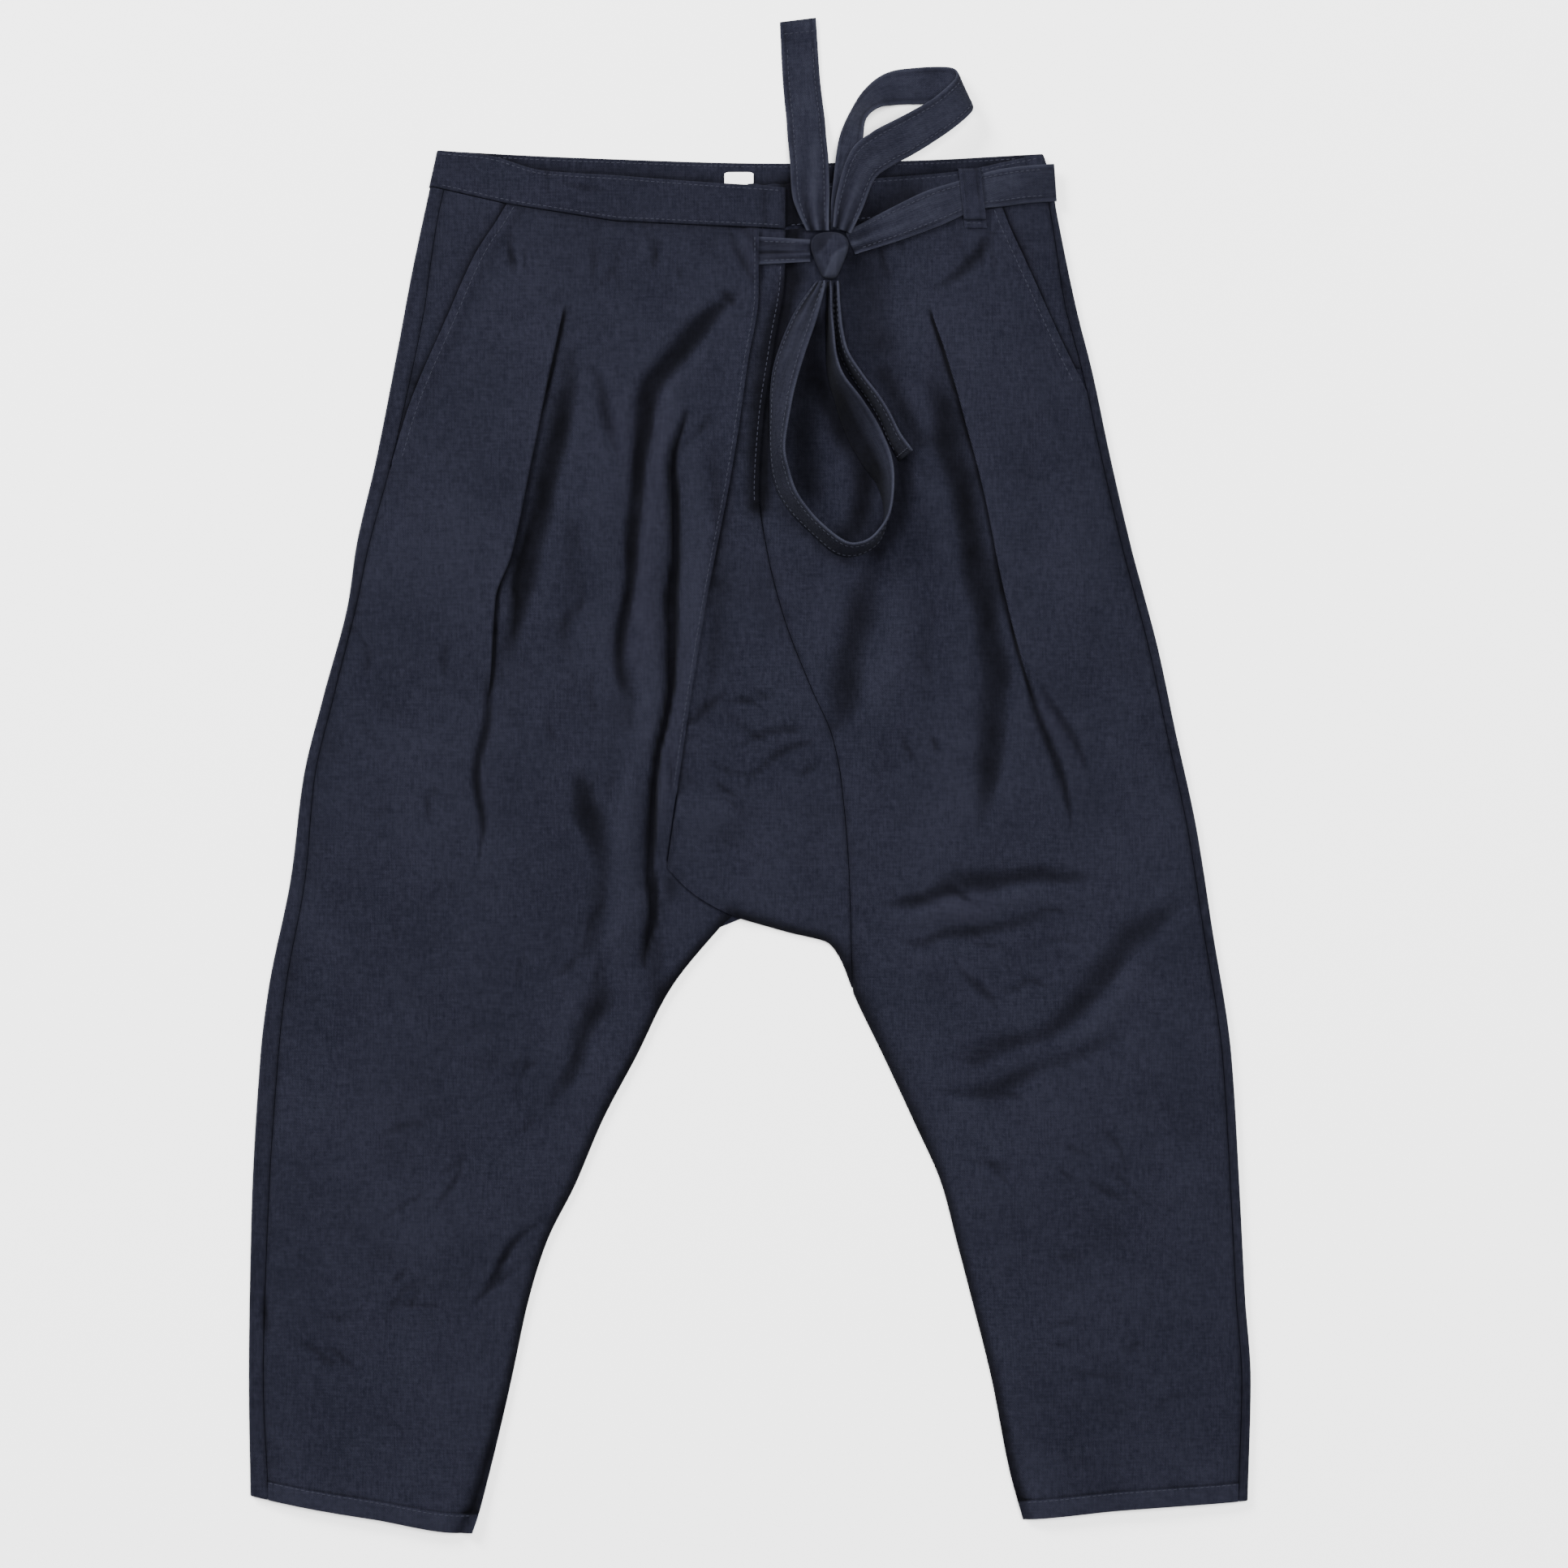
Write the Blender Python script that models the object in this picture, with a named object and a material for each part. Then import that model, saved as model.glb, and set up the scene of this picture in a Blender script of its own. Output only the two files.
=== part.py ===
"""Wrap-front drop-crotch trousers in navy twill, laid flat with the front up.

Sizes are in millimetres and turn into metres when a mesh is made. Across runs from the wearer's
right (-) to the wearer's left (+), down runs from the waist to the hems, and height runs up from
the surface that the trousers lie on. Each cloth piece is a wall of even thickness: its middle
surface is worked out on a grid of sections, and its two faces are that grid moved out both ways.
"""
import math
from collections import namedtuple

import bpy
import numpy as np
from mathutils import Vector

MM = 0.001
CENTRE_ACROSS = -0.63
CENTRE_DOWN = 415.8

# Cloth and layers
CLOTH = 1.2
BAND = 2.0
STRAP = 2.0
AIR = 0.6
SEAM_GAP = 0.4
FLAT_TOLERANCE = 1e-6
TOUCH_GAP = 0.3
LIFT = CLOTH + AIR
BACK_MID = CLOTH / 2
BACK_STEP_IN = 0.6
TURN_RADIUS = 1.9
EDGE_MID = BACK_MID + 2 * TURN_RADIUS
FLOOR_MID = CLOTH + 1.0 + CLOTH / 2
LOFT = 3.0
LOFT_REACH = 30.0
INNER_REACH = 6.0
HEM_EXTRA = 0.6
HEM_TOP = 893.4

# Waistband
BAND_PROUD = 0.2
BAND_UNDER_RUN = 10.0
BAND_ROWS = (0, 1 / 3, 2 / 3, 1)
CENTRE_SEAM = 8.0

# Laps between the front pieces
PLACKET_LAP = 3.0
WRAP_LAP = 12.0
POCKET_LAP = 6.0
LAP_EASE = 8.0
EAR_MID = 3.0
FLAP_MID = 5.6
EAR_REACH = (16, 2)
FLAP_RISE = (34, 12)
FLAP_ENDS = (-12, 6)
SLEEK = 1.2

# Where the pocket openings and the straight part of the middle front end
RIGHT_POCKET_END = 212
LEFT_POCKET_END = 160
STRAIGHT_END = 390
EAR_TOP = 474
EAR_END = 516
LEFT_INSEAM_START = 559
BACK_CROTCH = 500

# Levels between which something fades out, or in where the name says so
RIGHT_POCKET_FADE = (205, 236)
LEFT_POCKET_FADE = (150, 192)
PLACKET_LAP_FADE = (412, 432)
PLACKET_LIFT_FADE = (432, 454)
PLACKET_GAP_START = 430
WRAP_LAP_FADE = (215, 236)
WRAP_DIP_FADE = (236, 262)
EAR_FADE_IN = (454, 474)
EAR_FADE = (522, 560)
RIGHT_EVEN_FADE_IN = (550, 720)
LEFT_EVEN_FADE_IN = (440, 500)
CENTRE_EVEN_FADE_IN = (240, 340)
PLEAT_END = 368

# How the ends of the waistband lap at the front
OVER_LAP = 1.4
OVER_LAP_PLACES = (-24, -10)
UNDER_LAP = 1.0
UNDER_LAP_PLACES = (35, 50)
BAND_EDGE_DOWN = 27.0
BAND_END_PLACE = 205
BAND_COLUMNS = 12

Side = namedtuple("Side", "down edge seam")
Point = namedtuple("Point", "down across")
Across = namedtuple("Across", "across down")
Fold = namedtuple("Fold", "name half_width height path")
Pleat = namedtuple("Pleat", "edge depth sign opens")
Station = namedtuple("Station", "across down height width bearing tilt")
Rims = namedtuple("Rims", "low_across low_down high_across high_down width")

RIGHT_SIDE = (
    Side(0, -208.3, -192), Side(31, -214.8, -199), Side(80, -225, -211.7), Side(132, -234.6, -222),
    Side(208, -249.5, -239), Side(265, -262.5, -254.3), Side(300, -267.5, -261.5),
    Side(365, -284.6, -277.6), Side(418, -297.5, -290), Side(483, -305.6, -296), Side(559, -320.8, -309.5),
    Side(602, -326, -314), Side(710, -332, -321), Side(818, -333.7, -324), Side(895, -332.6, -321),
)
LEFT_SIDE = (
    Side(0, 193.5, 186), Side(14, 198.7, 190), Side(46, 204.5, 197), Side(105, 216.5, 209.5),
    Side(148, 227.3, 220.8), Side(202, 238.7, 232.7), Side(267, 253.8, 247.8), Side(289, 259.7, 253.7),
    Side(332, 271, 265), Side(386, 282.4, 276.4), Side(451, 296.5, 290.5), Side(516, 306.7, 300.7),
    Side(602, 319.7, 313.7), Side(688, 325, 319), Side(764, 328.9, 322.9), Side(818, 332.6, 326.6),
    Side(898, 330.5, 324.5),
)
RIGHT_INSEAM = (
    Point(507, -10.8), Point(516, -19.4), Point(559, -54), Point(602, -75.6), Point(645, -98.3),
    Point(688, -116.6), Point(726, -135.5), Point(764, -147.4), Point(818, -159.3), Point(872, -174.4),
    Point(905, -185), Point(920, -192.8),
)
LEFT_INSEAM = (
    Point(527, 51.3), Point(537, 59.4), Point(559, 67.5), Point(602, 88), Point(645, 108), Point(688, 127),
    Point(726, 137), Point(764, 146.9), Point(818, 160.4), Point(872, 171.7), Point(910, 182.5),
)
CROTCH = (
    Across(-56, 477), Across(-39, 494), Across(-10, 510), Across(13, 517), Across(27.5, 521),
    Across(45, 525), Across(51, 527), Across(59, 537), Across(67.5, 558),
)
EAR = (
    Point(474, -55.6), Point(480, -44), Point(490, -30), Point(500, -17), Point(507, -11.5),
    Point(516, -19.4),
)
PLACKET_SEAM = (
    Point(50, 5.4), Point(95, 5.4), Point(143, -2), Point(186, -8), Point(222, -14), Point(289, -27),
    Point(370, -40.5), Point(435, -50), Point(474, -55.6),
)
WRAP_EDGE = (
    Point(50, 23.2), Point(85, 22.6), Point(129, 15.7), Point(183, 8), Point(228, 5.4), Point(267, 10.8),
    Point(310, 21.6), Point(359, 40.5), Point(390, 54), Point(420, 60), Point(483, 65.3), Point(559, 67.5),
)
RIGHT_POCKET = (Point(38, -162), Point(73, -183.6), Point(121, -206), Point(170, -226.8), Point(208, -238.4))
LEFT_POCKET = (Point(45, 169), Point(89, 189), Point(130, 208), Point(159, 222.4))
TOP_SEAM = (
    Across(-216, 24), Across(-162, 36.5), Across(-90, 47.8), Across(23, 53.3), Across(73, 48.8),
    Across(138, 43), Across(206, 32.4),
)
BACK_TOP_SEAM = (Across(-216, 26.5), Across(8, 37), Across(206, 34))
HEM_LINE = (
    Across(-334, 894.5), Across(-314, 899), Across(-286, 904.5), Across(-252, 910), Across(-190, 919.6),
    Across(182, 910.5), Across(245, 904.5), Across(320, 899), Across(331, 898),
)
RIGHT_BAND_TOP = (
    Across(-208, 0.5), Across(-175, 3.8), Across(-138, 14), Across(-89, 17.3), Across(-40, 21),
    Across(23, 25.4),
)
LEFT_BAND_TOP = (
    Across(-2, 25), Across(19, 25.4), Across(73, 20), Across(138, 14.6), Across(170, 8), Across(196, 2.5),
)
BACK_BAND_TOP = (Across(-208, 0.5), Across(-120, 5), Across(22, 9), Across(110, 7), Across(196, 2.5))

# Middle lines of the pleats and deep folds that the grid's columns follow
RIGHT_PLEAT_EDGE = (
    Point(52, -112), Point(126, -128), Point(196, -143.6), Point(272, -159.8), Point(298, -169),
    Point(348, -172), Point(421, -180), Point(472, -180), Point(900, -262),
)
LEFT_PLEAT_EDGE = (
    Point(50, 112), Point(104, 118.8), Point(134, 128.5), Point(224, 154.4), Point(306, 171),
    Point(361, 186.3), Point(424, 212), Point(451, 212), Point(905, 262),
)
TROUGH_GUIDE = (
    Point(52, -32), Point(100, -24), Point(117, -35), Point(144, -59.4), Point(174, -71), Point(240, -74.5),
    Point(300, -83), Point(348, -84.8), Point(450, -95), Point(560, -120), Point(900, -240),
)
SLIT_GUIDE = (
    Point(52, -14), Point(100, -12), Point(144, -30), Point(174, -42), Point(209, -50.8), Point(270, -49.5),
    Point(354, -52.4), Point(405, -60), Point(477, -64), Point(546, -68), Point(602, -92), Point(700, -150),
    Point(900, -215),
)
RECESS_GUIDE = (
    Point(50, 95), Point(104, 112), Point(154, 121.5), Point(202, 135), Point(251, 146), Point(300, 154),
    Point(348, 160), Point(402, 157), Point(445, 151), Point(905, 225),
)

# How far a pleat is open by level: 0 is flat cloth, 1 a step and 2 a fold of three layers
PLEAT_OPENS = (
    (104, 0), (112, 0.3), (150, 1), (158, 1.12), (168, 1.4), (192, 2), (262, 2), (288, 1.5), (312, 1.15),
    (323, 1.05), (335, 0.9), (366, 0),
)
RIGHT_PLEAT = Pleat(RIGHT_PLEAT_EDGE, 14.0, 1, PLEAT_OPENS)
LEFT_PLEAT = Pleat(LEFT_PLEAT_EDGE, 18.0, -1, PLEAT_OPENS)
FOLDS = (
    Fold("trough beside the placket", 19, -5, TROUGH_GUIDE[1:8]),
    Fold("ridge between trough and slit", 17, 4.2,
         (Point(154, -49), Point(251, -63), Point(359, -68), Point(402, -72))),
    Fold("ridge beyond the slit", 14, 2.8, (Point(181, -36), Point(289, -36), Point(386, -40))),
    Fold("slit", 6, -8, SLIT_GUIDE[2:10]),
    Fold("ridge above the right leg", 16, 3.4,
         (Point(402, -78), Point(467, -82), Point(521, -84), Point(564, -95))),
    Fold("mound on the placket", 26, 2.8, (Point(418, -27), Point(462, -36))),
    Fold("trough below the bow", 24, -3.2,
         (Point(273, 85), Point(318, 75), Point(357, 64), Point(389, 57))),
    Fold("ridge below the bow", 24, 2, (Point(278, 100), Point(332, 89), Point(386, 78))),
    Fold("pit on the right thigh", 15, -3.2,
         (Point(412, -112), Point(435, -107), Point(460, -104), Point(470, -103))),
    Fold("recess inside the right pleat", 17, -3,
         (Point(140, -120), Point(196, -130), Point(272, -146), Point(330, -160))),
    Fold("right pleat's end", 6, -2.2,
         (Point(348, -172), Point(387, -177), Point(421, -180), Point(472, -180))),
    Fold("recess inside the left pleat", 20, -3.2, RECESS_GUIDE[2:9]),
    Fold("left pleat's end", 6, -2.6,
         (Point(332, 179), Point(361, 186), Point(395, 199), Point(424, 212), Point(451, 212))),
    Fold("upper trough on the left thigh", 17, -3,
         (Point(499, 91), Point(497, 121), Point(484, 143), Point(481, 173), Point(485, 233))),
    Fold("ridge on the left thigh", 14, 2.2, (Point(513, 94), Point(500, 160), Point(502, 224))),
    Fold("crease on the left thigh", 11, -2.4,
         (Point(524, 97), Point(528, 120), Point(518, 155), Point(514, 195))),
    Fold("drag from the left knee", 24, -3.8,
         (Point(499, 292), Point(518, 259), Point(540, 240), Point(589, 199), Point(600, 166),
          Point(603, 132))),
    Fold("ridge at the left knee", 16, 2.6,
         (Point(537, 267), Point(570, 240), Point(597, 202), Point(613, 148))),
    Fold("lower trough at the left knee", 17, -2.8,
         (Point(589, 240), Point(603, 207), Point(622, 160), Point(630, 121))),
    Fold("drag at the right inseam", 14, -2.6,
         (Point(529, -91), Point(562, -96), Point(590, -110), Point(634, -132))),
)
FOLD_STEPS = 6
FOLD_FADE = 45.0
FOLD_TIP = 0.4

LEVELS = (
    50, 56, 66, 78, 92, 103, 112, 130, 150, 158, 168, 180, 192, 215, 236, 262, 288, 312, 323, 335, 368, 390,
    412, 432, 454, 474, 490, 506, 522, 540, 560, 588, 620, 660, 710, 760, 810, 855, 892.6, HEM_TOP, 905,
)
FIRST_LEVEL = LEVELS[0]
LAST_LEVEL = LEVELS[-1]

TWILL = ("navy_twill", (0.022, 0.023, 0.041, 1), 0.92)
TAPE = ("navy_twill_tape", (0.024, 0.025, 0.045, 1), 0.9)
LABEL_CLOTH = ("white_label_cloth", (0.85, 0.85, 0.84, 1), 0.8)


class Curve:
    """A smooth curve through (station, value) rows that never swings past its rows."""

    def __init__(self, rows):
        rows = sorted(rows)
        self.stations = np.array([row[0] for row in rows], float)
        self.values = np.array([row[1] for row in rows], float)
        steps = np.diff(self.stations)
        slopes = np.diff(self.values) / steps
        turns = slopes[:-1] * slopes[1:]
        inner = np.where(turns > 0, 2 * turns / np.where(turns > 0, slopes[:-1] + slopes[1:], 1), 0)
        self.slopes = np.concatenate(([slopes[0]], inner, [slopes[-1]]))

    def __call__(self, station):
        s = np.clip(np.asarray(station, float), self.stations[0], self.stations[-1])
        i = np.clip(np.searchsorted(self.stations, s, side="right") - 1, 0, len(self.stations) - 2)
        step = self.stations[i + 1] - self.stations[i]
        t = (s - self.stations[i]) / step
        return ((1 + 2 * t) * (1 - t) ** 2 * self.values[i] + t * (1 - t) ** 2 * step * self.slopes[i]
                + t * t * (3 - 2 * t) * self.values[i + 1] + t * t * (t - 1) * step * self.slopes[i + 1])


class Line(Curve):
    """Straight stretches through (station, value) rows."""

    def __call__(self, station):
        return np.interp(station, self.stations, self.values)


RIGHT_EDGE = Curve([(row.down, row.edge) for row in RIGHT_SIDE])
RIGHT_SEAM = Curve([(row.down, row.seam) for row in RIGHT_SIDE])
LEFT_EDGE = Curve([(row.down, row.edge) for row in LEFT_SIDE])
LEFT_SEAM = Curve([(row.down, row.seam) for row in LEFT_SIDE])
INSEAM_RIGHT = Curve(RIGHT_INSEAM)
INSEAM_LEFT = Curve(LEFT_INSEAM)
CROTCH_LINE = Curve(CROTCH)
EAR_LINE = Curve(EAR)
PLACKET = Curve(PLACKET_SEAM)
WRAP = Curve(WRAP_EDGE)
POCKET_RIGHT = Curve(RIGHT_POCKET)
POCKET_LEFT = Curve(LEFT_POCKET)
FRONT_TOP = Line(TOP_SEAM)
BACK_TOP = Line(BACK_TOP_SEAM)
BACK_BAND = Curve(BACK_BAND_TOP)
HEM = Curve(HEM_LINE)


def ramp(value, start, end):
    """Return 0 before start, 1 after end and a smooth rise between them."""
    t = np.clip((np.asarray(value, float) - start) / (end - start), 0, 1)
    return t * t * (3 - 2 * t)


def mix(first, second, share):
    """Return first where share is 0 and second where it is 1."""
    return first + (second - first) * share


def smooth_path(points, steps):
    """Return points along a rounded line through the given points, several to each stretch."""
    knots = np.array(points, float)
    knots = np.vstack([2 * knots[0] - knots[1], knots, 2 * knots[-1] - knots[-2]])
    out = []
    for i in range(1, len(knots) - 2):
        before, start, end, after = knots[i - 1:i + 3]
        for k in range(steps):
            t = k / steps
            bend = (2 * before - 5 * start + 4 * end - after) * t ** 2
            turn = (3 * start - before - 3 * end + after) * t ** 3
            out.append(0.5 * (2 * start + (end - before) * t + bend + turn))
    out.append(knots[-2])
    return np.array(out)


def path_distance(down, across, path):
    """Return how far each place is from a path of (down, across) points, and how far along the path."""
    best = np.full(np.shape(across), 1e9)
    along = np.zeros(np.shape(across))
    walked = 0.0
    for start, end in zip(path[:-1], path[1:]):
        run = end - start
        length = math.hypot(*run)
        t = np.clip(((down - start[0]) * run[0] + (across - start[1]) * run[1]) / length ** 2, 0, 1)
        distance = np.hypot(down - start[0] - t * run[0], across - start[1] - t * run[1])
        along = np.where(distance < best, walked + t * length, along)
        best = np.minimum(best, distance)
        walked += length
    return best, along, walked


def fold_height(down, across):
    """Return what all the folds together add to the cloth's height at each place."""
    total = np.zeros(np.shape(across))
    for fold in FOLDS:
        distance, along, length = path_distance(down, across, smooth_path(fold.path, FOLD_STEPS))
        fade = min(FOLD_FADE, length / 2)
        end_shape = ramp(along, -fade / 3, fade) * ramp(length - along, -fade / 3, fade)
        half_width = fold.half_width * mix(FOLD_TIP, 1, end_shape)
        across_shape = np.cos(np.clip(distance / half_width, 0, 1) * math.pi / 2) ** 2
        total = total + fold.height * across_shape * end_shape
    return total


def inner_outline():
    """Return the line round the inside of both legs, over the crotch, as (down, across) points."""
    right = [(down, INSEAM_RIGHT(down)) for down in np.linspace(920, 510, 24)]
    crotch = [(CROTCH_LINE(across), across) for across in np.linspace(-9, 60, 14)]
    left = [(down, INSEAM_LEFT(down)) for down in np.linspace(545, 910, 20)]
    return np.array(right + crotch + left, float)


INNER_OUTLINE = inner_outline()


def front_mid(across, down):
    """Return the height of the middle of the front cloth, which the front pieces share."""
    across, down = np.broadcast_arrays(np.asarray(across, float), np.asarray(down, float))
    outer = np.minimum(across - RIGHT_EDGE(down), LEFT_EDGE(down) - across)
    loft = LOFT * mix(0.27, 1.0, ramp(down, 55, 130))
    mid = EDGE_MID + loft * (1 - np.exp(-np.maximum(outer, 0) / LOFT_REACH))
    inner = path_distance(down, across, INNER_OUTLINE)[0]
    inner = np.where(down > 440, inner, 1e3)
    mid = mid - (mid - FLOOR_MID) * np.exp(-inner / INNER_REACH)
    return np.maximum(mid + fold_height(down, across), FLOOR_MID)


def level_down(level, across, top_line=FRONT_TOP):
    """Return how far down a level lies: levels follow the top seam above and the hem below."""
    top = (top_line(across) - FIRST_LEVEL) * (1 - ramp(level, FIRST_LEVEL, 110))
    hem = (HEM(across) - LAST_LEVEL) * ramp(level, 800, LAST_LEVEL)
    return level + top + hem


def new_object(name, finish, vertices, faces):
    """Make one named object from millimetre points and faces, with its own material."""
    colour_name, colour, roughness = finish
    mesh = bpy.data.meshes.new(name)
    mesh.from_pydata([tuple(v) for v in vertices], [], faces)
    mesh.update()
    material = bpy.data.materials.new(f"{colour_name}_{name}")
    material.use_nodes = True
    shader = material.node_tree.nodes["Principled BSDF"]
    shader.inputs["Base Color"].default_value = colour
    shader.inputs["Roughness"].default_value = roughness
    shader.inputs["Metallic"].default_value = 0.0
    mesh.materials.append(material)
    item = bpy.data.objects.new(name, mesh)
    bpy.context.scene.collection.objects.link(item)
    return item


def placed(across, down, height):
    """Turn garment sizes into a point in metres, centred over the origin."""
    return np.stack([(across - CENTRE_ACROSS) * MM, (CENTRE_DOWN - down) * MM, height * MM], axis=-1)


def wall(name, finish, upper, lower):
    """Make a closed wall between an upper and a lower grid of points."""
    rows, columns = upper.shape[:2]
    vertices = np.concatenate([upper.reshape(-1, 3), lower.reshape(-1, 3)])
    under = rows * columns

    def at(i, j, side):
        return i * columns + j + side * under

    faces = []
    for i in range(rows - 1):
        for j in range(columns - 1):
            a, b, c, d = at(i, j, 0), at(i + 1, j, 0), at(i + 1, j + 1, 0), at(i, j + 1, 0)
            faces += [(a, b, c), (a, c, d)]
            faces += [(c + under, b + under, a + under), (d + under, c + under, a + under)]
    rim = [(0, j) for j in range(columns)] + [(i, columns - 1) for i in range(1, rows)]
    rim += [(rows - 1, j) for j in range(columns - 2, -1, -1)] + [(i, 0) for i in range(rows - 2, 0, -1)]
    for (i, j), (k, m) in zip(rim, rim[1:] + rim[:1]):
        faces.append((at(i, j, 0), at(k, m, 0), at(k, m, 1), at(i, j, 1)))
    return new_object(name, finish, vertices, faces)


def cloth_piece(name, across, down, height, upright=(), thickness=CLOTH, extra=0.0, finish=TWILL):
    """Make a cloth piece from a grid of middle points, a row for each section.

    The wall is thickened square to its section. Columns marked upright, and points that lie flat on
    the surface, are thickened straight up and down, so that edges stay plumb and laps parallel.
    Extra is added to the upper face. A section runs so that its left-hand side is the upper face.
    """
    steps = np.stack([np.diff(across, axis=1), np.diff(height, axis=1)], axis=-1)
    steps /= np.linalg.norm(steps, axis=-1, keepdims=True)
    along = np.concatenate([steps[:, :1], steps[:, :-1] + steps[:, 1:], steps[:, -1:]], axis=1)
    along /= np.linalg.norm(along, axis=-1, keepdims=True)
    out_across = -along[..., 1]
    out_height = along[..., 0]
    plumb = np.abs(height - thickness / 2) < FLAT_TOLERANCE
    plumb[:, list(upright)] = True
    out_across[plumb] = 0
    out_height[plumb] = np.sign(out_height[plumb])
    half = thickness / 2
    upper = placed(across + out_across * half, down, height + out_height * (half + extra))
    lower = placed(across - out_across * half, down, height - out_height * half)
    return wall(name, finish, upper, lower)


def spread(columns, first, last, least=1.2):
    """Push the columns between two kept ones apart, in place, where they crowd."""
    least = min(least, (columns[last] - columns[first]) / (last - first) * 0.8)
    for j in range(first + 1, last):
        columns[j] = max(columns[j], columns[j - 1] + least)
    for j in range(last - 1, first, -1):
        columns[j] = min(columns[j], columns[j + 1] - least)


def between(first, last, count):
    """Return count even places strictly between two places."""
    return [mix(first, last, (k + 1) / (count + 1)) for k in range(count)]


PLEAT_COLUMNS = 9
STEP_ACROSS = np.array([-12, -4, -1.8, -1, -0.6, -0.2, 0.2, 1, 4])
STEP_HEIGHT = np.array([2.4, 3.3, 3.6, 2.9, 2.0, 1.6, 0.8, 0, 0])
FOLD_HEIGHT = np.array([2.4, 3.1, 3.6, 2.7, 1.8, 1.8, 0.9, 0, 0])


def pleat_section(pleat, level):
    """Return the across offsets and heights of a pleat's nine columns at one level.

    The pleat opens from flat to a step, and from a step to a fold whose upper layer lies on the lower.
    """
    opening = float(Curve(pleat.opens)(level))
    depth = pleat.depth
    folded = np.array([-depth - 10, -depth - 2, -1.2, 0, -1.2, 1.2 - depth, -depth, 1.2 - depth, 2])
    if opening <= 1:
        offsets = STEP_ACROSS
        heights = STEP_HEIGHT * opening
    else:
        offsets = mix(STEP_ACROSS, folded, opening - 1)
        heights = mix(STEP_HEIGHT, FOLD_HEIGHT, opening - 1)
    if pleat.sign < 0:
        return -offsets[::-1], heights[::-1]
    return offsets, heights


def rise_towards(across, pleat_at, sign, top):
    """Return the lift of the cloth that rises evenly towards a pleat's upper layer."""
    lift = np.zeros(len(across))
    if sign > 0:
        near, far, rising = across[pleat_at], across[2], slice(2, pleat_at)
    else:
        after = pleat_at + PLEAT_COLUMNS
        near, far, rising = across[after - 1], across[-3], slice(after, -3)
    lift[rising] = top * (across[rising] - far) / (near - far)
    return lift


def lap_lift(distance, lap):
    """Return the lift of a piece that lies over its neighbour, by distance in from its edge."""
    return LIFT * (1 - ramp(distance, lap + 1, lap + 1 + LAP_EASE))


def level_heights(across, down, pleat_at):
    """Return a row's shared heights, with the pleat's layers all read from one straight line."""
    heights = front_mid(across, down)
    if pleat_at is not None:
        ends = [pleat_at, pleat_at + PLEAT_COLUMNS - 1]
        layer = slice(pleat_at, pleat_at + PLEAT_COLUMNS)
        heights[layer] = np.interp(across[layer], across[ends], heights[ends])
    return heights


def rowwise(level, columns, top_line=FRONT_TOP):
    """Return a row's across and down places as arrays."""
    across = np.array(columns, float)
    return across, level_down(level, across, top_line)


SLIT_LIFT = Curve([(50, 3.0), (56, 4.4), (72, 4.4), (80, 3.4), (92, 2.0), (103, LIFT)])


def build_front_right():
    """The right front leg: it lies over the pocket piece and the placket, and tucks under the flap."""
    across, down, height = [], [], []
    pleat_at = 5
    for level in LEVELS:
        pocket = level < RIGHT_POCKET_END
        outer = float(POCKET_RIGHT(level)) if pocket else float(RIGHT_SEAM(level)) + SEAM_GAP
        if level <= EAR_TOP:
            inner = float(PLACKET(level)) - (SEAM_GAP if level > PLACKET_GAP_START else 0)
        elif level < EAR_END:
            inner = float(EAR_LINE(level))
        else:
            inner = float(INSEAM_RIGHT(level))
        edge = float(Curve(RIGHT_PLEAT.edge)(level))
        offsets, lifts = pleat_section(RIGHT_PLEAT, level)
        folds = list(edge + offsets)
        trough = float(Curve(TROUGH_GUIDE)(level))
        slit = float(Curve(SLIT_GUIDE)(level))
        guides = [outer, outer + 6, outer + 7] + between(outer + 7, folds[0], 2) + folds
        guides += between(folds[-1], trough - 7, 3) + [trough - 7, trough, trough + 7]
        guides += [(trough + slit) / 2 + 1, slit - 5, slit - 1.5, slit + 1.5, slit + 5]
        guides += [(slit + 5 + inner - 4) / 2, inner - 4, inner - 3, inner]
        even = guides[:3] + between(guides[2], guides[-3], len(guides) - 6) + guides[-3:]
        share = float(ramp(level, *RIGHT_EVEN_FADE_IN))
        columns = np.array([mix(g, e, share) for g, e in zip(guides, even)])
        spread(columns, pleat_at + PLEAT_COLUMNS - 1, len(columns) - 3)
        row_across, row_down = rowwise(level, columns)
        row_height = level_heights(row_across, row_down, pleat_at if level < PLEAT_END else None)
        row_height += rise_towards(row_across, pleat_at, RIGHT_PLEAT.sign, lifts[0])
        row_height[pleat_at:pleat_at + PLEAT_COLUMNS] += lifts
        row_height += lap_lift(row_across - outer, POCKET_LAP) * float(1 - ramp(level, *RIGHT_POCKET_FADE))
        lift = float(SLIT_LIFT(level)) * float(1 - ramp(level, *PLACKET_LIFT_FADE))
        row_height += lap_lift(inner - row_across, PLACKET_LAP) / LIFT * lift
        ear_at = float(PLACKET(EAR_TOP))
        ear = ramp(row_across, ear_at - EAR_REACH[0], ear_at - EAR_REACH[1])
        ear = ear * float(ramp(level, *EAR_FADE_IN) * (1 - ramp(level, *EAR_FADE)))
        row_height = mix(row_height, np.minimum(row_height, EAR_MID), ear)
        across.append(row_across)
        down.append(row_down)
        height.append(row_height)
    return finish_leg("front_right", across, down, height)


def finish_leg(name, across, down, height):
    """Thicken a front leg's rows, with the turned hem standing a little proud."""
    across, down, height = np.array(across), np.array(down), np.array(height)
    upright = [0, 1, 2, -3, -2, -1]
    extra = np.zeros(across.shape)
    extra[LEVELS.index(HEM_TOP):] = HEM_EXTRA
    return cloth_piece(name, across, down, height, upright, extra=extra)


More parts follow.
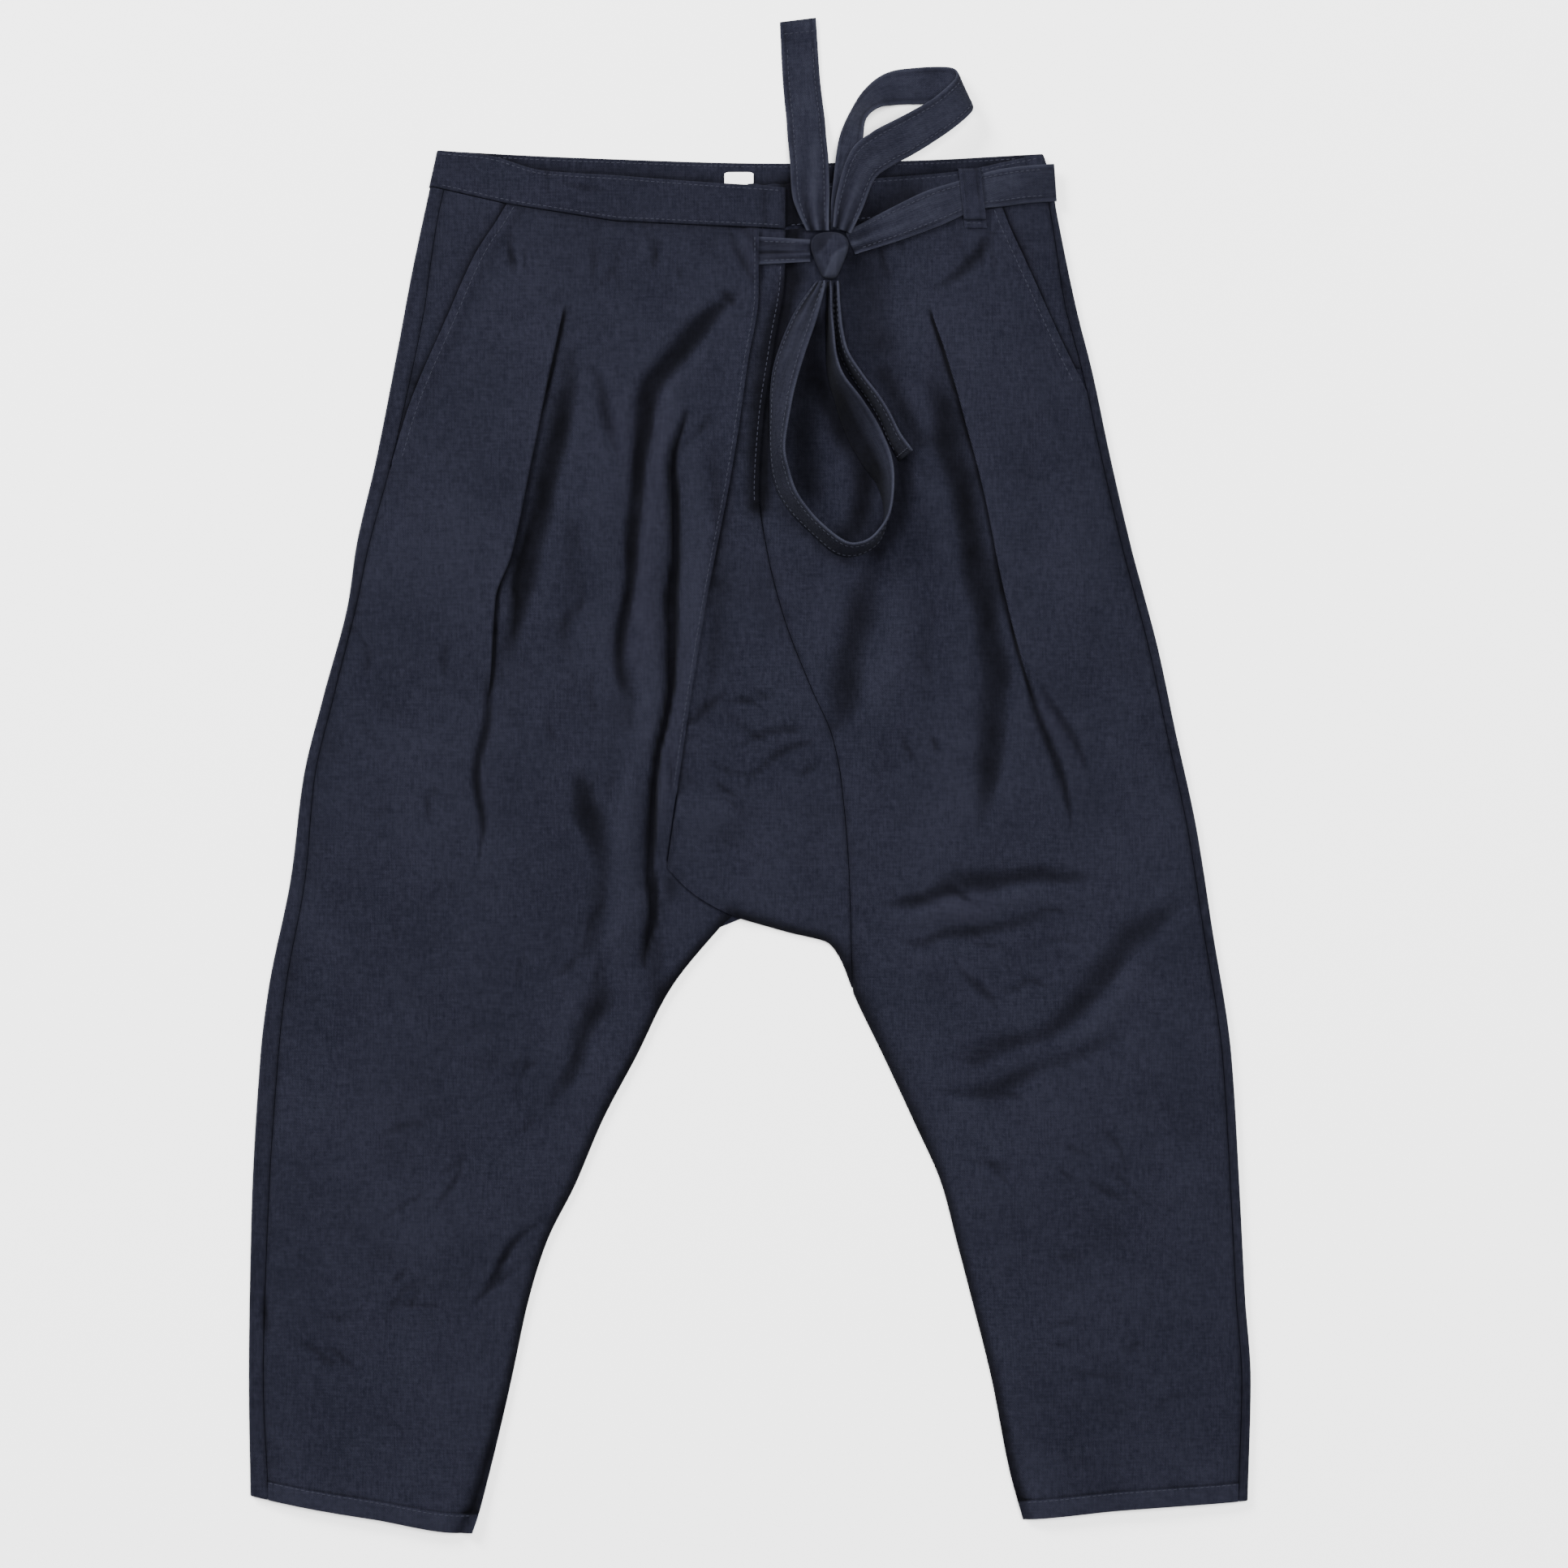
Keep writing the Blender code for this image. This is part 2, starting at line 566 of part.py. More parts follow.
def build_front_left():
    """The left front leg: its inner strip dips under the wrap edge and its pocket edge is on top."""
    across, down, height = [], [], []
    pleat_at = 9
    for level in LEVELS:
        pocket = level < LEFT_POCKET_END
        outer = float(POCKET_LEFT(level)) if pocket else float(LEFT_SEAM(level)) - SEAM_GAP
        lap = mix(WRAP_LAP, -SEAM_GAP, float(ramp(level, *WRAP_LAP_FADE)))
        edge_line = float(WRAP(level)) if level < LEFT_INSEAM_START else float(INSEAM_LEFT(level)) - SEAM_GAP
        inner = edge_line - lap
        offsets, lifts = pleat_section(LEFT_PLEAT, level)
        folds = list(float(Curve(LEFT_PLEAT.edge)(level)) + offsets)
        recess = min(float(Curve(RECESS_GUIDE)(level)), folds[0] - 9)
        lap_line = edge_line + SLEEK * float(ramp(level, *WRAP_LAP_FADE))
        guides = [inner, lap_line, lap_line + 1] + between(lap_line + 1, recess - 8, 2)
        guides += [recess - 8, recess, recess + 8, (recess + 8 + folds[0]) / 2] + folds
        guides += between(folds[-1], outer - 7, 2) + [outer - 7, outer - 6, outer]
        even = guides[:3] + between(guides[2], guides[-3], len(guides) - 6) + guides[-3:]
        share = float(ramp(level, *LEFT_EVEN_FADE_IN))
        columns = np.array([mix(g, e, share) for g, e in zip(guides, even)])
        spread(columns, 2, pleat_at)
        row_across, row_down = rowwise(level, columns)
        row_height = level_heights(row_across, row_down, pleat_at if level < PLEAT_END else None)
        row_height += rise_towards(row_across, pleat_at, LEFT_PLEAT.sign, lifts[-1])
        row_height[pleat_at:pleat_at + PLEAT_COLUMNS] += lifts
        row_height += lap_lift(outer - row_across, POCKET_LAP) * float(1 - ramp(level, *LEFT_POCKET_FADE))
        dip = LIFT * (1 - ramp(row_across - edge_line, 1, 1 + LAP_EASE))
        row_height -= dip * float(1 - ramp(level, *WRAP_DIP_FADE))
        row_height = np.maximum(row_height, FLOOR_MID)
        across.append(row_across)
        down.append(row_down)
        height.append(row_height)
    return finish_leg("front_left", across, down, height)


CENTRE_COLUMNS = (0, 0.06, 0.2, 0.34, 0.48, 0.62, 0.75, 0.86, 0.93, 1)
CROTCH_SHARES = (0.12, 0.26, 0.4, 0.54, 0.68, 0.81, 0.91, 1.0)
CROTCH_PASSES = 12


def build_front_centre():
    """The middle front: a placket strip above that widens to the dropped crotch below."""
    rows = [rowwise(level, centre_row(level)) for level in LEVELS if level <= STRAIGHT_END]
    rows += [crotch_row(share) for share in CROTCH_SHARES]
    across, down = (np.array(grid) for grid in zip(*rows))
    height = front_mid(across, down)
    crotch = CROTCH_LINE(across)
    flap = ramp(down, crotch - FLAP_RISE[0], crotch - FLAP_RISE[1]) * (1 - ramp(across, *FLAP_ENDS))
    height = mix(height, np.maximum(height, FLAP_MID), flap)
    return cloth_piece("front_centre", across, down, height, [0, 1, -1])


def centre_row(level):
    """Return the places across of a level of the middle front above the crotch."""
    seam, wrap = float(PLACKET(level)), float(WRAP(level))
    strip = [seam - PLACKET_LAP, seam] + between(seam, wrap - WRAP_LAP, 2) + [wrap - WRAP_LAP]
    strip += between(wrap - WRAP_LAP, wrap, 4) + [wrap]
    even = [mix(seam - PLACKET_LAP, wrap, share) for share in CENTRE_COLUMNS]
    even[1] = seam
    return mix(np.array(strip), np.array(even), float(ramp(level, *CENTRE_EVEN_FADE_IN)))


def crotch_row(share):
    """Return a row between the last straight level and the crotch curve, from one seam to the other."""
    columns = np.array(CENTRE_COLUMNS)
    across = mix(float(PLACKET(STRAIGHT_END)), float(WRAP(STRAIGHT_END)), columns)
    for _ in range(CROTCH_PASSES):
        down = STRAIGHT_END + share * (CROTCH_LINE(across) - STRAIGHT_END)
        lap = mix(PLACKET_LAP, -SEAM_GAP, ramp(down[0], *PLACKET_LAP_FADE))
        across = mix(PLACKET(down) - lap, WRAP(down), columns)
        across[1] = max(float(PLACKET(down[1])), across[0] + PLACKET_LAP)
    return across, down


def turned_row(side, edge, start, low_mid, top_mid, count):
    """Return a section from a start out along the surface and round the side edge, as points.

    Side is -1 for the wearer's right and 1 for the left. The turn is half a rounded circle.
    """
    turn_at = edge - side * (low_mid + TURN_RADIUS)
    points = [(start, low_mid)] + [(place, low_mid) for place in between(start, turn_at, count)]
    rise = (top_mid - low_mid) / 2
    for angle in (-90, -45, 0, 45, 90):
        a = math.radians(angle)
        points.append((turn_at + side * TURN_RADIUS * math.cos(a), low_mid + rise * (1 + math.sin(a))))
    return points


def build_turned(name, side, across, down, height, thickness=CLOTH):
    """Thicken sections that run out along the surface and turn back over themselves."""
    order = slice(None) if side > 0 else slice(None, None, -1)
    grids = [np.array(grid)[:, order] for grid in (across, down, height)]
    return cloth_piece(name, *grids, upright=(0, -1), thickness=thickness)


def build_back(name, side, edge_curve, seam_curve, inner_of):
    """One back leg: flat on the surface, turned round the side edge to the side seam on the front."""
    across, down, height = [], [], []
    for level in LEVELS:
        edge = float(edge_curve(level_down(level, float(edge_curve(level)))))
        seam = float(seam_curve(level))
        seam_down = float(level_down(level, seam))
        edge_height = float(front_mid(edge - side * (BACK_MID + TURN_RADIUS), seam_down))
        section = turned_row(side, edge, inner_of(level), BACK_MID, edge_height, 2)
        section.append((seam, float(front_mid(seam, seam_down))))
        row_across, row_height = np.array(section).T
        turned = np.clip((row_height - BACK_MID) / (edge_height - BACK_MID), 0, 1)
        across.append(row_across)
        down.append(mix(level_down(level, row_across, BACK_TOP), level_down(level, row_across), turned))
        height.append(row_height)
    return build_turned(name, side, across, down, height)


BACK_CROTCH_RIGHT = Curve([(BACK_CROTCH, CENTRE_SEAM), (506, 4), (512, -8), (517, -20.5)])
BACK_CROTCH_LEFT = Curve([(BACK_CROTCH, 8.4), (507, 13), (522, 48), (526, 54), (536, 61), (559, 68.2)])


def back_inner_right(level):
    """Where the right back leg ends: the centre back seam, then the crotch, then the inseam."""
    if level <= BACK_CROTCH:
        return CENTRE_SEAM
    if level < EAR_END:
        return float(BACK_CROTCH_RIGHT(level))
    return float(INSEAM_RIGHT(level)) - BACK_STEP_IN


def back_inner_left(level):
    """Where the left back leg ends."""
    if level <= BACK_CROTCH:
        return CENTRE_SEAM + SEAM_GAP
    if level < LEFT_INSEAM_START:
        return float(BACK_CROTCH_LEFT(level))
    return float(INSEAM_LEFT(level)) + BACK_STEP_IN


def build_pocket(name, side, pocket, seam, end):
    """A hip piece that shows in the slanted pocket opening and runs on under the front."""
    across, down, height = [], [], []
    for level in [level for level in LEVELS if level < end]:
        outer = float(seam(level)) - side * SEAM_GAP
        under = float(pocket(level)) - side * POCKET_LAP
        edge = outer - side * max(abs(outer - float(pocket(level))), SEAM_GAP)
        columns = sorted([outer, mix(outer, edge, 0.5), edge, under])
        row_across, row_down = rowwise(level, columns)
        across.append(row_across)
        down.append(row_down)
        height.append(front_mid(row_across, row_down))
    across, down, height = np.array(across), np.array(down), np.array(height)
    return cloth_piece(name, across, down, height, [0, 1, 2, 3])


def band_places(start, end, count):
    """Return the waistband's columns: even ones, and one at each bend of the top seam."""
    low, high = min(start, end), max(start, end)
    places = between(low, high, count)
    for row in TOP_SEAM:
        if low + 2 < row.across < high - 2:
            nearest = min(range(len(places)), key=lambda k: abs(places[k] - row.across))
            places[nearest] = row.across
    return places if start < end else places[::-1]


def build_front_band(name, side, edge_curve, top_curve, end, over):
    """A front waistband: it turns round the side edge and ends in under the back."""
    across, down, height = [], [], []
    half = BAND / 2
    for share in BAND_ROWS:
        edge = float(edge_curve(mix(float(top_curve(side * BAND_END_PLACE)), BAND_EDGE_DOWN, share)))
        turn_at = edge - side * (half + TURN_RADIUS)
        upper = float(front_mid(turn_at, FIRST_LEVEL)) + BAND_PROUD
        turned = turned_row(side, edge, turn_at - side * BAND_UNDER_RUN, half, upper, 0)
        flat = band_places(turn_at, end, BAND_COLUMNS) + [end]
        flat_height = front_mid(np.array(flat), FIRST_LEVEL) + BAND_PROUD
        if over:
            flat_height = flat_height + OVER_LAP * ramp(flat, *OVER_LAP_PLACES)
        else:
            flat_height = flat_height - UNDER_LAP * (1 - ramp(flat, *UNDER_LAP_PLACES))
        row_across = np.array([place for place, _ in turned] + flat)
        row_height = np.array([z for _, z in turned] + list(flat_height))
        front = mix(top_curve(row_across), FRONT_TOP(row_across) - SEAM_GAP, share)
        back = mix(BACK_BAND(row_across), BACK_TOP(row_across) - SEAM_GAP, share)
        across.append(row_across)
        down.append(mix(back, front, np.clip((row_height - half) / (upper - half), 0, 1)))
        height.append(row_height)
    return build_turned(name, side, across, down, height, thickness=BAND)


def build_back_band():
    """The back waistband between the two ends of the front ones, flat on the surface."""
    half = BAND / 2
    reach = half + TURN_RADIUS + BAND_UNDER_RUN + SEAM_GAP
    count = 7
    across, down = [], []
    for share in BAND_ROWS:
        right = float(RIGHT_EDGE(mix(RIGHT_BAND_TOP[0].down, BAND_EDGE_DOWN, share))) + reach
        left = float(LEFT_EDGE(mix(LEFT_BAND_TOP[-1].down, BAND_EDGE_DOWN, share))) - reach
        halves = [np.linspace(right, CENTRE_SEAM, count), np.linspace(CENTRE_SEAM, left, count)[1:]]
        row_across = np.concatenate(halves)
        across.append(row_across)
        down.append(mix(BACK_BAND(row_across), BACK_TOP(row_across) - SEAM_GAP, share))
    across, down = np.array(across), np.array(down)
    return cloth_piece("waistband_back", across, down, np.full(across.shape, half), thickness=BAND)


def ribbon(name, rims, thickness=STRAP, finish=TAPE):
    """Make a strip from pairs of rim points in millimetres, each (across, down, height)."""
    first = np.array([low for low, _ in rims], float)
    second = np.array([high for _, high in rims], float)
    first[:, 1] *= -1
    second[:, 1] *= -1
    middle = (first + second) / 2
    along = np.gradient(middle, axis=0)
    width = second - first
    out = np.cross(along, width)
    out /= np.linalg.norm(out, axis=1)[:, None]
    half = thickness / 2
    corners = [first + out * half, second + out * half, second - out * half, first - out * half]
    rings = np.stack(corners, axis=1)
    rings[..., 0] -= CENTRE_ACROSS
    rings[..., 1] += CENTRE_DOWN
    rings[..., 2] = np.maximum(rings[..., 2], 0)
    vertices = (rings * MM).reshape(-1, 3)
    faces = []
    count = len(rims)
    for i in range(count - 1):
        for k in range(4):
            a, b = i * 4 + k, i * 4 + (k + 1) % 4
            if k == 2:
                faces += [(a + 4, b, a), (a + 4, b + 4, b)]
            else:
                faces += [(b + 4, b, a), (a + 4, b + 4, a)]
    last = (count - 1) * 4
    faces += [(0, 1, 2, 3), (last + 3, last + 2, last + 1, last)]
    return new_object(name, finish, vertices, faces)


def rims_from_stations(stations):
    """Turn centre stations into pairs of rim points, with rounded stretches between them."""
    rows = smooth_path([tuple(s) for s in stations], RIBBON_STEPS)
    rims = []
    for across, down, height, width, bearing, tilt in rows:
        b, t = math.radians(bearing), math.radians(tilt)
        half = width / 2
        step = (half * math.cos(t) * math.cos(b), -half * math.cos(t) * math.sin(b), half * math.sin(t))
        rims.append(((across - step[0], down - step[1], height - step[2]),
                     (across + step[0], down + step[1], height + step[2])))
    return rims


def rims_standing(table):
    """Turn plan positions of a standing ribbon's two rims into points, by its real width."""
    rows = smooth_path([tuple(row) for row in table], RIBBON_STEPS)
    rims = []
    for low_across, low_down, high_across, high_down, width in rows:
        plan = math.hypot(high_across - low_across, high_down - low_down)
        rise = math.sqrt(max(width ** 2 - plan ** 2, 1.0))
        rims.append(((low_across, low_down, BOW_FLOOR), (high_across, high_down, BOW_FLOOR + rise)))
    return rims


KNOT = Vector((52.4, 71.3, 13.6))
KNOT_HALF = Vector((13.0, 15.5, 6.9))
KNOT_SQUARENESS = 0.62
KNOT_FOOT = 0.75
BOW_FLOOR = 9.2

BOW_END_UP = (
    Station(44.6, 54.6, 12.2, 15, 180, 0), Station(41.6, 42, 11.8, 21, 180, 0),
    Station(39.9, 30, 11, 25, 180, 0), Station(38.9, 8, 8.4, 25.8, 180, 0),
    Station(37.4, -8, 5, 25.8, 180, 0), Station(36.5, -21, 2.3, 25.6, 181, 0),
    Station(35, -34, 1.0, 25.2, 182, 0), Station(33.5, -50, 1.0, 24.8, 183, 0),
    Station(31.4, -86.53, 1.0, 24.2, 187, 0),
)
BOW_LOOP_UP = (
    Station(60.6, 54.4, 14.6, 13, 160, 0), Station(65.5, 36, 16.5, 20, 150, 12),
    Station(74.2, 12, 18.8, 25, 130, 14), Station(87.2, 1.2, 20, 26, 121, 10),
    Station(100.3, -5.8, 20.5, 26, 120, 6), Station(113.4, -13.2, 20.5, 25, 120, 3),
    Station(126.4, -21.5, 19.4, 24, 121, 0), Station(136.5, -30, 16.5, 24, 122, 0),
    Station(142, -37, 11, 24, 117, 0), Station(139.5, -41.8, 6, 24, 108, 0),
    Station(129.6, -43, 3.2, 24.4, 96, 0), Station(110.7, -42.4, 2.7, 24.4, 90, 0),
    Station(93.5, -40.5, 3.8, 23, 101, -10), Station(80.5, -33.5, 6.6, 20, 130, -36),
    Station(71.5, -22.5, 9, 18.5, 151, -50), Station(67.2, -9, 10.4, 18, 166, -34),
    Station(64.8, 5, 11, 16.5, 171, -14), Station(61.6, 24, 11, 14, 173, -4),
    Station(59.6, 39, 10.6, 13, 173, 0), Station(59.0, 54.0, 9.6, 12, 175, 0),
)
BOW_LOOP_DOWN = (
    Rims(44.6, 88.6, 49.6, 88.6, 12), Rims(40, 94, 49, 94, 16), Rims(27, 113.4, 43.7, 113.4, 22),
    Rims(15.1, 145.3, 31.9, 149.6, 24), Rims(13, 175.5, 25.4, 178.2, 24),
    Rims(13.5, 202.5, 22.7, 199.3, 24), Rims(16.2, 221.4, 25.9, 216, 24),
    Rims(24.3, 237.6, 32.4, 232.2, 24), Rims(39.4, 253.8, 44.8, 247.3, 24),
    Rims(56.7, 268.4, 62.1, 261, 24), Rims(71.8, 269.5, 73, 262, 24), Rims(84.8, 260.8, 83, 256, 24),
    Rims(89.1, 243.5, 91.8, 242.5, 24), Rims(85.3, 225.2, 94.5, 222, 24), Rims(74, 209, 92.9, 203.5, 24),
    Rims(64.3, 191.7, 85.3, 184.7, 24), Rims(56.7, 170.1, 74.5, 168, 24),
    Rims(51.3, 147.4, 59.4, 147.4, 22), Rims(50.8, 118.3, 54.6, 118.3, 16),
    Rims(51.6, 88.6, 53.4, 88.6, 12),
)
BOW_END_DOWN = (
    Rims(56.8, 88.6, 58.2, 88.6, 12), Rims(56.4, 105.3, 59.0, 105.3, 15), Rims(57.5, 124.2, 61, 123.1, 18),
    Rims(60.9, 139.3, 65, 137.2, 21), Rims(69.6, 154.4, 73.9, 151.2, 23),
    Rims(78.7, 167.4, 83.5, 163.6, 24), Rims(86, 180.4, 91.4, 176, 24), Rims(92, 194.4, 98.5, 189.5, 24),
    Rims(99, 207.4, 107, 201.4, 24),
)
TIE_LEFT = (
    Point(22.2, 202.5), Point(23.8, 181), Point(27.5, 157), Point(30.2, 146), Point(39.4, 121.5),
    Point(50.8, 94.5), Point(58.9, 75), Point(62.8, 66.2),
)
TIE_LEFT_WIDTH = Curve([(66, 16), (94, 22), (121, 25), (146, 22), (170, 25), (203, 25)])
TIE_ON_CLOTH = 22
TIE_RIGHT_DOWN = 67.5
TIE_RIGHT_ROWS = ((3.2, 9.5), (12, 9), (20, 8.6), (28, 8.1), (36, 7.7), (39.6, 7.5))
RIBBON_STEPS = 3

# The belt loop by how far down, and how high over the waistband
LOOP_HALF = 7.5
LOOP_SPOT = Across(146, 30)
LOOP_CENTRE = Curve([(13, 145.3), (52.4, 149.6)])
LOOP_OVER = TOUCH_GAP + STRAP + 0.5
LOOP_ROWS = (
    (12.6, 0), (13.6, 0), (14.9, LOOP_OVER), (22, LOOP_OVER + 0.3), (34, LOOP_OVER + 0.3), (45.4, LOOP_OVER),
    (47, 0.4), (52.4, 0),
)


def cloth_top(across, down):
    """Return the height of the front's upper face, waistband included, at a place."""
    panel = float(front_mid(across, down)) + CLOTH / 2
    band = float(front_mid(across, FIRST_LEVEL)) + BAND_PROUD + BAND / 2
    seam = float(FRONT_TOP(across))
    return mix(band, panel, float(ramp(down, seam - 2, seam + 10)))


def build_tie_left():
    """The tie from the left side seam, through the belt loop and down to the knot."""
    rows = smooth_path(TIE_LEFT, RIBBON_STEPS)
    rims = []
    for i, (down, across) in enumerate(rows):
        ahead = rows[min(i + 1, len(rows) - 1)] - rows[max(i - 1, 0)]
        step = ahead / math.hypot(*ahead)
        half = float(TIE_LEFT_WIDTH(across)) / 2
        upper = (across + step[0] * half, down - step[1] * half)
        lower = (across - step[0] * half, down + step[1] * half)
        upper_base = cloth_top(*upper) if upper[1] > TIE_ON_CLOTH else 0
        lift = max(cloth_top(across, down), upper_base, cloth_top(*lower)) + TOUCH_GAP + STRAP / 2
        rims.append(((lower[0], lower[1], lift), (upper[0], upper[1], lift)))
    return ribbon("tie_left", rims)


def build_tie_right():
    """The short stretch of tie from the slit in the placket seam to the knot."""
    rims = []
    for across, half in TIE_RIGHT_ROWS:
        base = max(cloth_top(across, TIE_RIGHT_DOWN - half), cloth_top(across, TIE_RIGHT_DOWN + half))
        height = base + TOUCH_GAP + STRAP / 2
        rims.append(((across, TIE_RIGHT_DOWN + half, height), (across, TIE_RIGHT_DOWN - half, height)))
    return ribbon("tie_right", rims)


def build_belt_loop():
    """The belt loop, a narrow strip that bridges over the tie."""
    low = cloth_top(LOOP_SPOT.across, LOOP_SPOT.down) + TOUCH_GAP + CLOTH / 2
    rims = []
    for down, lift in LOOP_ROWS:
        across = float(LOOP_CENTRE(down))
        height = low + lift
        rims.append(((across - LOOP_HALF, down, height), (across + LOOP_HALF, down, height)))
    return ribbon("belt_loop", rims, thickness=CLOTH, finish=TWILL)


def build_knot():
    """The knot: a rounded cushion shape, squarer than a ball and narrower below than above."""
    rings, around = 7, 14
    vertices, faces = [], []

    def power(value):
        return math.copysign(abs(value) ** KNOT_SQUARENESS, value)

    for i in range(1, rings):
        polar = math.pi * i / rings
        for k in range(around):
            turn = 2 * math.pi * k / around
            fall = power(math.sin(polar)) * power(math.sin(turn))
            narrow = mix(1, KNOT_FOOT, float(ramp(fall, -0.5, 1)))
            x = KNOT.x + KNOT_HALF.x * power(math.sin(polar)) * power(math.cos(turn)) * narrow
            y = KNOT.y + KNOT_HALF.y * fall
            z = KNOT.z + KNOT_HALF.z * power(math.cos(polar))
            vertices.append(placed(np.float64(x), np.float64(y), np.float64(z)))
    top = len(vertices)
    vertices.append(placed(np.float64(KNOT.x), np.float64(KNOT.y), np.float64(KNOT.z + KNOT_HALF.z)))
    vertices.append(placed(np.float64(KNOT.x), np.float64(KNOT.y), np.float64(KNOT.z - KNOT_HALF.z)))
    for k in range(around):
        after = (k + 1) % around
        faces.append((top, after, k))
        base = (rings - 2) * around
        faces.append((top + 1, base + k, base + after))
        for i in range(rings - 2):
            a, b = i * around + k, i * around + after
            faces.append((a, b, b + around, a + around))
    return new_object("tie_knot", TAPE, vertices, faces)


LABEL_THICK = 1.0
LABEL_ACROSS = (-17.3, 2.7)
LABEL_DOWN = (14.0, 23.2)


def build_label():
    """The blank label on the inner face of the back waistband."""
    height = BAND + TOUCH_GAP + LABEL_THICK / 2
    rims = [((across, LABEL_DOWN[1], height), (across, LABEL_DOWN[0], height)) for across in LABEL_ACROSS]
    return ribbon("size_label", rims, thickness=LABEL_THICK, finish=LABEL_CLOTH)


def main():
    """Clear the scene and build every piece."""
    for item in list(bpy.data.objects):
        bpy.data.objects.remove(item, do_unlink=True)
    build_back("back_right", -1, RIGHT_EDGE, RIGHT_SEAM, back_inner_right)
    build_back("back_left", 1, LEFT_EDGE, LEFT_SEAM, back_inner_left)
    build_front_right()
    build_front_left()
    build_front_centre()
    build_pocket("pocket_right", -1, POCKET_RIGHT, RIGHT_SEAM, RIGHT_POCKET_END)
    build_pocket("pocket_left", 1, POCKET_LEFT, LEFT_SEAM, LEFT_POCKET_END)
    build_front_band("waistband_right", -1, RIGHT_EDGE, Curve(RIGHT_BAND_TOP), 23.0, True)
    build_front_band("waistband_left", 1, LEFT_EDGE, Curve(LEFT_BAND_TOP), -2.0, False)
    build_back_band()
    build_tie_left()
    build_tie_right()
    build_belt_loop()
    build_knot()
    ribbon("bow_end_up", rims_from_stations(BOW_END_UP))
    ribbon("bow_loop_up", rims_from_stations(BOW_LOOP_UP))
    ribbon("bow_loop_down", rims_standing(BOW_LOOP_DOWN))
    ribbon("bow_end_down", rims_standing(BOW_END_DOWN))
    build_label()


main()
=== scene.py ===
"""Looks of the wrap-front trousers: fine cloth, stitching, finishes, floor, light and camera.

Sizes are in millimetres and turn into metres when a mesh is made. Across runs from the wearer's
right (-) to the wearer's left (+), down runs from the waist to the hems, and height runs up from
the surface that the trousers lie on.
"""
import logging
import math
from dataclasses import astuple, dataclass
from enum import Enum
from typing import Any, Callable, Sequence

import bpy
import numpy as np
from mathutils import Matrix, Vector
from mathutils.bvhtree import BVHTree


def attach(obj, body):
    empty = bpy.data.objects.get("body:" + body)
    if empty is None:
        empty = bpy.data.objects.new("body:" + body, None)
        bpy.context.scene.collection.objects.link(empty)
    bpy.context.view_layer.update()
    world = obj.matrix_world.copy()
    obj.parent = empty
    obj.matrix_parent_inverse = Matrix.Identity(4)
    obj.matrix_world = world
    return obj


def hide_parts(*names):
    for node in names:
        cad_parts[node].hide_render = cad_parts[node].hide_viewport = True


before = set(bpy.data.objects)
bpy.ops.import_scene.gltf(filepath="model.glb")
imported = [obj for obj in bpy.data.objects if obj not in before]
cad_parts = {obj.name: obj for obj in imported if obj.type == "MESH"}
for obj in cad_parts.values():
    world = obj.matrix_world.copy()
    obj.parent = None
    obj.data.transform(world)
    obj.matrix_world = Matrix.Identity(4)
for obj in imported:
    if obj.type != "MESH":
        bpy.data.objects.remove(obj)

LOG = logging.getLogger("trousers")
BODY = "root"
Values = float | np.ndarray

MM = 0.001
CENTRE_ACROSS = -0.63
CENTRE_DOWN = 415.8

CLOTH = 1.2
BAND = 2.0
STRAP = 2.0
SEAM_GAP = 0.4
BACK_GAP = 0.06
TOUCH_GAP = 0.3
LIFT = 1.8
BACK_MID = CLOTH / 2
TURN_RADIUS = 1.9
EDGE_MID = BACK_MID + 2 * TURN_RADIUS
FLOOR_MID = 2.8
LOFT = 3.0
LOFT_REACH = 30.0
INNER_REACH = 6.0
HEM_EXTRA = 0.6
HEM_LEVEL = 893.0
BAND_PROUD = 0.2
BAND_UNDER_RUN = 10.0
CENTRE_SEAM = 8.0
PLACKET_LAP = 3.0
WRAP_LAP = 12.0
POCKET_LAP = 6.0
LAP_EASE = 8.0
EAR_MID = 3.0
FLAP_MID = 5.6
FIRST_LEVEL = 50.0
LAST_LEVEL = 905.0
ROW_STEP = 2.9
FLAT_TOLERANCE = 1e-6
EDGE_ROUND = 0.9
HEM_STITCH = 11.5


class Slot(Enum):
    """The record's material slots."""

    TWILL = "twill"
    TAPE = "tape"
    LABEL = "label"


@dataclass(frozen=True)
class Side:
    """One row of a side: how far down, the outermost edge and the side seam."""

    down: float
    edge: float
    seam: float


@dataclass(frozen=True)
class Fold:
    """A soft ridge (height above 0) or trough (below 0) along a path of (down, across) points."""

    name: str
    half_width: float
    height: float
    path: tuple


@dataclass(frozen=True)
class CreaseZone:
    """An area of small creases: its middle and spread, their bearing off straight down, and how many."""

    down: float
    across: float
    spread_down: float
    spread_across: float
    bearing: float
    count: int


@dataclass(frozen=True)
class Shadow:
    """A soft shadow along a path of (down, across) points: its reach and how dark it is."""

    name: str
    reach: float
    strength: float
    path: tuple


@dataclass(frozen=True)
class Pleat:
    """A pressed pleat: its edge line, its depth, the side it faces and how far it opens by level."""

    edge: "Curve"
    depth: float
    sign: int
    opens: "Curve"


@dataclass(frozen=True)
class Cut:
    """The flat size of a sheet's cut, in metres, with its area in square metres."""

    width: float
    length: float
    area: float
    rests_on: tuple = ()


